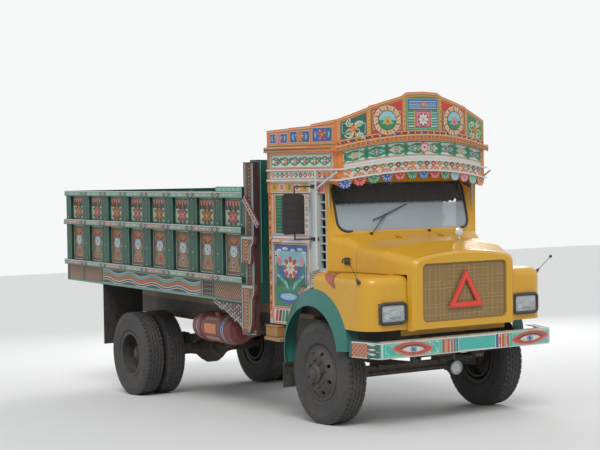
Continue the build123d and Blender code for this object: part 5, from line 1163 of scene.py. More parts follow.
def bumper_face(u, v, w):
    """Straight, then round the bend, then back along the swept end."""
    turn = math.pi / 2 - BUMPER_SWEEP
    cut = BUMPER_R * math.tan(turn / 2)
    side, run = math.copysign(1, u), abs(u) - (BUMPER_BEND - cut)
    if run <= 0:
        return BUMPER_X + w, u, v
    a = min(run / BUMPER_R, turn)
    x = BUMPER_X - BUMPER_R + (BUMPER_R + w) * math.cos(a)
    y = BUMPER_BEND - cut + (BUMPER_R + w) * math.sin(a)
    rest = max(0.0, run - BUMPER_R * turn)
    return x - rest * math.cos(BUMPER_SWEEP), side * (y + rest * math.sin(BUMPER_SWEEP)), v


# an eye's leaves from the lowest to the topmost: paint, lift, width, height, turn
EYE_LEAVES = (("rose", 0.002, 0.500, 0.140, 3), ("red", 0.006, 0.440, 0.122, 4),
              ("rust", 0.012, 0.370, 0.096, 4), ("maroon", 0.004, 0.330, 0.084, 2),
              ("rose", -0.006, 0.290, 0.066, 2), ("white", -0.002, 0.250, 0.056, 2))


def painted_eye(s, u, v, side):
    for i, (paint, lift, wide, high, turn) in enumerate(EYE_LEAVES):
        s.stamp("leaf", paint, u, v + lift, wide, high, 5 + i, side * turn)
    for reach, paint in ((0.074, "black"), (0.064, "skyblue"), (0.046, "blue"), (0.020, "black")):
        s.stamp("disc", paint, u - side * 0.004, v - 0.002, reach, reach * 0.90,
                12 + (0.074 - reach) * 60)
    s.stamp("disc", "white", u + 0.008, v + 0.007, 0.010, 0.010, 17)


def bumper_paint():
    s = Sheet(CAB_COAT)
    low, high = BUMPER_LOW, BUMPER_HIGH
    inside = (low + 0.009, high - 0.012)
    s.field("turquoise", -BUMPER_REACH, BUMPER_REACH, low, high, 1, 0.015)
    for edge in ((high - 0.012, high), (low, low + 0.009)):
        s.field("white", -BUMPER_REACH, BUMPER_REACH, *edge, 2, 0.015)
    plate = 0.106
    s.field("turquoise", plate - 0.215, plate + 0.215, low + 0.014, high - 0.016, 3)
    s.frame("white", plate - 0.235, plate + 0.235, *inside, 0.007, 3)
    for at in (plate - 0.252, plate + 0.236):
        s.field("blue", at, at + 0.016, *inside, 3)
    for edge, toward in ((-0.338, 1), (0.524, -1)):
        for near, far, paint in ((0.000, 0.013, "seafoam"), (0.016, 0.104, "rust"),
                                 (0.107, 0.116, "white"), (0.116, 0.140, "red"),
                                 (0.142, 0.150, "white"), (0.150, 0.166, "maroon")):
            s.field(paint, *sorted((edge + toward * near, edge + toward * far)), *inside, 4)
        for i in range(4):
            s.bloom(edge + toward * 0.060, low + 0.026 + i * 0.034, 0.040, "cream", "red", 6, 5)
    for side in (-1, 1):
        a, b = (-0.998, -0.350) if side < 0 else (0.550, 1.010)
        s.frame("mint", a, b, low + 0.012, high - 0.015, 0.014, 3)
        s.field("turquoise", a + 0.014, b - 0.014, low + 0.026, high - 0.029, 3)
        mid, reach = (a + b) / 2, b - a
        for i in range(11):
            u = a + 0.03 + (reach - 0.06) * i / 10
            s.stamp("drop", "seafoam" if i % 2 else "mint", u, low + 0.046 + 0.062 * (i % 2), 0.080,
                    0.040, 4, 40 * side)
        painted_eye(s, mid, (low + high) / 2, side)
        s.frame("white", *span(side, 1.020, 1.036), low, high, 0.0079, 3)
        a, b = span(side, 1.140, 1.384)
        s.field("rust", a, b, *inside, 3, 0.02)
        s.lattice("cream", a, b, low + 0.011, high - 0.014, 0.045, 0.0034, 4)
        for i in range(6):
            v = low + 0.022 + i * 0.022
            s.stamp("peak", "white" if i % 2 else "teal", side * 1.140, v, 0.046, 0.110, 5,
                    90 * side)
        s.field("teal", *span(side, 1.050, 1.112), *inside, 3, 0.01)
        s.row("disc", ("white",), *span(side, 1.055, 1.095), low + 0.07, 3, 0.008, 0.008, 4)
    return s


def bumper_top():
    s = Sheet(CAB_COAT)
    s.field("cream", -1.02, 1.02, 0.884, 0.972, 1)
    s.field("white", -1.02, 1.02, 0.955, 0.972, 2)
    s.row("leaf", ("orange", "rust"), -0.98, 0.98, 0.918, 26, 0.064, 0.040, 2)
    s.row("disc", ("gold",), -0.98, 0.98, 0.918, 26, 0.016, 0.016, 3)
    return s


lay("bumper_paint", bumper_paint(), bumper_face, "chassis", "bumper_paint")
lay("bumper_top_paint", bumper_top(), lambda u, v, w: (v, u, BUMPER_TOP + w), "chassis",
    "bumper_paint")

# %% [markdown]
# The load body is a timber box: planks in eight bays between posts, with three long rails
# outside. The painter fills each bay with a small framed field, and lets the colours take turns
# down the side.

# %% Sides of the load body
BODY_X = (-5.977, -1.265)
BAY_COUNT, BAY_PITCH, LAST_BAY = 8, 0.585, -5.640
BAY_MIDDLES = [LAST_BAY + BAY_PITCH * i for i in range(BAY_COUNT)]
BAY_HALF = 0.187
PLANK_Y, POST_Y, RAIL_Y, TOP_RAIL_Y = 1.165, 1.197, 1.238, 1.222
GUSSET_Y, CORNER_Y = 1.190, 1.200


def post_spans():
    """The two edges of each post, from the rearmost post to the corner post."""
    edges = [BODY_X[0] + 0.004]
    for mid in BAY_MIDDLES:
        edges.extend([mid - BAY_HALF, mid + BAY_HALF])
    edges.append(BODY_X[1])
    return list(zip(edges[::2], edges[1::2]))


def bay_head(s, a, b, warm, soft):
    """The upper field: a fringe of peaks over a flower among leaves."""
    mid = (a + b) / 2
    s.field("green", a, b, 1.930, 2.228, 1, 1)
    s.frame("mint", a + 0.004, b - 0.004, 1.934, 2.224, 0.010, 2)
    s.field("maroon", a + 0.018, b - 0.018, 2.104, 2.212, 2, 1)
    s.field("cream", a + 0.018, b - 0.018, 1.946, 2.104, 2, 1)
    for j in range(5):
        u = a + 0.018 + (b - a - 0.036) * (j + 0.5) / 5
        s.stamp("peak", soft if j % 2 else warm, u, 2.156, 0.074, 0.100, 3, 180)
        s.stamp("drop", "cream", u, 2.176, 0.052, 0.022, 4, 90)
        s.stamp("peak", "green", u + 0.033, 2.134, 0.040, 0.056, 5)
    s.field("rust", a + 0.018, b - 0.018, 2.100, 2.110, 3, 1)
    s.spray(mid, 2.024, 0.175, "green", 3, (22, 62, 118, 158, 202, 338, 242, 298))
    s.spray(mid, 2.024, 0.135, "teal", 4, (45, 135, 225, 315))
    s.stamp("disc", warm, mid, 2.024, 0.148, 0.148, 5)
    s.bloom(mid, 2.024, 0.146, "rust" if warm == "orange" else "red", "cream", 6, 6)
    s.bloom(mid, 2.024, 0.088, warm, "gold", 6, 8, 30)


def bay_picture(s, a, b, odd):
    """The lower field: a pair of scrolls over a pool, a stem each side and a shell below."""
    mid = (a + b) / 2
    s.field("teal", a, b, 1.398, 1.852, 1, 1)
    s.frame("white", a + 0.006, b - 0.006, 1.402, 1.848, 0.008, 2)
    s.field("sand", a + 0.020, b - 0.020, 1.416, 1.834, 2, 1)
    s.frame("rust", a + 0.026, b - 0.026, 1.422, 1.828, 0.010, 3)
    s.frame("teal", a + 0.042, b - 0.042, 1.438, 1.812, 0.006, 3)
    for lean in (-1, 1):
        s.stamp("leaf", "orange", mid + lean * 0.064, 1.772, 0.150, 0.054, 4, lean * 24)
        s.stamp("leaf", "rust", mid + lean * 0.056, 1.744, 0.120, 0.034, 5, lean * 30)
        s.ring("rust", mid + lean * 0.094, 1.798, 0.018, 0.009, 5, 10, 90, 260)
        s.ribbon("brown", [(mid + lean * 0.112, 1.74), (mid + lean * 0.128, 1.62),
                           (mid + lean * 0.108, 1.50), (mid + lean * 0.06, 1.455)], 0.010, 4)
        s.stamp("leaf", "green", mid + lean * 0.102, 1.560, 0.086, 0.028, 5, 90 + lean * 20)
        s.stamp("leaf", "orange", mid + lean * 0.098, 1.480, 0.064, 0.024, 5, 90 - lean * 40)
        s.stamp("horn", "blue", mid + lean * 0.100, 1.690, 0.060, 0.036, 5, 90 * lean)
    s.stamp("drop", "gold", mid, 1.800, 0.056, 0.036, 6, 90)
    s.pile(mid, 1.660, 4, ("disc", "brown", 0.176, 0.160), ("disc", "white", 0.156, 0.140),
           ("disc", "skyblue", 0.128, 0.110))
    s.bloom(mid, 1.660, 0.096, "white", "blue", 6, 7)
    s.stamp("drop", "pink" if odd else "gold", mid, 1.525, 0.134, 0.112, 4, 90)
    s.pile(mid, 1.512, 5, ("disc", "brown", 0.086, 0.086),
           ("disc", "cream" if odd else "pink", 0.072, 0.072), ("daisy", "rust", 0.050, 0.050))
    s.row("disc", ("white",), mid - 0.11, mid + 0.11, 1.448, 8, 0.012, 0.012, 4)


def bay_paint():
    s = Sheet()
    for i, mid in enumerate(BAY_MIDDLES):
        a, b = mid - BAY_HALF + 0.006, mid + BAY_HALF - 0.006
        bay_head(s, a, b, *(("orange", "pink") if i % 2 == 0 else ("pink", "orange")))
        bay_picture(s, a, b, i % 2)
    return s


def post_paint():
    s = Sheet()
    for a, b in post_spans():
        a, b = a + 0.012, b - 0.012
        for low, high in ((1.402, 1.850), (1.932, 2.226)):
            for paint, near, far in (("mint", 0.0, 0.005), ("green", 0.016, 0.022)):
                s.field(paint, a + near, a + far, low, high, 1, 1)
                s.field(paint, b - far, b - near, low, high, 1, 1)
            if b - a > 0.1:
                mid = (a + b) / 2
                s.field("green", mid - 0.030, mid + 0.030, low + 0.02, high - 0.02, 1, 1)
                s.field("teal", mid - 0.004, mid + 0.004, low + 0.02, high - 0.02, 2, 1)
    return s


def rail_paint(low, high, scheme):
    """A long rail: pale ground and bright segments that take turns, with a joint between them.
    A scheme names the paints of the ground, of the segments and of the joints."""
    s = Sheet()
    ground, segments, joint = scheme
    s.field(ground, *BODY_X, low, high, 1, 1)
    s.field("white", *BODY_X, high - 0.009, high, 2, 1)
    s.field("green", *BODY_X, low, low + 0.008, 2, 1)
    middle, reach = (low + high) / 2, high - low
    for i, mid in enumerate(BAY_MIDDLES):
        paint = segments[i % len(segments)]
        s.field(paint, mid - 0.190, mid + 0.190, low + 0.014, high - 0.015, 2, 1)
        s.row("leaf", ("white", "cream"), mid - 0.17, mid + 0.17, middle, 4, 0.074, reach * 0.40, 3)
        s.row("disc", ("blue" if paint != "seafoam" else "red",), mid - 0.17, mid + 0.17, middle, 4,
              0.014, 0.014, 4)
        u = mid + BAY_PITCH / 2
        if u < BODY_X[1]:
            s.pile(u, middle, 2, ("square", joint, 0.120, reach - 0.020),
                   ("diamond", "white", 0.096, reach * 0.7),
                   ("diamond", "green", 0.054, reach * 0.42))
            for lean in (-1, 1):
                s.field("red", *sorted((u + lean * 0.066, u + lean * 0.084)), low + 0.010,
                        high - 0.011, 2, 1)
    return s


def skirt_paint():
    s = Sheet()
    low, high = 1.112, 1.328
    s.field("teal", *BODY_X, low, high, 1, 1)
    s.field("mint", *BODY_X, low + 0.004, low + 0.018, 2, 1)
    s.field("white", *BODY_X, high - 0.010, high - 0.004, 2, 1)
    panels = ((-5.970, -5.520), (-5.480, -4.960), (-2.000, -1.290))
    for a, b in panels:
        s.field("cream", a, b, low + 0.026, high - 0.016, 2, 1)
        s.field("rust", a + 0.010, b - 0.010, low + 0.034, high - 0.024, 3, 1)
        s.lattice("cream", a + 0.012, b - 0.012, low + 0.036, high - 0.026, 0.046, 0.005, 4)
        s.frame("teal", a + 0.004, b - 0.004, low + 0.030, high - 0.020, 0.004, 3)
    a, b = -4.920, -2.300
    s.frame("white", a, b, low + 0.024, high - 0.014, 0.005, 2)
    mid = (low + high) / 2 + 0.004
    for lift, width, paint in ((0.070, 0.013, "white"), (0.052, 0.016, "mint"),
                               (0.034, 0.014, "skyblue"), (0.0, 0.054, "rust"),
                               (0.0, 0.030, "orange"), (-0.036, 0.013, "white"),
                               (-0.054, 0.015, "blue"), (-0.070, 0.012, "cream")):
        s.wave(paint, a + 0.01, b - 0.01, mid + lift * 0.86, 0.021, 0.655, width,
               3 if width > 0.04 else 4, 0.6)
    for i in range(16):
        u = a + 0.08 + i * 0.163
        v = mid + 0.020 * math.sin(2 * math.pi * (u - a - 0.01) / 0.655 + 0.6)
        s.stamp("drop", "gold", u, v, 0.050, 0.014, 5, 20 if i % 2 else -20)
    s.field("white", b + 0.02, b + 0.026, low + 0.022, high - 0.014, 2, 1)
    s.field("maroon", b + 0.030, -2.020, low + 0.022, high - 0.014, 2, 1)
    for i in range(3):
        for j in range(6):
            s.stamp("disc", "cream" if (i + j) % 2 else "skyblue", b + 0.080 + j * 0.036,
                    low + 0.058 + i * 0.050, 0.014, 0.014, 3)
    s.frame("seafoam", b + 0.034, -2.024, low + 0.026, high - 0.018, 0.006, 3)
    return s


def cap_paint():
    s = Sheet()
    s.field("mint", -1.832, -1.266, 2.300, 2.350, 1, 1)
    s.row("diamond", ("skyblue", "white"), -1.82, -1.27, 2.325, 11, 0.044, 0.030, 2)
    return s


def gusset_paint():
    s = Sheet()
    edge = [(-1.975, 1.078), (-1.700, 1.002), (-1.420, 0.892), (-1.262, 0.782), (-1.066, 0.799)]
    for gap, width, paint in ((0.012, 0.007, "white"), (0.028, 0.010, "green"),
                              (0.042, 0.006, "cream")):
        s.ribbon(paint, [(u + gap * 0.35, v + gap * 0.95) for u, v in edge], width, 2)
    for i in range(14):
        for j in range(6):
            u, v = -1.840 + i * 0.042, 1.086 - j * 0.042 + 0.021 * (i % 2)
            if 1.056 - (u + 1.975) * 0.36 + 0.030 < v < 1.095 and u < -1.262:
                s.stamp("blossom", ("skyblue", "white", "rose")[(i + j) % 3], u, v, 0.026, 0.026, 3)
    s.field("mint", -1.240, -1.234, 0.812, 1.100, 2, 1)
    s.field("orange", -1.225, -1.080, 0.835, 1.100, 1, 1)
    s.field("maroon", -1.215, -1.090, 0.845, 1.092, 2, 1)
    for i in range(6):
        s.stamp("disc", "cream", -1.152, 0.868 + i * 0.040, 0.016, 0.016, 3)
        for lean in (-1, 1):
            s.stamp("leaf", "rust", -1.152 + lean * 0.034, 0.888 + i * 0.036, 0.034, 0.014, 3,
                    lean * 50)
    return s


def corner_paint():
    s = Sheet()
    s.field("teal", -1.090, -1.062, 1.112, 2.600, 1, 1)
    for u, width, paint in ((-1.233, 0.007, "white"), (-1.220, 0.010, "green"),
                            (-1.206, 0.005, "cream"), (-1.102, 0.005, "cream"),
                            (-1.084, 0.010, "skyblue"), (-1.068, 0.006, "white")):
        s.field(paint, u - width / 2, u + width / 2, 1.112, 2.595, 2, 1)
    s.field("brown", -1.182, -1.122, 1.12, 2.58, 1, 1)
    for i in range(36):
        s.stamp("disc", "cream" if i % 2 else "gold", -1.152, 1.14 + i * 0.040, 0.013, 0.013, 2)
    return s


LOW_RAIL = ("seafoam", ("rose", "seafoam"), "teal")
TOP_RAIL = ("seafoam", ("seafoam", "mint"), "green")
BODY_SHEETS = (
    ("bays", bay_paint(), PLANK_Y, "side_paint"),
    ("posts", post_paint(), POST_Y, "side_paint"),
    ("low_rail", rail_paint(1.330, 1.395, LOW_RAIL), RAIL_Y, "side_paint"),
    ("mid_rail", rail_paint(1.856, 1.925, LOW_RAIL), RAIL_Y, "side_paint"),
    ("top_rail", rail_paint(2.230, 2.296, TOP_RAIL), TOP_RAIL_Y, "side_paint"),
    ("skirt", skirt_paint(), PLANK_Y, "side_paint"),
    ("cap", cap_paint(), TOP_RAIL_Y, "side_paint"),
    ("gusset", gusset_paint(), GUSSET_Y, "post_paint"),
    ("corner", corner_paint(), CORNER_Y, "post_paint"),
)
for label, side in SIDES:
    for name, sheet, plane, slot in BODY_SHEETS:
        lay(f"{name}_{label}_paint", sheet, flat_side(plane, side), "chassis", slot, OLD)

# %% [markdown]
# Nobody can see the tailgate in the picture. It is finished in the same hand: two rows of four
# lotus fields, painted rails, and a sill with a bare plate. The headboard's front gets stripes.

# %% Tailgate and headboard
GATE_X, GATE_RAIL_OUT, HEADBOARD_X = -6.049, 0.022, -1.110


def gate_paint():
    s = Sheet()
    for a, b in ((-1.060, -0.570), (-0.470, -0.050), (0.050, 0.470), (0.570, 1.060)):
        for low, high, paint in ((1.470, 1.845, "cream"), (1.940, 2.215, "maroon")):
            s.field("green", a, b, low, high, 1, 1)
            s.frame("white", a + 0.012, b - 0.012, low + 0.012, high - 0.012, 0.007, 2)
            s.field(paint, a + 0.028, b - 0.028, low + 0.028, high - 0.028, 2, 1)
            mid, v = (a + b) / 2, (low + high) / 2
            s.spray(mid, v, (high - low) * 0.62, "green", 3, (20, 55, 125, 160, 200, 235, 305, 340))
            s.bloom(mid, v, (high - low) * 0.55, "pink" if paint == "cream" else "orange", "gold",
                    8, 4)
            s.bloom(mid, v, (high - low) * 0.30, "white", "red", 8, 6, 22)
            for lean in (-1, 1):
                s.stamp("horn", "rust" if paint == "cream" else "mint", mid + lean * 0.155, v,
                        0.110, 0.060, 4, 90 * lean)
    return s


def gate_rails():
    s = Sheet()
    for low, high in ((1.858, 1.923), (2.232, 2.294)):
        s.field("mint", -1.150, 1.150, low, high, 1, 1)
        s.row("square", ("rust", "skyblue"), -1.14, 1.14, (low + high) / 2, 12, 0.150, 0.040, 2)
        s.row("leaf", ("white",), -1.14, 1.14, (low + high) / 2, 24, 0.060, 0.014, 3)
    return s


def sill_paint():
    s = Sheet()
    s.field("teal", -1.160, 1.160, 1.114, 1.250, 1, 1)
    s.field("mint", -1.160, 1.160, 1.118, 1.130, 2, 1)
    for a, b in ((-0.96, -0.34), (0.34, 0.96)):
        s.field("rust", a, b, 1.138, 1.240, 2, 1)
        s.lattice("cream", a + 0.004, b - 0.004, 1.142, 1.236, 0.040, 0.005, 3)
        s.frame("white", a, b, 1.138, 1.240, 0.006, 4)
    s.field("orange", -0.260, 0.260, 1.136, 1.244, 2, 1)
    s.field("cream", -0.246, 0.246, 1.146, 1.234, 3, 1)
    return s


def headboard_front():
    s = Sheet()
    step = 2.20 / 8
    for i in range(9):
        y = -1.130 + i * step
        for du, width, paint in ((0.010, 0.006, "skyblue"), (0.050, 0.006, "skyblue"),
                                 (0.030, 0.018, "green")):
            s.field(paint, y + du - width / 2, y + du + width / 2, 1.34, 2.62, 1, 1)
    return s


def upright_plane(x, way):
    """An upright plane across the truck that is painted on its front (1) or its rear (-1)."""
    return lambda u, v, w: (x + way * w, u, v)


lay("gate_paint", gate_paint(), upright_plane(GATE_X, -1), "gate", "side_paint", OLD)
lay("gate_rail_paint", gate_rails(), upright_plane(GATE_X - GATE_RAIL_OUT, -1), "gate",
    "side_paint", OLD)
lay("sill_paint", sill_paint(), upright_plane(GATE_X, -1), "chassis", "side_paint", OLD)
lay("headboard_paint", headboard_front(), upright_plane(HEADBOARD_X, 1), "chassis", "side_paint")

# %% [markdown]
# The fittings are cut, turned and bent from primitives, as a fitter would from bar, sheet and tube.
# A few helpers keep each of them short: one applies a modifier, one turns a section round an axle,
# one bends a rod, one cuts a plate, and one finds where a straight line meets the frame.

# %% Shop helpers
SKINS = {}
CUT_ROUND = {"segments": 2, "limit_method": "ANGLE"}


def clean(piece):
    """Merges doubled corners and turns all faces outwards."""
    edit(piece)
    bpy.ops.mesh.remove_doubles(threshold=0.00005)
    bpy.ops.mesh.normals_make_consistent(inside=False)
    bpy.ops.object.mode_set(mode="OBJECT")
    return piece


def use(piece, kind, **settings):
    """Adds a modifier with the given settings and applies it."""
    pick(piece)
    modifier = piece.modifiers.new(kind.lower(), kind)
    for name, value in settings.items():
        setattr(modifier, name, value)
    bpy.ops.object.modifier_apply(modifier=modifier.name)
    return piece


def smooth(piece, angle=35):
    """Shades a piece smoothly, except where its faces meet at more than an angle in degrees."""
    pick(piece)
    bpy.ops.object.shade_smooth_by_angle(angle=math.radians(angle))
    return piece


def joined(name, pieces):
    """Makes several objects one, in the first of them."""
    deselect()
    for piece in pieces:
        piece.select_set(True)
    bpy.context.view_layer.objects.active = pieces[0]
    bpy.ops.object.join()
    pieces[0].name = name
    return pieces[0]


def copy_of(piece, name, move):
    """A copy with its own mesh, moved by a matrix."""
    twin = bpy.data.objects.new(name, piece.data.copy())
    bpy.context.scene.collection.objects.link(twin)
    twin.data.transform(move)
    return twin


def rounded_block(name, low, high, round_by=0.004, segments=2):
    """A box between two corners with rounded edges."""
    deselect()
    bpy.ops.mesh.primitive_cube_add(size=1, location=[(a + b) / 2 for a, b in zip(low, high)])
    piece = bpy.context.object
    piece.name = name
    piece.scale = [b - a for a, b in zip(low, high)]
    settle(piece)
    return use(piece, "BEVEL", width=round_by, segments=segments, limit_method="ANGLE")


def spun(name, section, centre, axis=(0, 1, 0), steps=40):
    """A closed section of (radius, place along the axle) turned round an axle through centre."""
    deselect()
    bpy.ops.mesh.primitive_circle_add(vertices=len(section), radius=1)
    piece = bpy.context.object
    piece.name = name
    along_axle = Vector(axis).normalized()
    outward = along_axle.orthogonal().normalized()
    settle(piece)
    for vertex, (radius, run) in zip(piece.data.vertices, section):
        vertex.co = Vector(centre) + outward * radius + along_axle * run
    edit(piece)
    bpy.ops.mesh.spin(steps=steps, angle=2 * math.pi, center=centre, axis=along_axle)
    bpy.ops.object.mode_set(mode="OBJECT")
    return smooth(clean(piece))


def bent_rod(name, places, radius, closed=False, soft=True):
    """A round rod along a line of places, with its bends rounded where soft."""
    curve = bpy.data.curves.new(name, "CURVE")
    curve.dimensions = "3D"
    curve.bevel_depth = radius
    curve.bevel_resolution = 2
    curve.use_fill_caps = not closed
    line = curve.splines.new("NURBS" if soft else "POLY")
    line.points.add(len(places) - 1)
    for point, spot in zip(line.points, places):
        point.co = (*spot, 1)
    line.use_cyclic_u = closed
    if soft:
        line.order_u = 3
        line.use_endpoint_u = not closed
        line.resolution_u = 6
    rod = bpy.data.objects.new(name, curve)
    bpy.context.scene.collection.objects.link(rod)
    pick(rod)
    bpy.ops.object.convert(target="MESH")
    return smooth(clean(bpy.context.object))


def plate(name, outline, depth, move, round_by=0.002):
    """A flat plate cut to an outline of (a, b) places, thickened, its edges rounded, then moved."""
    deselect()
    bpy.ops.mesh.primitive_circle_add(vertices=len(outline), radius=1, fill_type="NGON")
    piece = bpy.context.object
    piece.name = name
    settle(piece)
    for vertex, (a, b) in zip(piece.data.vertices, outline):
        vertex.co = (a, b, 0)
    edit(piece)
    bpy.ops.mesh.extrude_region_move(TRANSFORM_OT_translate={"value": (0, 0, depth)})
    bpy.ops.object.mode_set(mode="OBJECT")
    piece.data.transform(move)
    clean(piece)
    return use(piece, "BEVEL", width=round_by, **CUT_ROUND)


def black_fitting(piece):
    return place(piece, "chassis", "mirror_black", "plastic_black")


def touch(node, start, way):
    """Where a line from start first meets a node, in the level frame."""
    if node not in SKINS:
        source = NODES[node]
        move = UNTIP @ source.matrix_world
        SKINS[node] = BVHTree.FromPolygons([move @ v.co for v in source.data.vertices],
                                           [tuple(p.vertices) for p in source.data.polygons])
    return SKINS[node].ray_cast(Vector(start), Vector(way).normalized())[0]


def rounded_outline(half, low, high, radius, steps=6):
    """Places round a rectangle with rounded corners, as (across, up)."""
    line = []
    for corner in range(4):
        cu = (half - radius) * (1 if corner in (0, 3) else -1)
        cv = high - radius if corner < 2 else low + radius
        for i in range(steps + 1):
            ru, rv = compass(90 * corner + 90 * i / steps)
            line.append((cu + radius * ru, cv + radius * rv))
    return line


# these turn a plate's (across, up, thick) into the axes of a front view or of a side view
FACE_FORWARD = Matrix(((0, 0, 1, 0), (1, 0, 0, 0), (0, 1, 0, 0), (0, 0, 0, 1)))
FACE_SIDE = Matrix(((1, 0, 0, 0), (0, 0, -1, 0), (0, 1, 0, 0), (0, 0, 0, 1)))
print("helpers ready")

# %% [markdown]
# A truck tyre is a turned carcass with ribs of rubber round it. The section below has the bead, the
# swell of the sidewall, its two raised rings and the shoulder. The tread is five ribs of separate
# blocks with zigzag edges; they are laid on the crown like brush strokes, only much thicker.

# %% Tyres
SIDEWALL = ((0.2543, 0.0917), (0.279, 0.0917), (0.2845, 0.0980), (0.300, 0.1085), (0.306, 0.1150),
            (0.312, 0.1135), (0.345, 0.1185), (0.385, 0.1215), (0.420, 0.1212), (0.424, 0.1232),
            (0.431, 0.1208), (0.462, 0.1160), (0.484, 0.1085), (0.497, 0.0990))
CROWN_R, PITCHES, TREAD_DEPTH, ZIGZAG = 0.497, 54, 0.0125, 0.003
RIBS = ((-0.098, -0.066, 0.010), (-0.058, -0.026, 0.003), (-0.018, 0.018, 0.003),
        (0.026, 0.058, 0.003), (0.066, 0.098, 0.010))


def tread():
    s = Sheet(TREAD_DEPTH)
    pitch = 2 * math.pi * CROWN_R / PITCHES
    for i in range(PITCHES):
        for j, (low, high, gap) in enumerate(RIBS):
            start = (i + 0.5 * (j % 2)) * pitch
            run = (0, (pitch - gap) / 2, pitch - gap)
            sway = (-ZIGZAG, ZIGZAG, -ZIGZAG)
            lower = [(start + r, low + (w if j > 0 else 0)) for r, w in zip(run, sway)]
            upper = [(start + r, high + (w if j < 4 else 0)) for r, w in zip(run, sway)]
            s.strip("tyre_rubber", lower, upper, 1)
    return s


def around_crown(u, v, w):
    a = u / CROWN_R
    return (CROWN_R + w) * math.cos(a), v, (CROWN_R + w) * math.sin(a)


section = list(SIDEWALL) + [(radius, -away) for radius, away in reversed(SIDEWALL)]
carcass = spun("carcass", section, (0, 0, 0), steps=72)
carcass.data.materials.append(FINISHES["tyre_rubber"])
TREAD = lay("tread", tread(), around_crown, "chassis", "tyre")
TREAD.data.transform(UNTIP)
TYRE = joined("tyre_pattern", [carcass, TREAD])
FRONT_Y, TWIN_Y, TWIN_STEP = 0.9825, 0.8885, 0.146
for label, side in SIDES:
    front = copy_of(TYRE, f"tyre_front_{label}_rubber",
                    Matrix.Translation((AXLE[0], side * FRONT_Y, AXLE[2])))
    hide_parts(f"tyre_front_{label}")
    place(front, f"{label}_front_wheel", "tyre", tipped=False)
    pair = [copy_of(TYRE, "twin", Matrix.Translation((REAR[0], side * (TWIN_Y + step), REAR[2])))
            for step in (-TWIN_STEP, TWIN_STEP)]
    rear = joined(f"tyres_rear_{label}_rubber", pair)
    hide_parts(f"tyres_rear_{label}")
    place(rear, f"{label}_rear_wheels", "tyre", tipped=False)
print("tyre faces", len(TYRE.data.polygons))
bpy.data.objects.remove(TYRE)

# %% [markdown]
# Each wheel is held by eight nuts on studs, and its hub is closed by a cap with its own bolts. One
# nut is a six-sided bar whose end is inset and pulled out into the stud; the rest are copies.

# %% Wheel nuts and hub caps
def nut(across, high, stud):
    deselect()
    bpy.ops.mesh.primitive_cylinder_add(vertices=6, radius=across / 2, depth=high,
                                        location=(0, 0, high / 2))
    piece = bpy.context.object
    settle(piece)
    edit(piece)
    bpy.ops.mesh.select_all(action="DESELECT")
    bpy.ops.object.mode_set(mode="OBJECT")
    for face in piece.data.polygons:
        face.select = face.normal.z > 0.9
    bpy.ops.object.mode_set(mode="EDIT")
    bpy.ops.mesh.select_mode(type="FACE")
    bpy.ops.mesh.inset(thickness=across * 0.16, depth=0)
    bpy.ops.mesh.extrude_region_move(TRANSFORM_OT_translate={"value": (0, 0, stud)})
    bpy.ops.object.mode_set(mode="OBJECT")
    return use(piece, "BEVEL", width=across * 0.04, segments=1, limit_method="ANGLE")


def nut_ring(name, count, radius, pattern, centre, side, start=0.0):
    """Copies of a nut round an axle, pointing to one side of the truck."""
    ring = []
    for i in range(count):
        a = start + 2 * math.pi * i / count
        at = Vector(centre) + Vector((radius * math.cos(a), 0, radius * math.sin(a)))
        turn = Matrix.Rotation(-side * math.pi / 2, 4, "X") @ Matrix.Rotation(a, 4, "Z")
        ring.append(copy_of(pattern, "nut", Matrix.Translation(at) @ turn))
    return joined(name, ring)


BIG_NUT, SMALL_NUT = nut(0.036, 0.020, 0.012), nut(0.016, 0.007, 0.002)
NUT_COUNT, NUT_R = 8, 0.132
HUB_CAP = ((0.0, 0.0), (0.052, 0.0), (0.054, 0.004), (0.050, 0.010), (0.034, 0.016),
           (0.016, 0.019), (0.0, 0.0195))
# end, its carrying body, the axle's x, the place across of the nuts and of the cap, the cap's bolts
WHEEL_ENDS = (("front", "front_wheel", AXLE[0], 1.1285, 1.173, 0.060),
              ("rear", "rear_wheels", REAR[0], 0.9005, 1.0565, 0.062))
for label, side in SIDES:
    for end, body, x, face, cap, bolt_r in WHEEL_ENDS:
        nuts = nut_ring("nuts", NUT_COUNT, NUT_R, BIG_NUT, (x, side * face, AXLE[2]), side, 0.2)
        dome = spun("dome", [(r, side * y) for r, y in HUB_CAP], (x, side * cap, AXLE[2]), steps=24)
        bolts = nut_ring("bolts", NUT_COUNT, bolt_r, SMALL_NUT,
                         (x, side * (cap - 0.001), AXLE[2]), side)
        place(joined(f"wheel_nuts_{end}_{label}", [nuts, dome, bolts]), f"{label}_{body}",
              "rim_paint", "rim_dark", tipped=False)
for pattern in (BIG_NUT, SMALL_NUT):
    bpy.data.objects.remove(pattern)
print("wheel nuts done")

# %% [markdown]
# The windscreen sits in a black rubber seal that follows the bowed frame. Its line is found by
# looking straight back at the frame from in front, all round the opening. Only the driver's wiper
# still has its arm and blade; of the other one the spindle is left.

# %% Seal and wipers
def on_screen(y, z, out, node="windscreen"):
    return touch(node, (0.8, y, z), (-1, 0, 0)) + Vector((out, 0, 0))


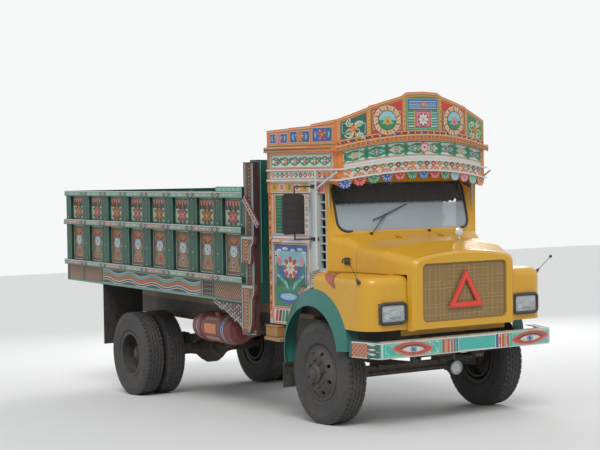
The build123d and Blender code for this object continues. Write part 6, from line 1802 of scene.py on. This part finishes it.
seal_line = [on_screen(y, z, 0.003, "windscreen_cowl")
             for y, z in rounded_outline(0.829, 1.898, 2.392, 0.100, 8)]
seal = bent_rod("screen_seal", seal_line, 0.012, closed=True, soft=False)
place(seal, "chassis", "flap_rubber", "seal")
arm = bent_rod("arm", [(0.118, -0.529, 1.872), (0.130, -0.500, 1.905),
                       on_screen(-0.420, 1.975, 0.040), on_screen(-0.314, 2.061, 0.026)], 0.0055)
blade = bent_rod("blade", [on_screen(-0.466 + 0.422 * i / 6, 2.004 + 0.157 * i / 6, 0.014)
                           for i in range(7)], 0.0050)
spring = bent_rod("spring", [on_screen(-0.400, 2.029, 0.022), on_screen(-0.314, 2.064, 0.030),
                             on_screen(-0.150, 2.122, 0.022)], 0.0035)
parts = [arm, blade, spring]
for y, z in ((-0.529, 1.870), (0.181, 1.878)):
    foot = touch("windscreen_cowl", (0.8, y, z), (-1, 0, 0))
    parts.append(spun("spindle", ((0, -0.010), (0.020, -0.010), (0.020, 0.004), (0.012, 0.012),
                                  (0.009, 0.026), (0, 0.028)), foot, (0.8, 0, 0.5), 16))
black_fitting(joined("wipers", parts))
print("seal places", len(seal_line))

# %% [markdown]
# A dark cloth pelmet with a scalloped hem hangs inside the top of the windscreen to keep the sun
# out, and a round charm hangs before it. Its dark band with the scalloped edge also stands for the
# dark reflection of the brow's underside in the glass: a painted reflection. The cloth is a fine
# grid that follows the bow of the glass with soft pleats; its hem is one scallop for each hand's
# width.

# %% Pelmet and charm
PELMET_HALF, PELMET_TOP, SCALLOPS = 0.800, 2.372, 17
HEM_Z, HEM_LIFT, SCALLOP, HEM_LOWEST = 2.168, 0.060, 0.020, 2.148
CLOTH_WIDE, CLOTH_THICK, PLEAT, PLEAT_PITCH = 1.66, 0.0012, 0.004, 0.094


def hem_height(y):
    scallop = abs(math.sin(math.pi * SCALLOPS * (y + PELMET_HALF) / (2 * PELMET_HALF)))
    return HEM_Z + HEM_LIFT * (abs(y) / PELMET_HALF) ** 5 - SCALLOP * scallop


def behind_glass(y, z, low=2.20, high=2.34):
    """How far forward the inside of the glass is: its bow is read at one height, then its slope
    is added."""
    inside = [touch("windscreen", (-0.7, *spot), (1, 0, 0)).x
              for spot in ((0, low), (0, high), (y, low))]
    return inside[2] + (inside[1] - inside[0]) / (high - low) * (z - low)


def pelmet():
    deselect()
    bpy.ops.mesh.primitive_grid_add(x_subdivisions=204, y_subdivisions=12, size=1)
    cloth = bpy.context.object
    cloth.name = "screen_pelmet_and_reflection"
    settle(cloth)
    for vertex in cloth.data.vertices:
        y = vertex.co.x * 2 * PELMET_HALF
        drop = 0.5 - vertex.co.y
        z = PELMET_TOP + (hem_height(y) - PELMET_TOP) * drop
        pleat = PLEAT * math.sin(2 * math.pi * y / PLEAT_PITCH) * (0.3 + drop)
        vertex.co = (behind_glass(y, z) - 0.020 - pleat, y, z)
    smooth(cloth, 60)
    flat = sum(face.area for face in cloth.data.polygons)
    use(cloth, "SOLIDIFY", thickness=CLOTH_THICK, offset=0)
    clean(cloth)
    return cloth, flat


cloth, flat = pelmet()
place(cloth, "chassis", "seat_cloth", "pelmet_cloth_and_reflection")
CHARM_Y, CHARM_Z, CHARM_BACK = -0.160, 2.325, 0.044
charm_at = Vector((on_screen(CHARM_Y, CHARM_Z, 0).x - CHARM_BACK, CHARM_Y, CHARM_Z))
ring_section = [(0.043 + 0.009 * ru, 0.009 * rv) for ru, rv in map(compass, range(0, 360, 45))]
ring = spun("ring", ring_section, charm_at, (1, 0, 0), 28)
cord = bent_rod("thread", [charm_at + Vector((0, 0, 0.044)), charm_at + Vector((0, 0, 0.062))],
                0.0015, soft=False)
beads = [spun("bead", ((0, -0.006), (0.005, -0.004), (0.006, 0), (0.005, 0.004), (0, 0.006)),
              charm_at + Vector((0, dy, -0.052 - 0.012 * i)), (0, 0, 1), 10)
         for i in range(3) for dy in (-0.012, 0.012)]
heart = spun("heart", ((0, -0.004), (0.030, -0.003), (0.033, 0), (0.030, 0.004), (0.014, 0.009),
                       (0, 0.010)), charm_at, (1, 0, 0), 20)
place(joined("screen_charm", [ring, heart, cord, *beads]), "chassis", "fascia_paint", "sand")

# %% [markdown]
# The grille is a woven mat in a frame. The mat's weave is in its finish; the loose bright threads
# that wander over it are modelled, as is the red warning triangle that is hooked into it. The
# triangle is a three-sided plate, inset, with its middle cut out and its rim raised.

# %% Grille threads and warning triangle
MESH_X = 0.9165


def mesh_threads():
    s = Sheet(0.0010)
    for i in range(15):
        z = 1.068 + i * 0.0365 + random.uniform(-0.006, 0.006)
        start = random.choice((-0.505, -0.505, -0.20))
        end = random.choice((0.505, 0.505, 0.30))
        s.wave("straw", start, end, z, 0.0010, 0.30, 0.0024, 1, i)
    for i in range(17):
        y = -0.475 + i * 0.0590 + random.uniform(-0.010, 0.010)
        low, high = random.choice((1.055, 1.055, 1.25)), random.choice((1.598, 1.598, 1.42))
        s.ribbon("straw", [(y + 0.0010 * math.sin(j * 1.7 + i), low + (high - low) * j / 6)
                           for j in range(7)], 0.0026, 2)
    return s


lay("grille_threads", mesh_threads(), upright_plane(MESH_X, 1), "bonnet", "mesh_brown")


def triangle(name, middle, reach, width, depth, paint):
    deselect()
    bpy.ops.mesh.primitive_circle_add(vertices=3, radius=reach, fill_type="NGON")
    piece = bpy.context.object
    piece.name = name
    settle(piece)
    angle = math.atan2(piece.data.vertices[0].co.y, piece.data.vertices[0].co.x)
    piece.data.transform(Matrix.Rotation(math.pi / 2 - angle, 4, "Z"))
    edit(piece)
    bpy.ops.mesh.select_mode(type="FACE")
    bpy.ops.mesh.inset(thickness=width, depth=0)
    bpy.ops.mesh.delete(type="FACE")
    bpy.ops.mesh.select_all(action="SELECT")
    bpy.ops.mesh.extrude_region_move(TRANSFORM_OT_translate={"value": (0, 0, depth)})
    bpy.ops.object.mode_set(mode="OBJECT")
    piece.data.transform(Matrix.Translation(middle) @ FACE_FORWARD)
    clean(piece)
    use(piece, "BEVEL", width=0.003, **CUT_ROUND)
    place(piece, "bonnet", "fascia_paint", paint)


triangle("triangle_back", (0.940, 0.0, 1.292), 0.256, 0.058, 0.008, "red")
triangle("triangle_face", (0.947, 0.0, 1.292), 0.226, 0.034, 0.006, "signal_red")
hooks = [bent_rod("hook", [(0.914, y, z), (0.930, y, z + 0.006), (0.943, y, z)], 0.003)
         for y, z in ((0.0, 1.520), (-0.190, 1.176), (0.190, 1.176))]
place(joined("triangle_hooks", hooks), "bonnet", "rail_paint", "steel")

# %% [markdown]
# Headlamps are oblong with a thick black rim; the fog lamp under the bumper and the tail lamps are
# round. A headlamp's glass is a thin plate with rounded edges and small upright flutes, and on it
# lie thin pale and dark shapes, a painted reflection of the reflector and bulb that shine through
# it: painted highlights above and a painted shade below.

# %% Lamps
LAMP_Y, LAMP_Z, LAMP_X, GLASS_THICK = 0.822, 1.148, 0.866, 0.008
TAIL_X, TAIL_Y, TAIL_Z = -6.062, 1.050, 1.220
FOG = (0.850, -0.057, 0.571)


def lamp_flutes():
    s = Sheet(0.0016)
    for side in (-1, 1):
        for i in range(21):
            u = side * LAMP_Y - 0.120 + 0.012 * i
            s.field("lens_glass", u - 0.0045, u + 0.0045, LAMP_Z - 0.070, LAMP_Z + 0.070, 1)
    return s


for label, side in SIDES:
    glass_line = [(u + side * LAMP_Y, v + LAMP_Z)
                  for u, v in rounded_outline(0.134, -0.080, 0.080, 0.030)]
    lens = plate(f"headlamp_glass_{label}", glass_line, GLASS_THICK,
                 Matrix.Translation((LAMP_X, 0, 0)) @ FACE_FORWARD, 0.003)
    place(lens, "chassis", "lamp_glass", "lens_glass")
    rim_line = [(LAMP_X + 0.006, u + side * LAMP_Y, v + LAMP_Z)
                for u, v in rounded_outline(0.148, -0.093, 0.093, 0.040)]
    rim = bent_rod(f"headlamp_rim_{label}", rim_line, 0.0165, closed=True, soft=False)
    black_fitting(rim)
    tail = (TAIL_X, side * TAIL_Y, TAIL_Z)
    cap = spun(f"tail_lamp_{label}", ((0, 0), (0.050, 0), (0.052, 0.006), (0.047, 0.016),
                                      (0.034, 0.024), (0, 0.029)), tail, (-1, 0, 0), 28)
    place(cap, "chassis", "lamp_glass", "lens_red")


def lamp_highlights_and_shade():
    s = Sheet(0.0006)
    for side in (-1, 1):
        y = side * LAMP_Y
        # painted highlights: a white band over the upper half, a bright bulb and a glint at the
        # upper left; the pale disc is the lit bowl and the black leaf below is painted shade
        s.field("white", y - 0.124, y + 0.124, LAMP_Z + 0.018, LAMP_Z + 0.070, 1)
        s.stamp("disc", "pale", y + 0.012, LAMP_Z - 0.004, 0.150, 0.112, 2)
        s.stamp("disc", "white", y + 0.010, LAMP_Z + 0.004, 0.058, 0.050, 3)
        s.stamp("leaf", "plastic_black", y + 0.03, LAMP_Z - 0.044, 0.150, 0.030, 3)
        s.stamp("leaf", "white", y - 0.070, LAMP_Z - 0.030, 0.060, 0.060, 3, 30)
    return s


lay("headlamp_painted_highlights", lamp_highlights_and_shade(), upright_plane(LAMP_X, 1), "chassis", "lamp_glass")
lay("headlamp_flutes", lamp_flutes(), upright_plane(LAMP_X + GLASS_THICK, 1), "chassis",
    "lamp_glass")
fog_rim = spun("fog_lamp_rim", ((0.054, -0.004), (0.068, -0.006), (0.071, 0.004), (0.066, 0.012),
                                (0.056, 0.010)), FOG, (1, 0, 0), 32)
place(fog_rim, "chassis", "mirror_black", "steel")
fog_glass = spun("fog_lamp_glass", ((0, 0.001), (0.056, 0.001), (0.056, 0.005), (0.044, 0.011),
                                    (0.024, 0.015), (0, 0.0165)), FOG, (1, 0, 0), 32)
place(fog_glass, "chassis", "lamp_glass", "lens_glass")
stalk = [bent_rod("stalk", [(0.810, -0.057, 0.626), (0.810, -0.057, 0.729)], 0.0142, soft=False),
         rounded_block("shoe", (0.782, -0.099, 0.724), (0.838, -0.015, 0.7275), 0.001)]
black_fitting(joined("fog_lamp_stalk", stalk))
bowl = spun("fog_lamp_bowl", ((0, -0.131), (0.030, -0.127), (0.052, -0.108), (0.062, -0.082),
                              (0.0685, -0.070), (0.0685, -0.012), (0.066, -0.012), (0.066, -0.068),
                              (0, -0.068)), FOG, (1, 0, 0), 32)
black_fitting(bowl)
print("lamps done")

# %% [markdown]
# On the wings stand two feelers that show the driver where the front corners are, each on a black
# rubber foot and tipped with a round bead. A leaf-shaped cover in orange brown lies over the
# shoulder of each wing, and a small round mirror looks over the bonnet.

# %% Wing and bonnet fittings
def wing_shoulder(side):
    """u runs along the truck, v is the angle round the wing's shoulder, in degrees from upright."""
    def surface(u, v, w):
        across, up = compass(90 - v)
        out = Vector((0, side * across, up))
        start = Vector((u, side * 0.985, 1.380)) + out * 0.3
        return touch("wings", start, -out) + out * (w + 0.0006)
    return surface


def leaf_cover(grow, paint, layer, s):
    """A leaf from the wing's top to its side, wide above and pointed below."""
    lower, upper = [], []
    for i in range(13):
        t = i / 12
        bulge = math.sin(math.pi * min(1.0, t * 0.72 + 0.20)) ** 1.1 * 0.105 * grow
        middle = 0.135 + 0.17 * t ** 1.6
        v = -14 + 4 * (1 - grow) * 20 + (104 - 60 * (1 - grow)) * t
        lower.append((middle - bulge, v))
        upper.append((middle + bulge * (1 - 0.5 * t), v))
    s.strip(paint, lower, upper, layer)


for label, side in SIDES:
    s = Sheet(0.0022)
    leaf_cover(1.0, "brown", 1, s)
    leaf_cover(0.80, "rust", 2, s)
    lay(f"side_cover_{label}", s, wing_shoulder(side), "chassis", "yellow_paint")
    foot = touch("wings", (0.71, side * 1.5, 1.80), (0, -side, -0.90))
    foot += Vector((0, side * 0.004, 0.002))
    tip = Vector((0.640, -1.170, 1.648)) if side < 0 else Vector((0.800, 1.225, 1.600))
    lean = (tip - foot).normalized()
    boot = spun("boot", ((0, -0.006), (0.019, -0.006), (0.021, 0.004), (0.014, 0.030),
                         (0.008, 0.052), (0, 0.054)), foot, lean, 20)
    wire = bent_rod("wire", [foot + lean * 0.03, foot.lerp(tip, 0.6) + Vector((0.006, 0, 0)), tip],
                    0.0032)
    bead = spun("bead", ((0, -0.017), (0.011, -0.013), (0.017, 0), (0.011, 0.013), (0, 0.017)), tip,
                lean, 18)
    black_fitting(joined(f"feeler_{label}", [boot, wire, bead]))
    latch_low = touch("windscreen_cowl", (0.12, side * 1.4, 1.612), (0, -side, 0))
    base = rounded_block("latch", latch_low + Vector((-0.052, -0.010, -0.036)),
                         latch_low + Vector((0.052, 0.010, 0.036)), 0.006)
    knob = spun("knob", ((0, 0), (0.020, 0), (0.022, 0.008), (0.016, 0.020), (0, 0.023)),
                latch_low + Vector((0.020, side * 0.008, 0)), (0, side, 0), 18)
    hasp = bent_rod("hasp", [latch_low + Vector((-0.036, side * 0.014, -0.020)),
                             latch_low + Vector((-0.04, side * 0.03, 0)),
                             latch_low + Vector((-0.030, side * 0.016, 0.024))], 0.006)
    black_fitting(joined(f"bonnet_latch_{label}", [base, knob, hasp]))
looks = Vector((0.90, -0.42, 0.10))
mirror_foot = touch("bonnet_lid", (0.60, 0.200, 2.2), (0, 0, -1))
stalk = bent_rod("stalk", [mirror_foot, mirror_foot + Vector((-0.01, 0, 0.035)),
                           Vector((0.590, 0.200, 1.862))], 0.0055)
foot = spun("foot", ((0, -0.002), (0.020, -0.002), (0.020, 0.004), (0.008, 0.010), (0, 0.011)),
            mirror_foot, (0, 0, 1), 20)
dish = spun("dish", ((0, -0.014), (0.022, -0.010), (0.036, 0.004), (0.038, 0.010), (0.034, 0.012),
                     (0, 0.016)), (0.595, 0.198, 1.880), looks, 28)
place(joined("bonnet_mirror", [stalk, foot, dish]), "bonnet", "rail_paint", "chrome")

# %% [markdown]
# Where the corner post meets the cab two scrolled brackets jut forward, each a thick plank with a
# curved foot, and a painted brace runs from the top rail inwards to the headboard. They are flat
# planks, so each is one outline with thickness and rounded edges; lines and dots of paint go on
# top.

# %% Brackets and brace
BRACKETS = (((-1.262, 1.835), (-1.010, 1.845), (-1.000, 1.800), (-1.014, 1.760), (-1.048, 1.730),
             (-1.058, 1.680), (-1.062, 1.600), (-1.075, 1.548), (-1.262, 1.556)),
            ((-1.262, 1.322), (-1.010, 1.330), (-0.998, 1.280), (-1.008, 1.232), (-1.040, 1.190),
             (-1.052, 1.110), (-1.056, 0.990), (-1.070, 0.900), (-1.100, 0.830), (-1.262, 0.790)))
BRACKET_Y = (1.201, 1.240)


def bracket_paint(outline):
    s = Sheet(0.0010)
    top, low = outline[0][1], outline[-2][1]
    front = [(u - 0.012, v) for u, v in outline[1:-1]]
    s.ribbon("white", front, 0.007, 2)
    s.ribbon("green", [(u - 0.016, v) for u, v in front], 0.008, 2)
    s.ribbon("cream", [(u - 0.030, v) for u, v in front], 0.004, 2)
    s.field("white", -1.258, -1.020, top - 0.014, top - 0.007, 2)
    s.field("seafoam", -1.258, -1.024, top - 0.030, top - 0.018, 2)
    s.field("white", -1.256, -1.249, low + 0.01, top - 0.034, 2)
    s.field("brown", -1.228, -1.098, low + 0.016, top - 0.044, 1)
    count = round((top - low - 0.08) / 0.034)
    for i in range(count):
        v = low + 0.040 + i * (top - low - 0.100) / (count - 1)
        s.stamp("disc", "cream", -1.163, v, 0.014, 0.014, 3)
        for lean in (-1, 1):
            s.stamp("leaf", "rose" if i % 2 else "gold", -1.163 + lean * 0.032, v + 0.012, 0.034,
                    0.014, 2, lean * 50)
            s.stamp("disc", "white", -1.163 + lean * 0.054, v, 0.007, 0.007, 2)
    return s


def plank_between(name, start, end, wide, thick, across):
    """A plank from start to end; across is the direction of its width."""
    run = Vector(end) - Vector(start)
    x_axis, y_axis = run.normalized(), Vector(across).normalized()
    z_axis = x_axis.cross(y_axis).normalized()
    y_axis = z_axis.cross(x_axis)
    turn = Matrix((x_axis, y_axis, z_axis)).transposed().to_4x4()
    piece = rounded_block(name, (0, -wide / 2, -thick / 2), (run.length, wide / 2, thick / 2),
                          0.004)
    piece.data.transform(Matrix.Translation(start) @ turn)
    return piece, Matrix.Translation(start) @ turn, run.length


for label, side in SIDES:
    for i, outline in enumerate(BRACKETS):
        outer = max(side * y for y in BRACKET_Y)
        piece = plate(f"bracket_{label}_{i + 1}", outline, BRACKET_Y[1] - BRACKET_Y[0],
                      Matrix.Translation((0, outer, 0)) @ FACE_SIDE, 0.003)
        place(piece, "chassis", "post_paint", "maroon")
        lay(f"bracket_paint_{label}_{i + 1}", bracket_paint(outline), flat_side(BRACKET_Y[1], side),
            "chassis", "post_paint")
    start, end = (-1.235, side * 1.2135, 2.238), (-0.940, side * 1.2135, 1.940)
    brace, move, long = plank_between(f"brace_{label}", start, end, 0.056, 0.024, (1.0, 0, 1.0))
    place(brace, "chassis", "post_paint", "maroon")
    s = Sheet(CAB_COAT)
    for v in (-0.022, 0.022):
        s.field("white", 0.004, long - 0.004, v - 0.003, v + 0.003, 1, 1)
    s.row("leaf", ("rose", "gold"), 0.02, long - 0.02, 0.0, 9, 0.034, 0.016, 1)
    for face in (-1, 1):
        lay(f"brace_paint_{label}_{'in' if face < 0 else 'out'}", s,
            lambda u, v, w, move=move, face=face: move @ Vector((u, v, face * (0.012 + w))),
            "chassis", "post_paint")
print("brackets and braces done")

# %% [markdown]
# A white tube stands at each front corner of the cab, beside the half-round column, and a second
# one slants from it up to the lower rail of the brow. A timber box with a lid stands on the step.

# %% Tubes, step box and handles
TUBE_X, HANDLE_U, HANDLE_V = -0.172, -0.822, 1.640
BOX_X, BOX_Y, BOX_Z, LID_TOP = (-0.985, -0.765), (0.965, 1.118), (0.796, 0.900), 0.914
for label, side in SIDES:
    upright = bent_rod("upright", [(TUBE_X, side * 0.998, 1.520), (TUBE_X, side * 0.998, 2.000),
                                   (TUBE_X, side * 1.002, 2.510)], 0.011)
    slant = bent_rod("slant", [(-0.165, side * 1.004, 2.325), (-0.02, side * 0.990, 2.405),
                               (0.165, side * 0.972, 2.492)], 0.010)
    feet = [spun("foot", ((0, 0), (0.020, 0), (0.020, 0.005), (0.012, 0.008), (0, 0.008)),
                 (TUBE_X, side * 0.988, z), (0, side, 0), 16) for z in (1.535, 2.300)]
    place(joined(f"corner_tube_{label}", [upright, slant, *feet]), "chassis", "rail_paint", "white")
    near, far = sorted(side * y for y in BOX_Y)
    box = rounded_block("box", (BOX_X[0], near, BOX_Z[0]), (BOX_X[1], far, BOX_Z[1]), 0.008, 3)
    lid = rounded_block("lid", (BOX_X[0] - 0.006, near - 0.004, BOX_Z[1]),
                        (BOX_X[1] + 0.006, far + 0.004, LID_TOP), 0.004)
    clasp = bent_rod("clasp", [(-0.875, side * 1.120, 0.906), (-0.875, side * 1.126, 0.890),
                               (-0.875, side * 1.121, 0.866)], 0.004)
    place(joined(f"step_box_{label}", [box, lid, clasp]), "chassis", "step_paint", "step_timber")
    at = Vector(cab_side(side)(HANDLE_U, HANDLE_V, 0.0))
    outward = Vector((0.15, side, 0)).normalized()
    handle = bent_rod("handle", [at + outward * 0.002, at + outward * 0.036,
                                 at + outward * 0.040 + Vector((0.07, 0, 0)),
                                 at + outward * 0.034 + Vector((0.125, 0, -0.004))], 0.0075)
    rose = spun("rose", ((0, -0.002), (0.024, -0.002), (0.024, 0.004), (0.012, 0.008), (0, 0.008)),
                at, outward, 20)
    place(joined(f"door_handle_{label}", [handle, rose]), f"{label}_door", "rail_paint", "chrome")
print("tubes, boxes and handles done")

# %% [markdown]
# The fuel tank is a barrel. Its paint is laid round it in bands between the hoops, with a bare
# orange plate on the outside. Domed coach bolts hold the side posts and the bumper, and the big
# mirror gets its rubber rim, its silvered glass and ribs on its back.

# %% Tank bands, bolts and mirror
TANK_Y, TANK_Z, TANK_R = -0.800, 0.735, 0.170


def around_tank(u, v, w):
    """v runs round the barrel in metres, from its outermost line upwards."""
    a = v / TANK_R
    return u, TANK_Y - (TANK_R + w) * math.cos(a), TANK_Z + (TANK_R + w) * math.sin(a)


def tank_paint():
    s = Sheet(CAB_COAT)
    count = 24
    reach = math.pi * TANK_R * 0.80
    line = [-reach + 2 * reach * i / count for i in range(count + 1)]
    for start in (-2.786, -2.255):
        for a, b, paint, layer in ((0.0, 0.070, "blue", 1), (-0.008, 0.0, "white", 1),
                                   (0.070, 0.078, "white", 1), (0.028, 0.042, "skyblue", 2)):
            s.strip(paint, [(start + a, v) for v in line], [(start + b, v) for v in line], layer)
    plate_line = [-0.062 + 0.0124 * i for i in range(11)]
    for grow, paint, layer in ((1.0, "black", 3), (0.90, "orange", 4)):
        rear_edge, front_edge = ([(-2.475 + way * 0.150 * grow, v * grow) for v in plate_line]
                                 for way in (-1, 1))
        s.strip(paint, rear_edge, front_edge, layer)
    for i in range(5):
        for v in (-0.120, 0.120):
            s.bloom(-2.595 + i * 0.060, v, 0.050, "cream", "gold", 6, 3)
    return s


lay("tank_bands", tank_paint(), around_tank, "chassis", "tank_paint")


def bolt_heads():
    """Domed coach bolts on the posts, above and below each rail."""
    s = Sheet(0.0035)
    for a, b in post_spans():
        for v in (1.425, 1.620, 1.828, 1.950, 2.205):
            s.pile((a + b) / 2, v, 1, ("disc", "seafoam", 0.020, 0.020),
                   ("disc", "seafoam", 0.012, 0.012))
    return s


def bumper_bolts():
    s = Sheet(0.004)
    for side in (-1, 1):
        for y in (0.385, 0.475):
            for z in (0.765, 0.862):
                s.pile(side * y, z, 1, ("disc", "white", 0.022, 0.022),
                       ("disc", "white", 0.013, 0.013))
    return s


for label, side in SIDES:
    lay(f"post_bolts_{label}", bolt_heads(), flat_side(POST_Y, side), "chassis", "side_paint")
lay("bumper_bolts", bumper_bolts(), bumper_face, "chassis", "bumper_paint")
MIRROR_X, MIRROR_Y = -0.309, -1.1875
rim_line = [(MIRROR_X, u + MIRROR_Y, v) for u, v in rounded_outline(0.118, 1.887, 2.273, 0.030)]
mirror_rim = bent_rod("mirror_rim", rim_line, 0.0105, closed=True, soft=False)
place(mirror_rim, "chassis", "mirror_black", "seal")
glass_line = [(u + MIRROR_Y, v) for u, v in rounded_outline(0.106, 1.900, 2.260, 0.022)]
silver = plate("mirror_glass", glass_line, 0.0025,
               Matrix.Translation((-0.3215, 0, 0)) @ FACE_FORWARD, 0.0008)
place(silver, "chassis", "screen_glass", "chrome")
ribs = [rounded_block("rib", (-0.301, -1.282, 1.960 + 0.075 * i),
                      (-0.296, -1.093, 1.972 + 0.075 * i), 0.0022)
        for i in range(4)]
black_fitting(joined("mirror_ribs", ribs))
print("tank, bolts and mirror done")

# %% [markdown]
# Through the glass two benches can be made out. Each has a stuffed cushion and a stuffed back on
# a boxed frame. A pad starts as a block a little smaller than the room it has, gets a fine even
# mesh, and is blown up by a short cloth simulation whose reach is capped; then a piped seam goes
# round it.

# %% Seats
PAD_VOXEL, PAD_CAP, PAD_FRAMES, PAD_PRESSURE, PAD_START = 0.012, 0.022, 16, 4, 0.020
SEAT_Y = 0.585


def stuffed(name, low, high):
    """A pad filled like a cushion between two corners, ending inside them."""
    start = rounded_block(name, [a + PAD_START for a in low], [b - PAD_START for b in high], 0.022,
                          4)
    use(start, "REMESH", mode="VOXEL", voxel_size=PAD_VOXEL)
    rest = [v.co.copy() for v in start.data.vertices]
    scene = bpy.context.scene
    puff = start.modifiers.new("stuffing", "CLOTH")
    puff.settings.use_pressure = True
    puff.settings.uniform_pressure_force = PAD_PRESSURE
    puff.settings.effector_weights.gravity = 0
    puff.settings.quality = 4
    for frame_number in range(1, PAD_FRAMES + 1):
        scene.frame_set(frame_number)
    shaped = start.evaluated_get(bpy.context.evaluated_depsgraph_get()).data
    moved = [v.co.copy() for v in shaped.vertices]
    start.modifiers.remove(puff)
    scene.frame_set(1)
    for vertex, was, now in zip(start.data.vertices, rest, moved):
        step = now - was
        if step.length > PAD_CAP:
            step *= PAD_CAP / step.length
        spot = was + step
        vertex.co = [min(max(c, a + 0.001), b - 0.001) for c, a, b in zip(spot, low, high)]
    use(start, "SMOOTH", factor=0.5, iterations=3)
    return smooth(start, 60)


PADS = (("cushion", (-0.850, 0.370, 1.330), (-0.430, 0.800, 1.460)),
        ("back", (-0.914, 0.370, 1.462), (-0.800, 0.800, 2.000)))
for label, side in SIDES:
    for kind, low, high in PADS:
        y_low, y_high = span(side, low[1], high[1])
        pad = stuffed(f"seat_{kind}_{label}", (low[0], y_low, low[2]), (high[0], y_high, high[2]))
        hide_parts("seats")
        place(pad, "chassis", "seat_cloth", "seat_cloth")
        if kind == "cushion":
            seam = [(-0.640 + u, side * SEAT_Y + v, 1.395)
                    for u, v in rounded_outline(0.206, -0.211, 0.211, 0.030)]
        else:
            seam = [(-0.857, side * SEAT_Y + u, v)
                    for u, v in rounded_outline(0.211, 1.468, 1.994, 0.030)]
        piping = bent_rod(f"seat_piping_{kind}_{label}", seam, 0.004, closed=True, soft=False)
        place(piping, "chassis", "seat_cloth", "lining")
    low, high = span(side, 0.380, 0.790)
    base = rounded_block(f"seat_frame_{label}", (-0.840, low, 1.020), (-0.450, high, 1.328), 0.010,
                         2)
    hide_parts("seats")
    place(base, "chassis", "seat_cloth", "underbody")
print("seats done")

# %% [markdown]
# Inside, the load body is bare planks with dark gaps, held by upright straps, and a worn floor of
# boards laid lengthways. A ray cast from the middle of the body finds each inner face.

# %% Inside of the load body
BODY_MIDDLE = (-3.6, 0.0, 1.75)
BED_LOW, BED_HIGH = 1.345, 2.270
BOARD_GAP = 0.004


def inner_boards(ends, straps, count=6):
    s = Sheet(0.0020)
    s.field("black", *ends, BED_LOW, BED_HIGH, 1)
    rise = (BED_HIGH - BED_LOW) / count
    for i in range(count):
        low = BED_LOW + rise * i
        s.field("teal", *ends, low + BOARD_GAP, low + rise - BOARD_GAP, 2)
    for i in range(straps):
        u = ends[0] + (ends[1] - ends[0]) * (i + 0.5) / straps
        s.field("flare_green", u - 0.024, u + 0.024, BED_LOW, BED_HIGH, 3)
        for v in (BED_LOW + 0.05, BED_HIGH - 0.05):
            s.stamp("disc", "black", u, v, 0.014, 0.014, 4)
    return s


def inner_floor(ends, half, count=13):
    s = Sheet(0.0015)
    s.field("black", *ends, -half, half, 1)
    wide = 2 * half / count
    for i in range(count):
        low = -half + wide * i
        s.field("floor_timber", *ends, low + BOARD_GAP, low + wide - BOARD_GAP, 2)
    return s


for label, side in SIDES:
    wall = abs(touch(f"side_board_{label}", BODY_MIDDLE, (0, side, 0)).y)
    lay(f"inner_boards_{label}", inner_boards((-5.93, -1.32), 8),
        lambda u, v, w: (u, side * (wall - w), v), "chassis", "side_paint")
head = touch("headboard", BODY_MIDDLE, (1, 0, 0)).x
lay("inner_headboard", inner_boards((-1.06, 1.06), 3), upright_plane(head, -1), "chassis",
    "side_paint")
rear = touch("tailgate", BODY_MIDDLE, (-1, 0, 0)).x
lay("inner_gate", inner_boards((-1.06, 1.06), 3), upright_plane(rear, 1), "gate", "side_paint")
bed = touch("load_floor", BODY_MIDDLE, (0, 0, -1)).z
lay("inner_floor", inner_floor((-5.93, -1.30), 1.06), lambda u, v, w: (u, v, bed + w), "chassis",
    "floor_wood")
print("inside", wall, head, rear, bed)
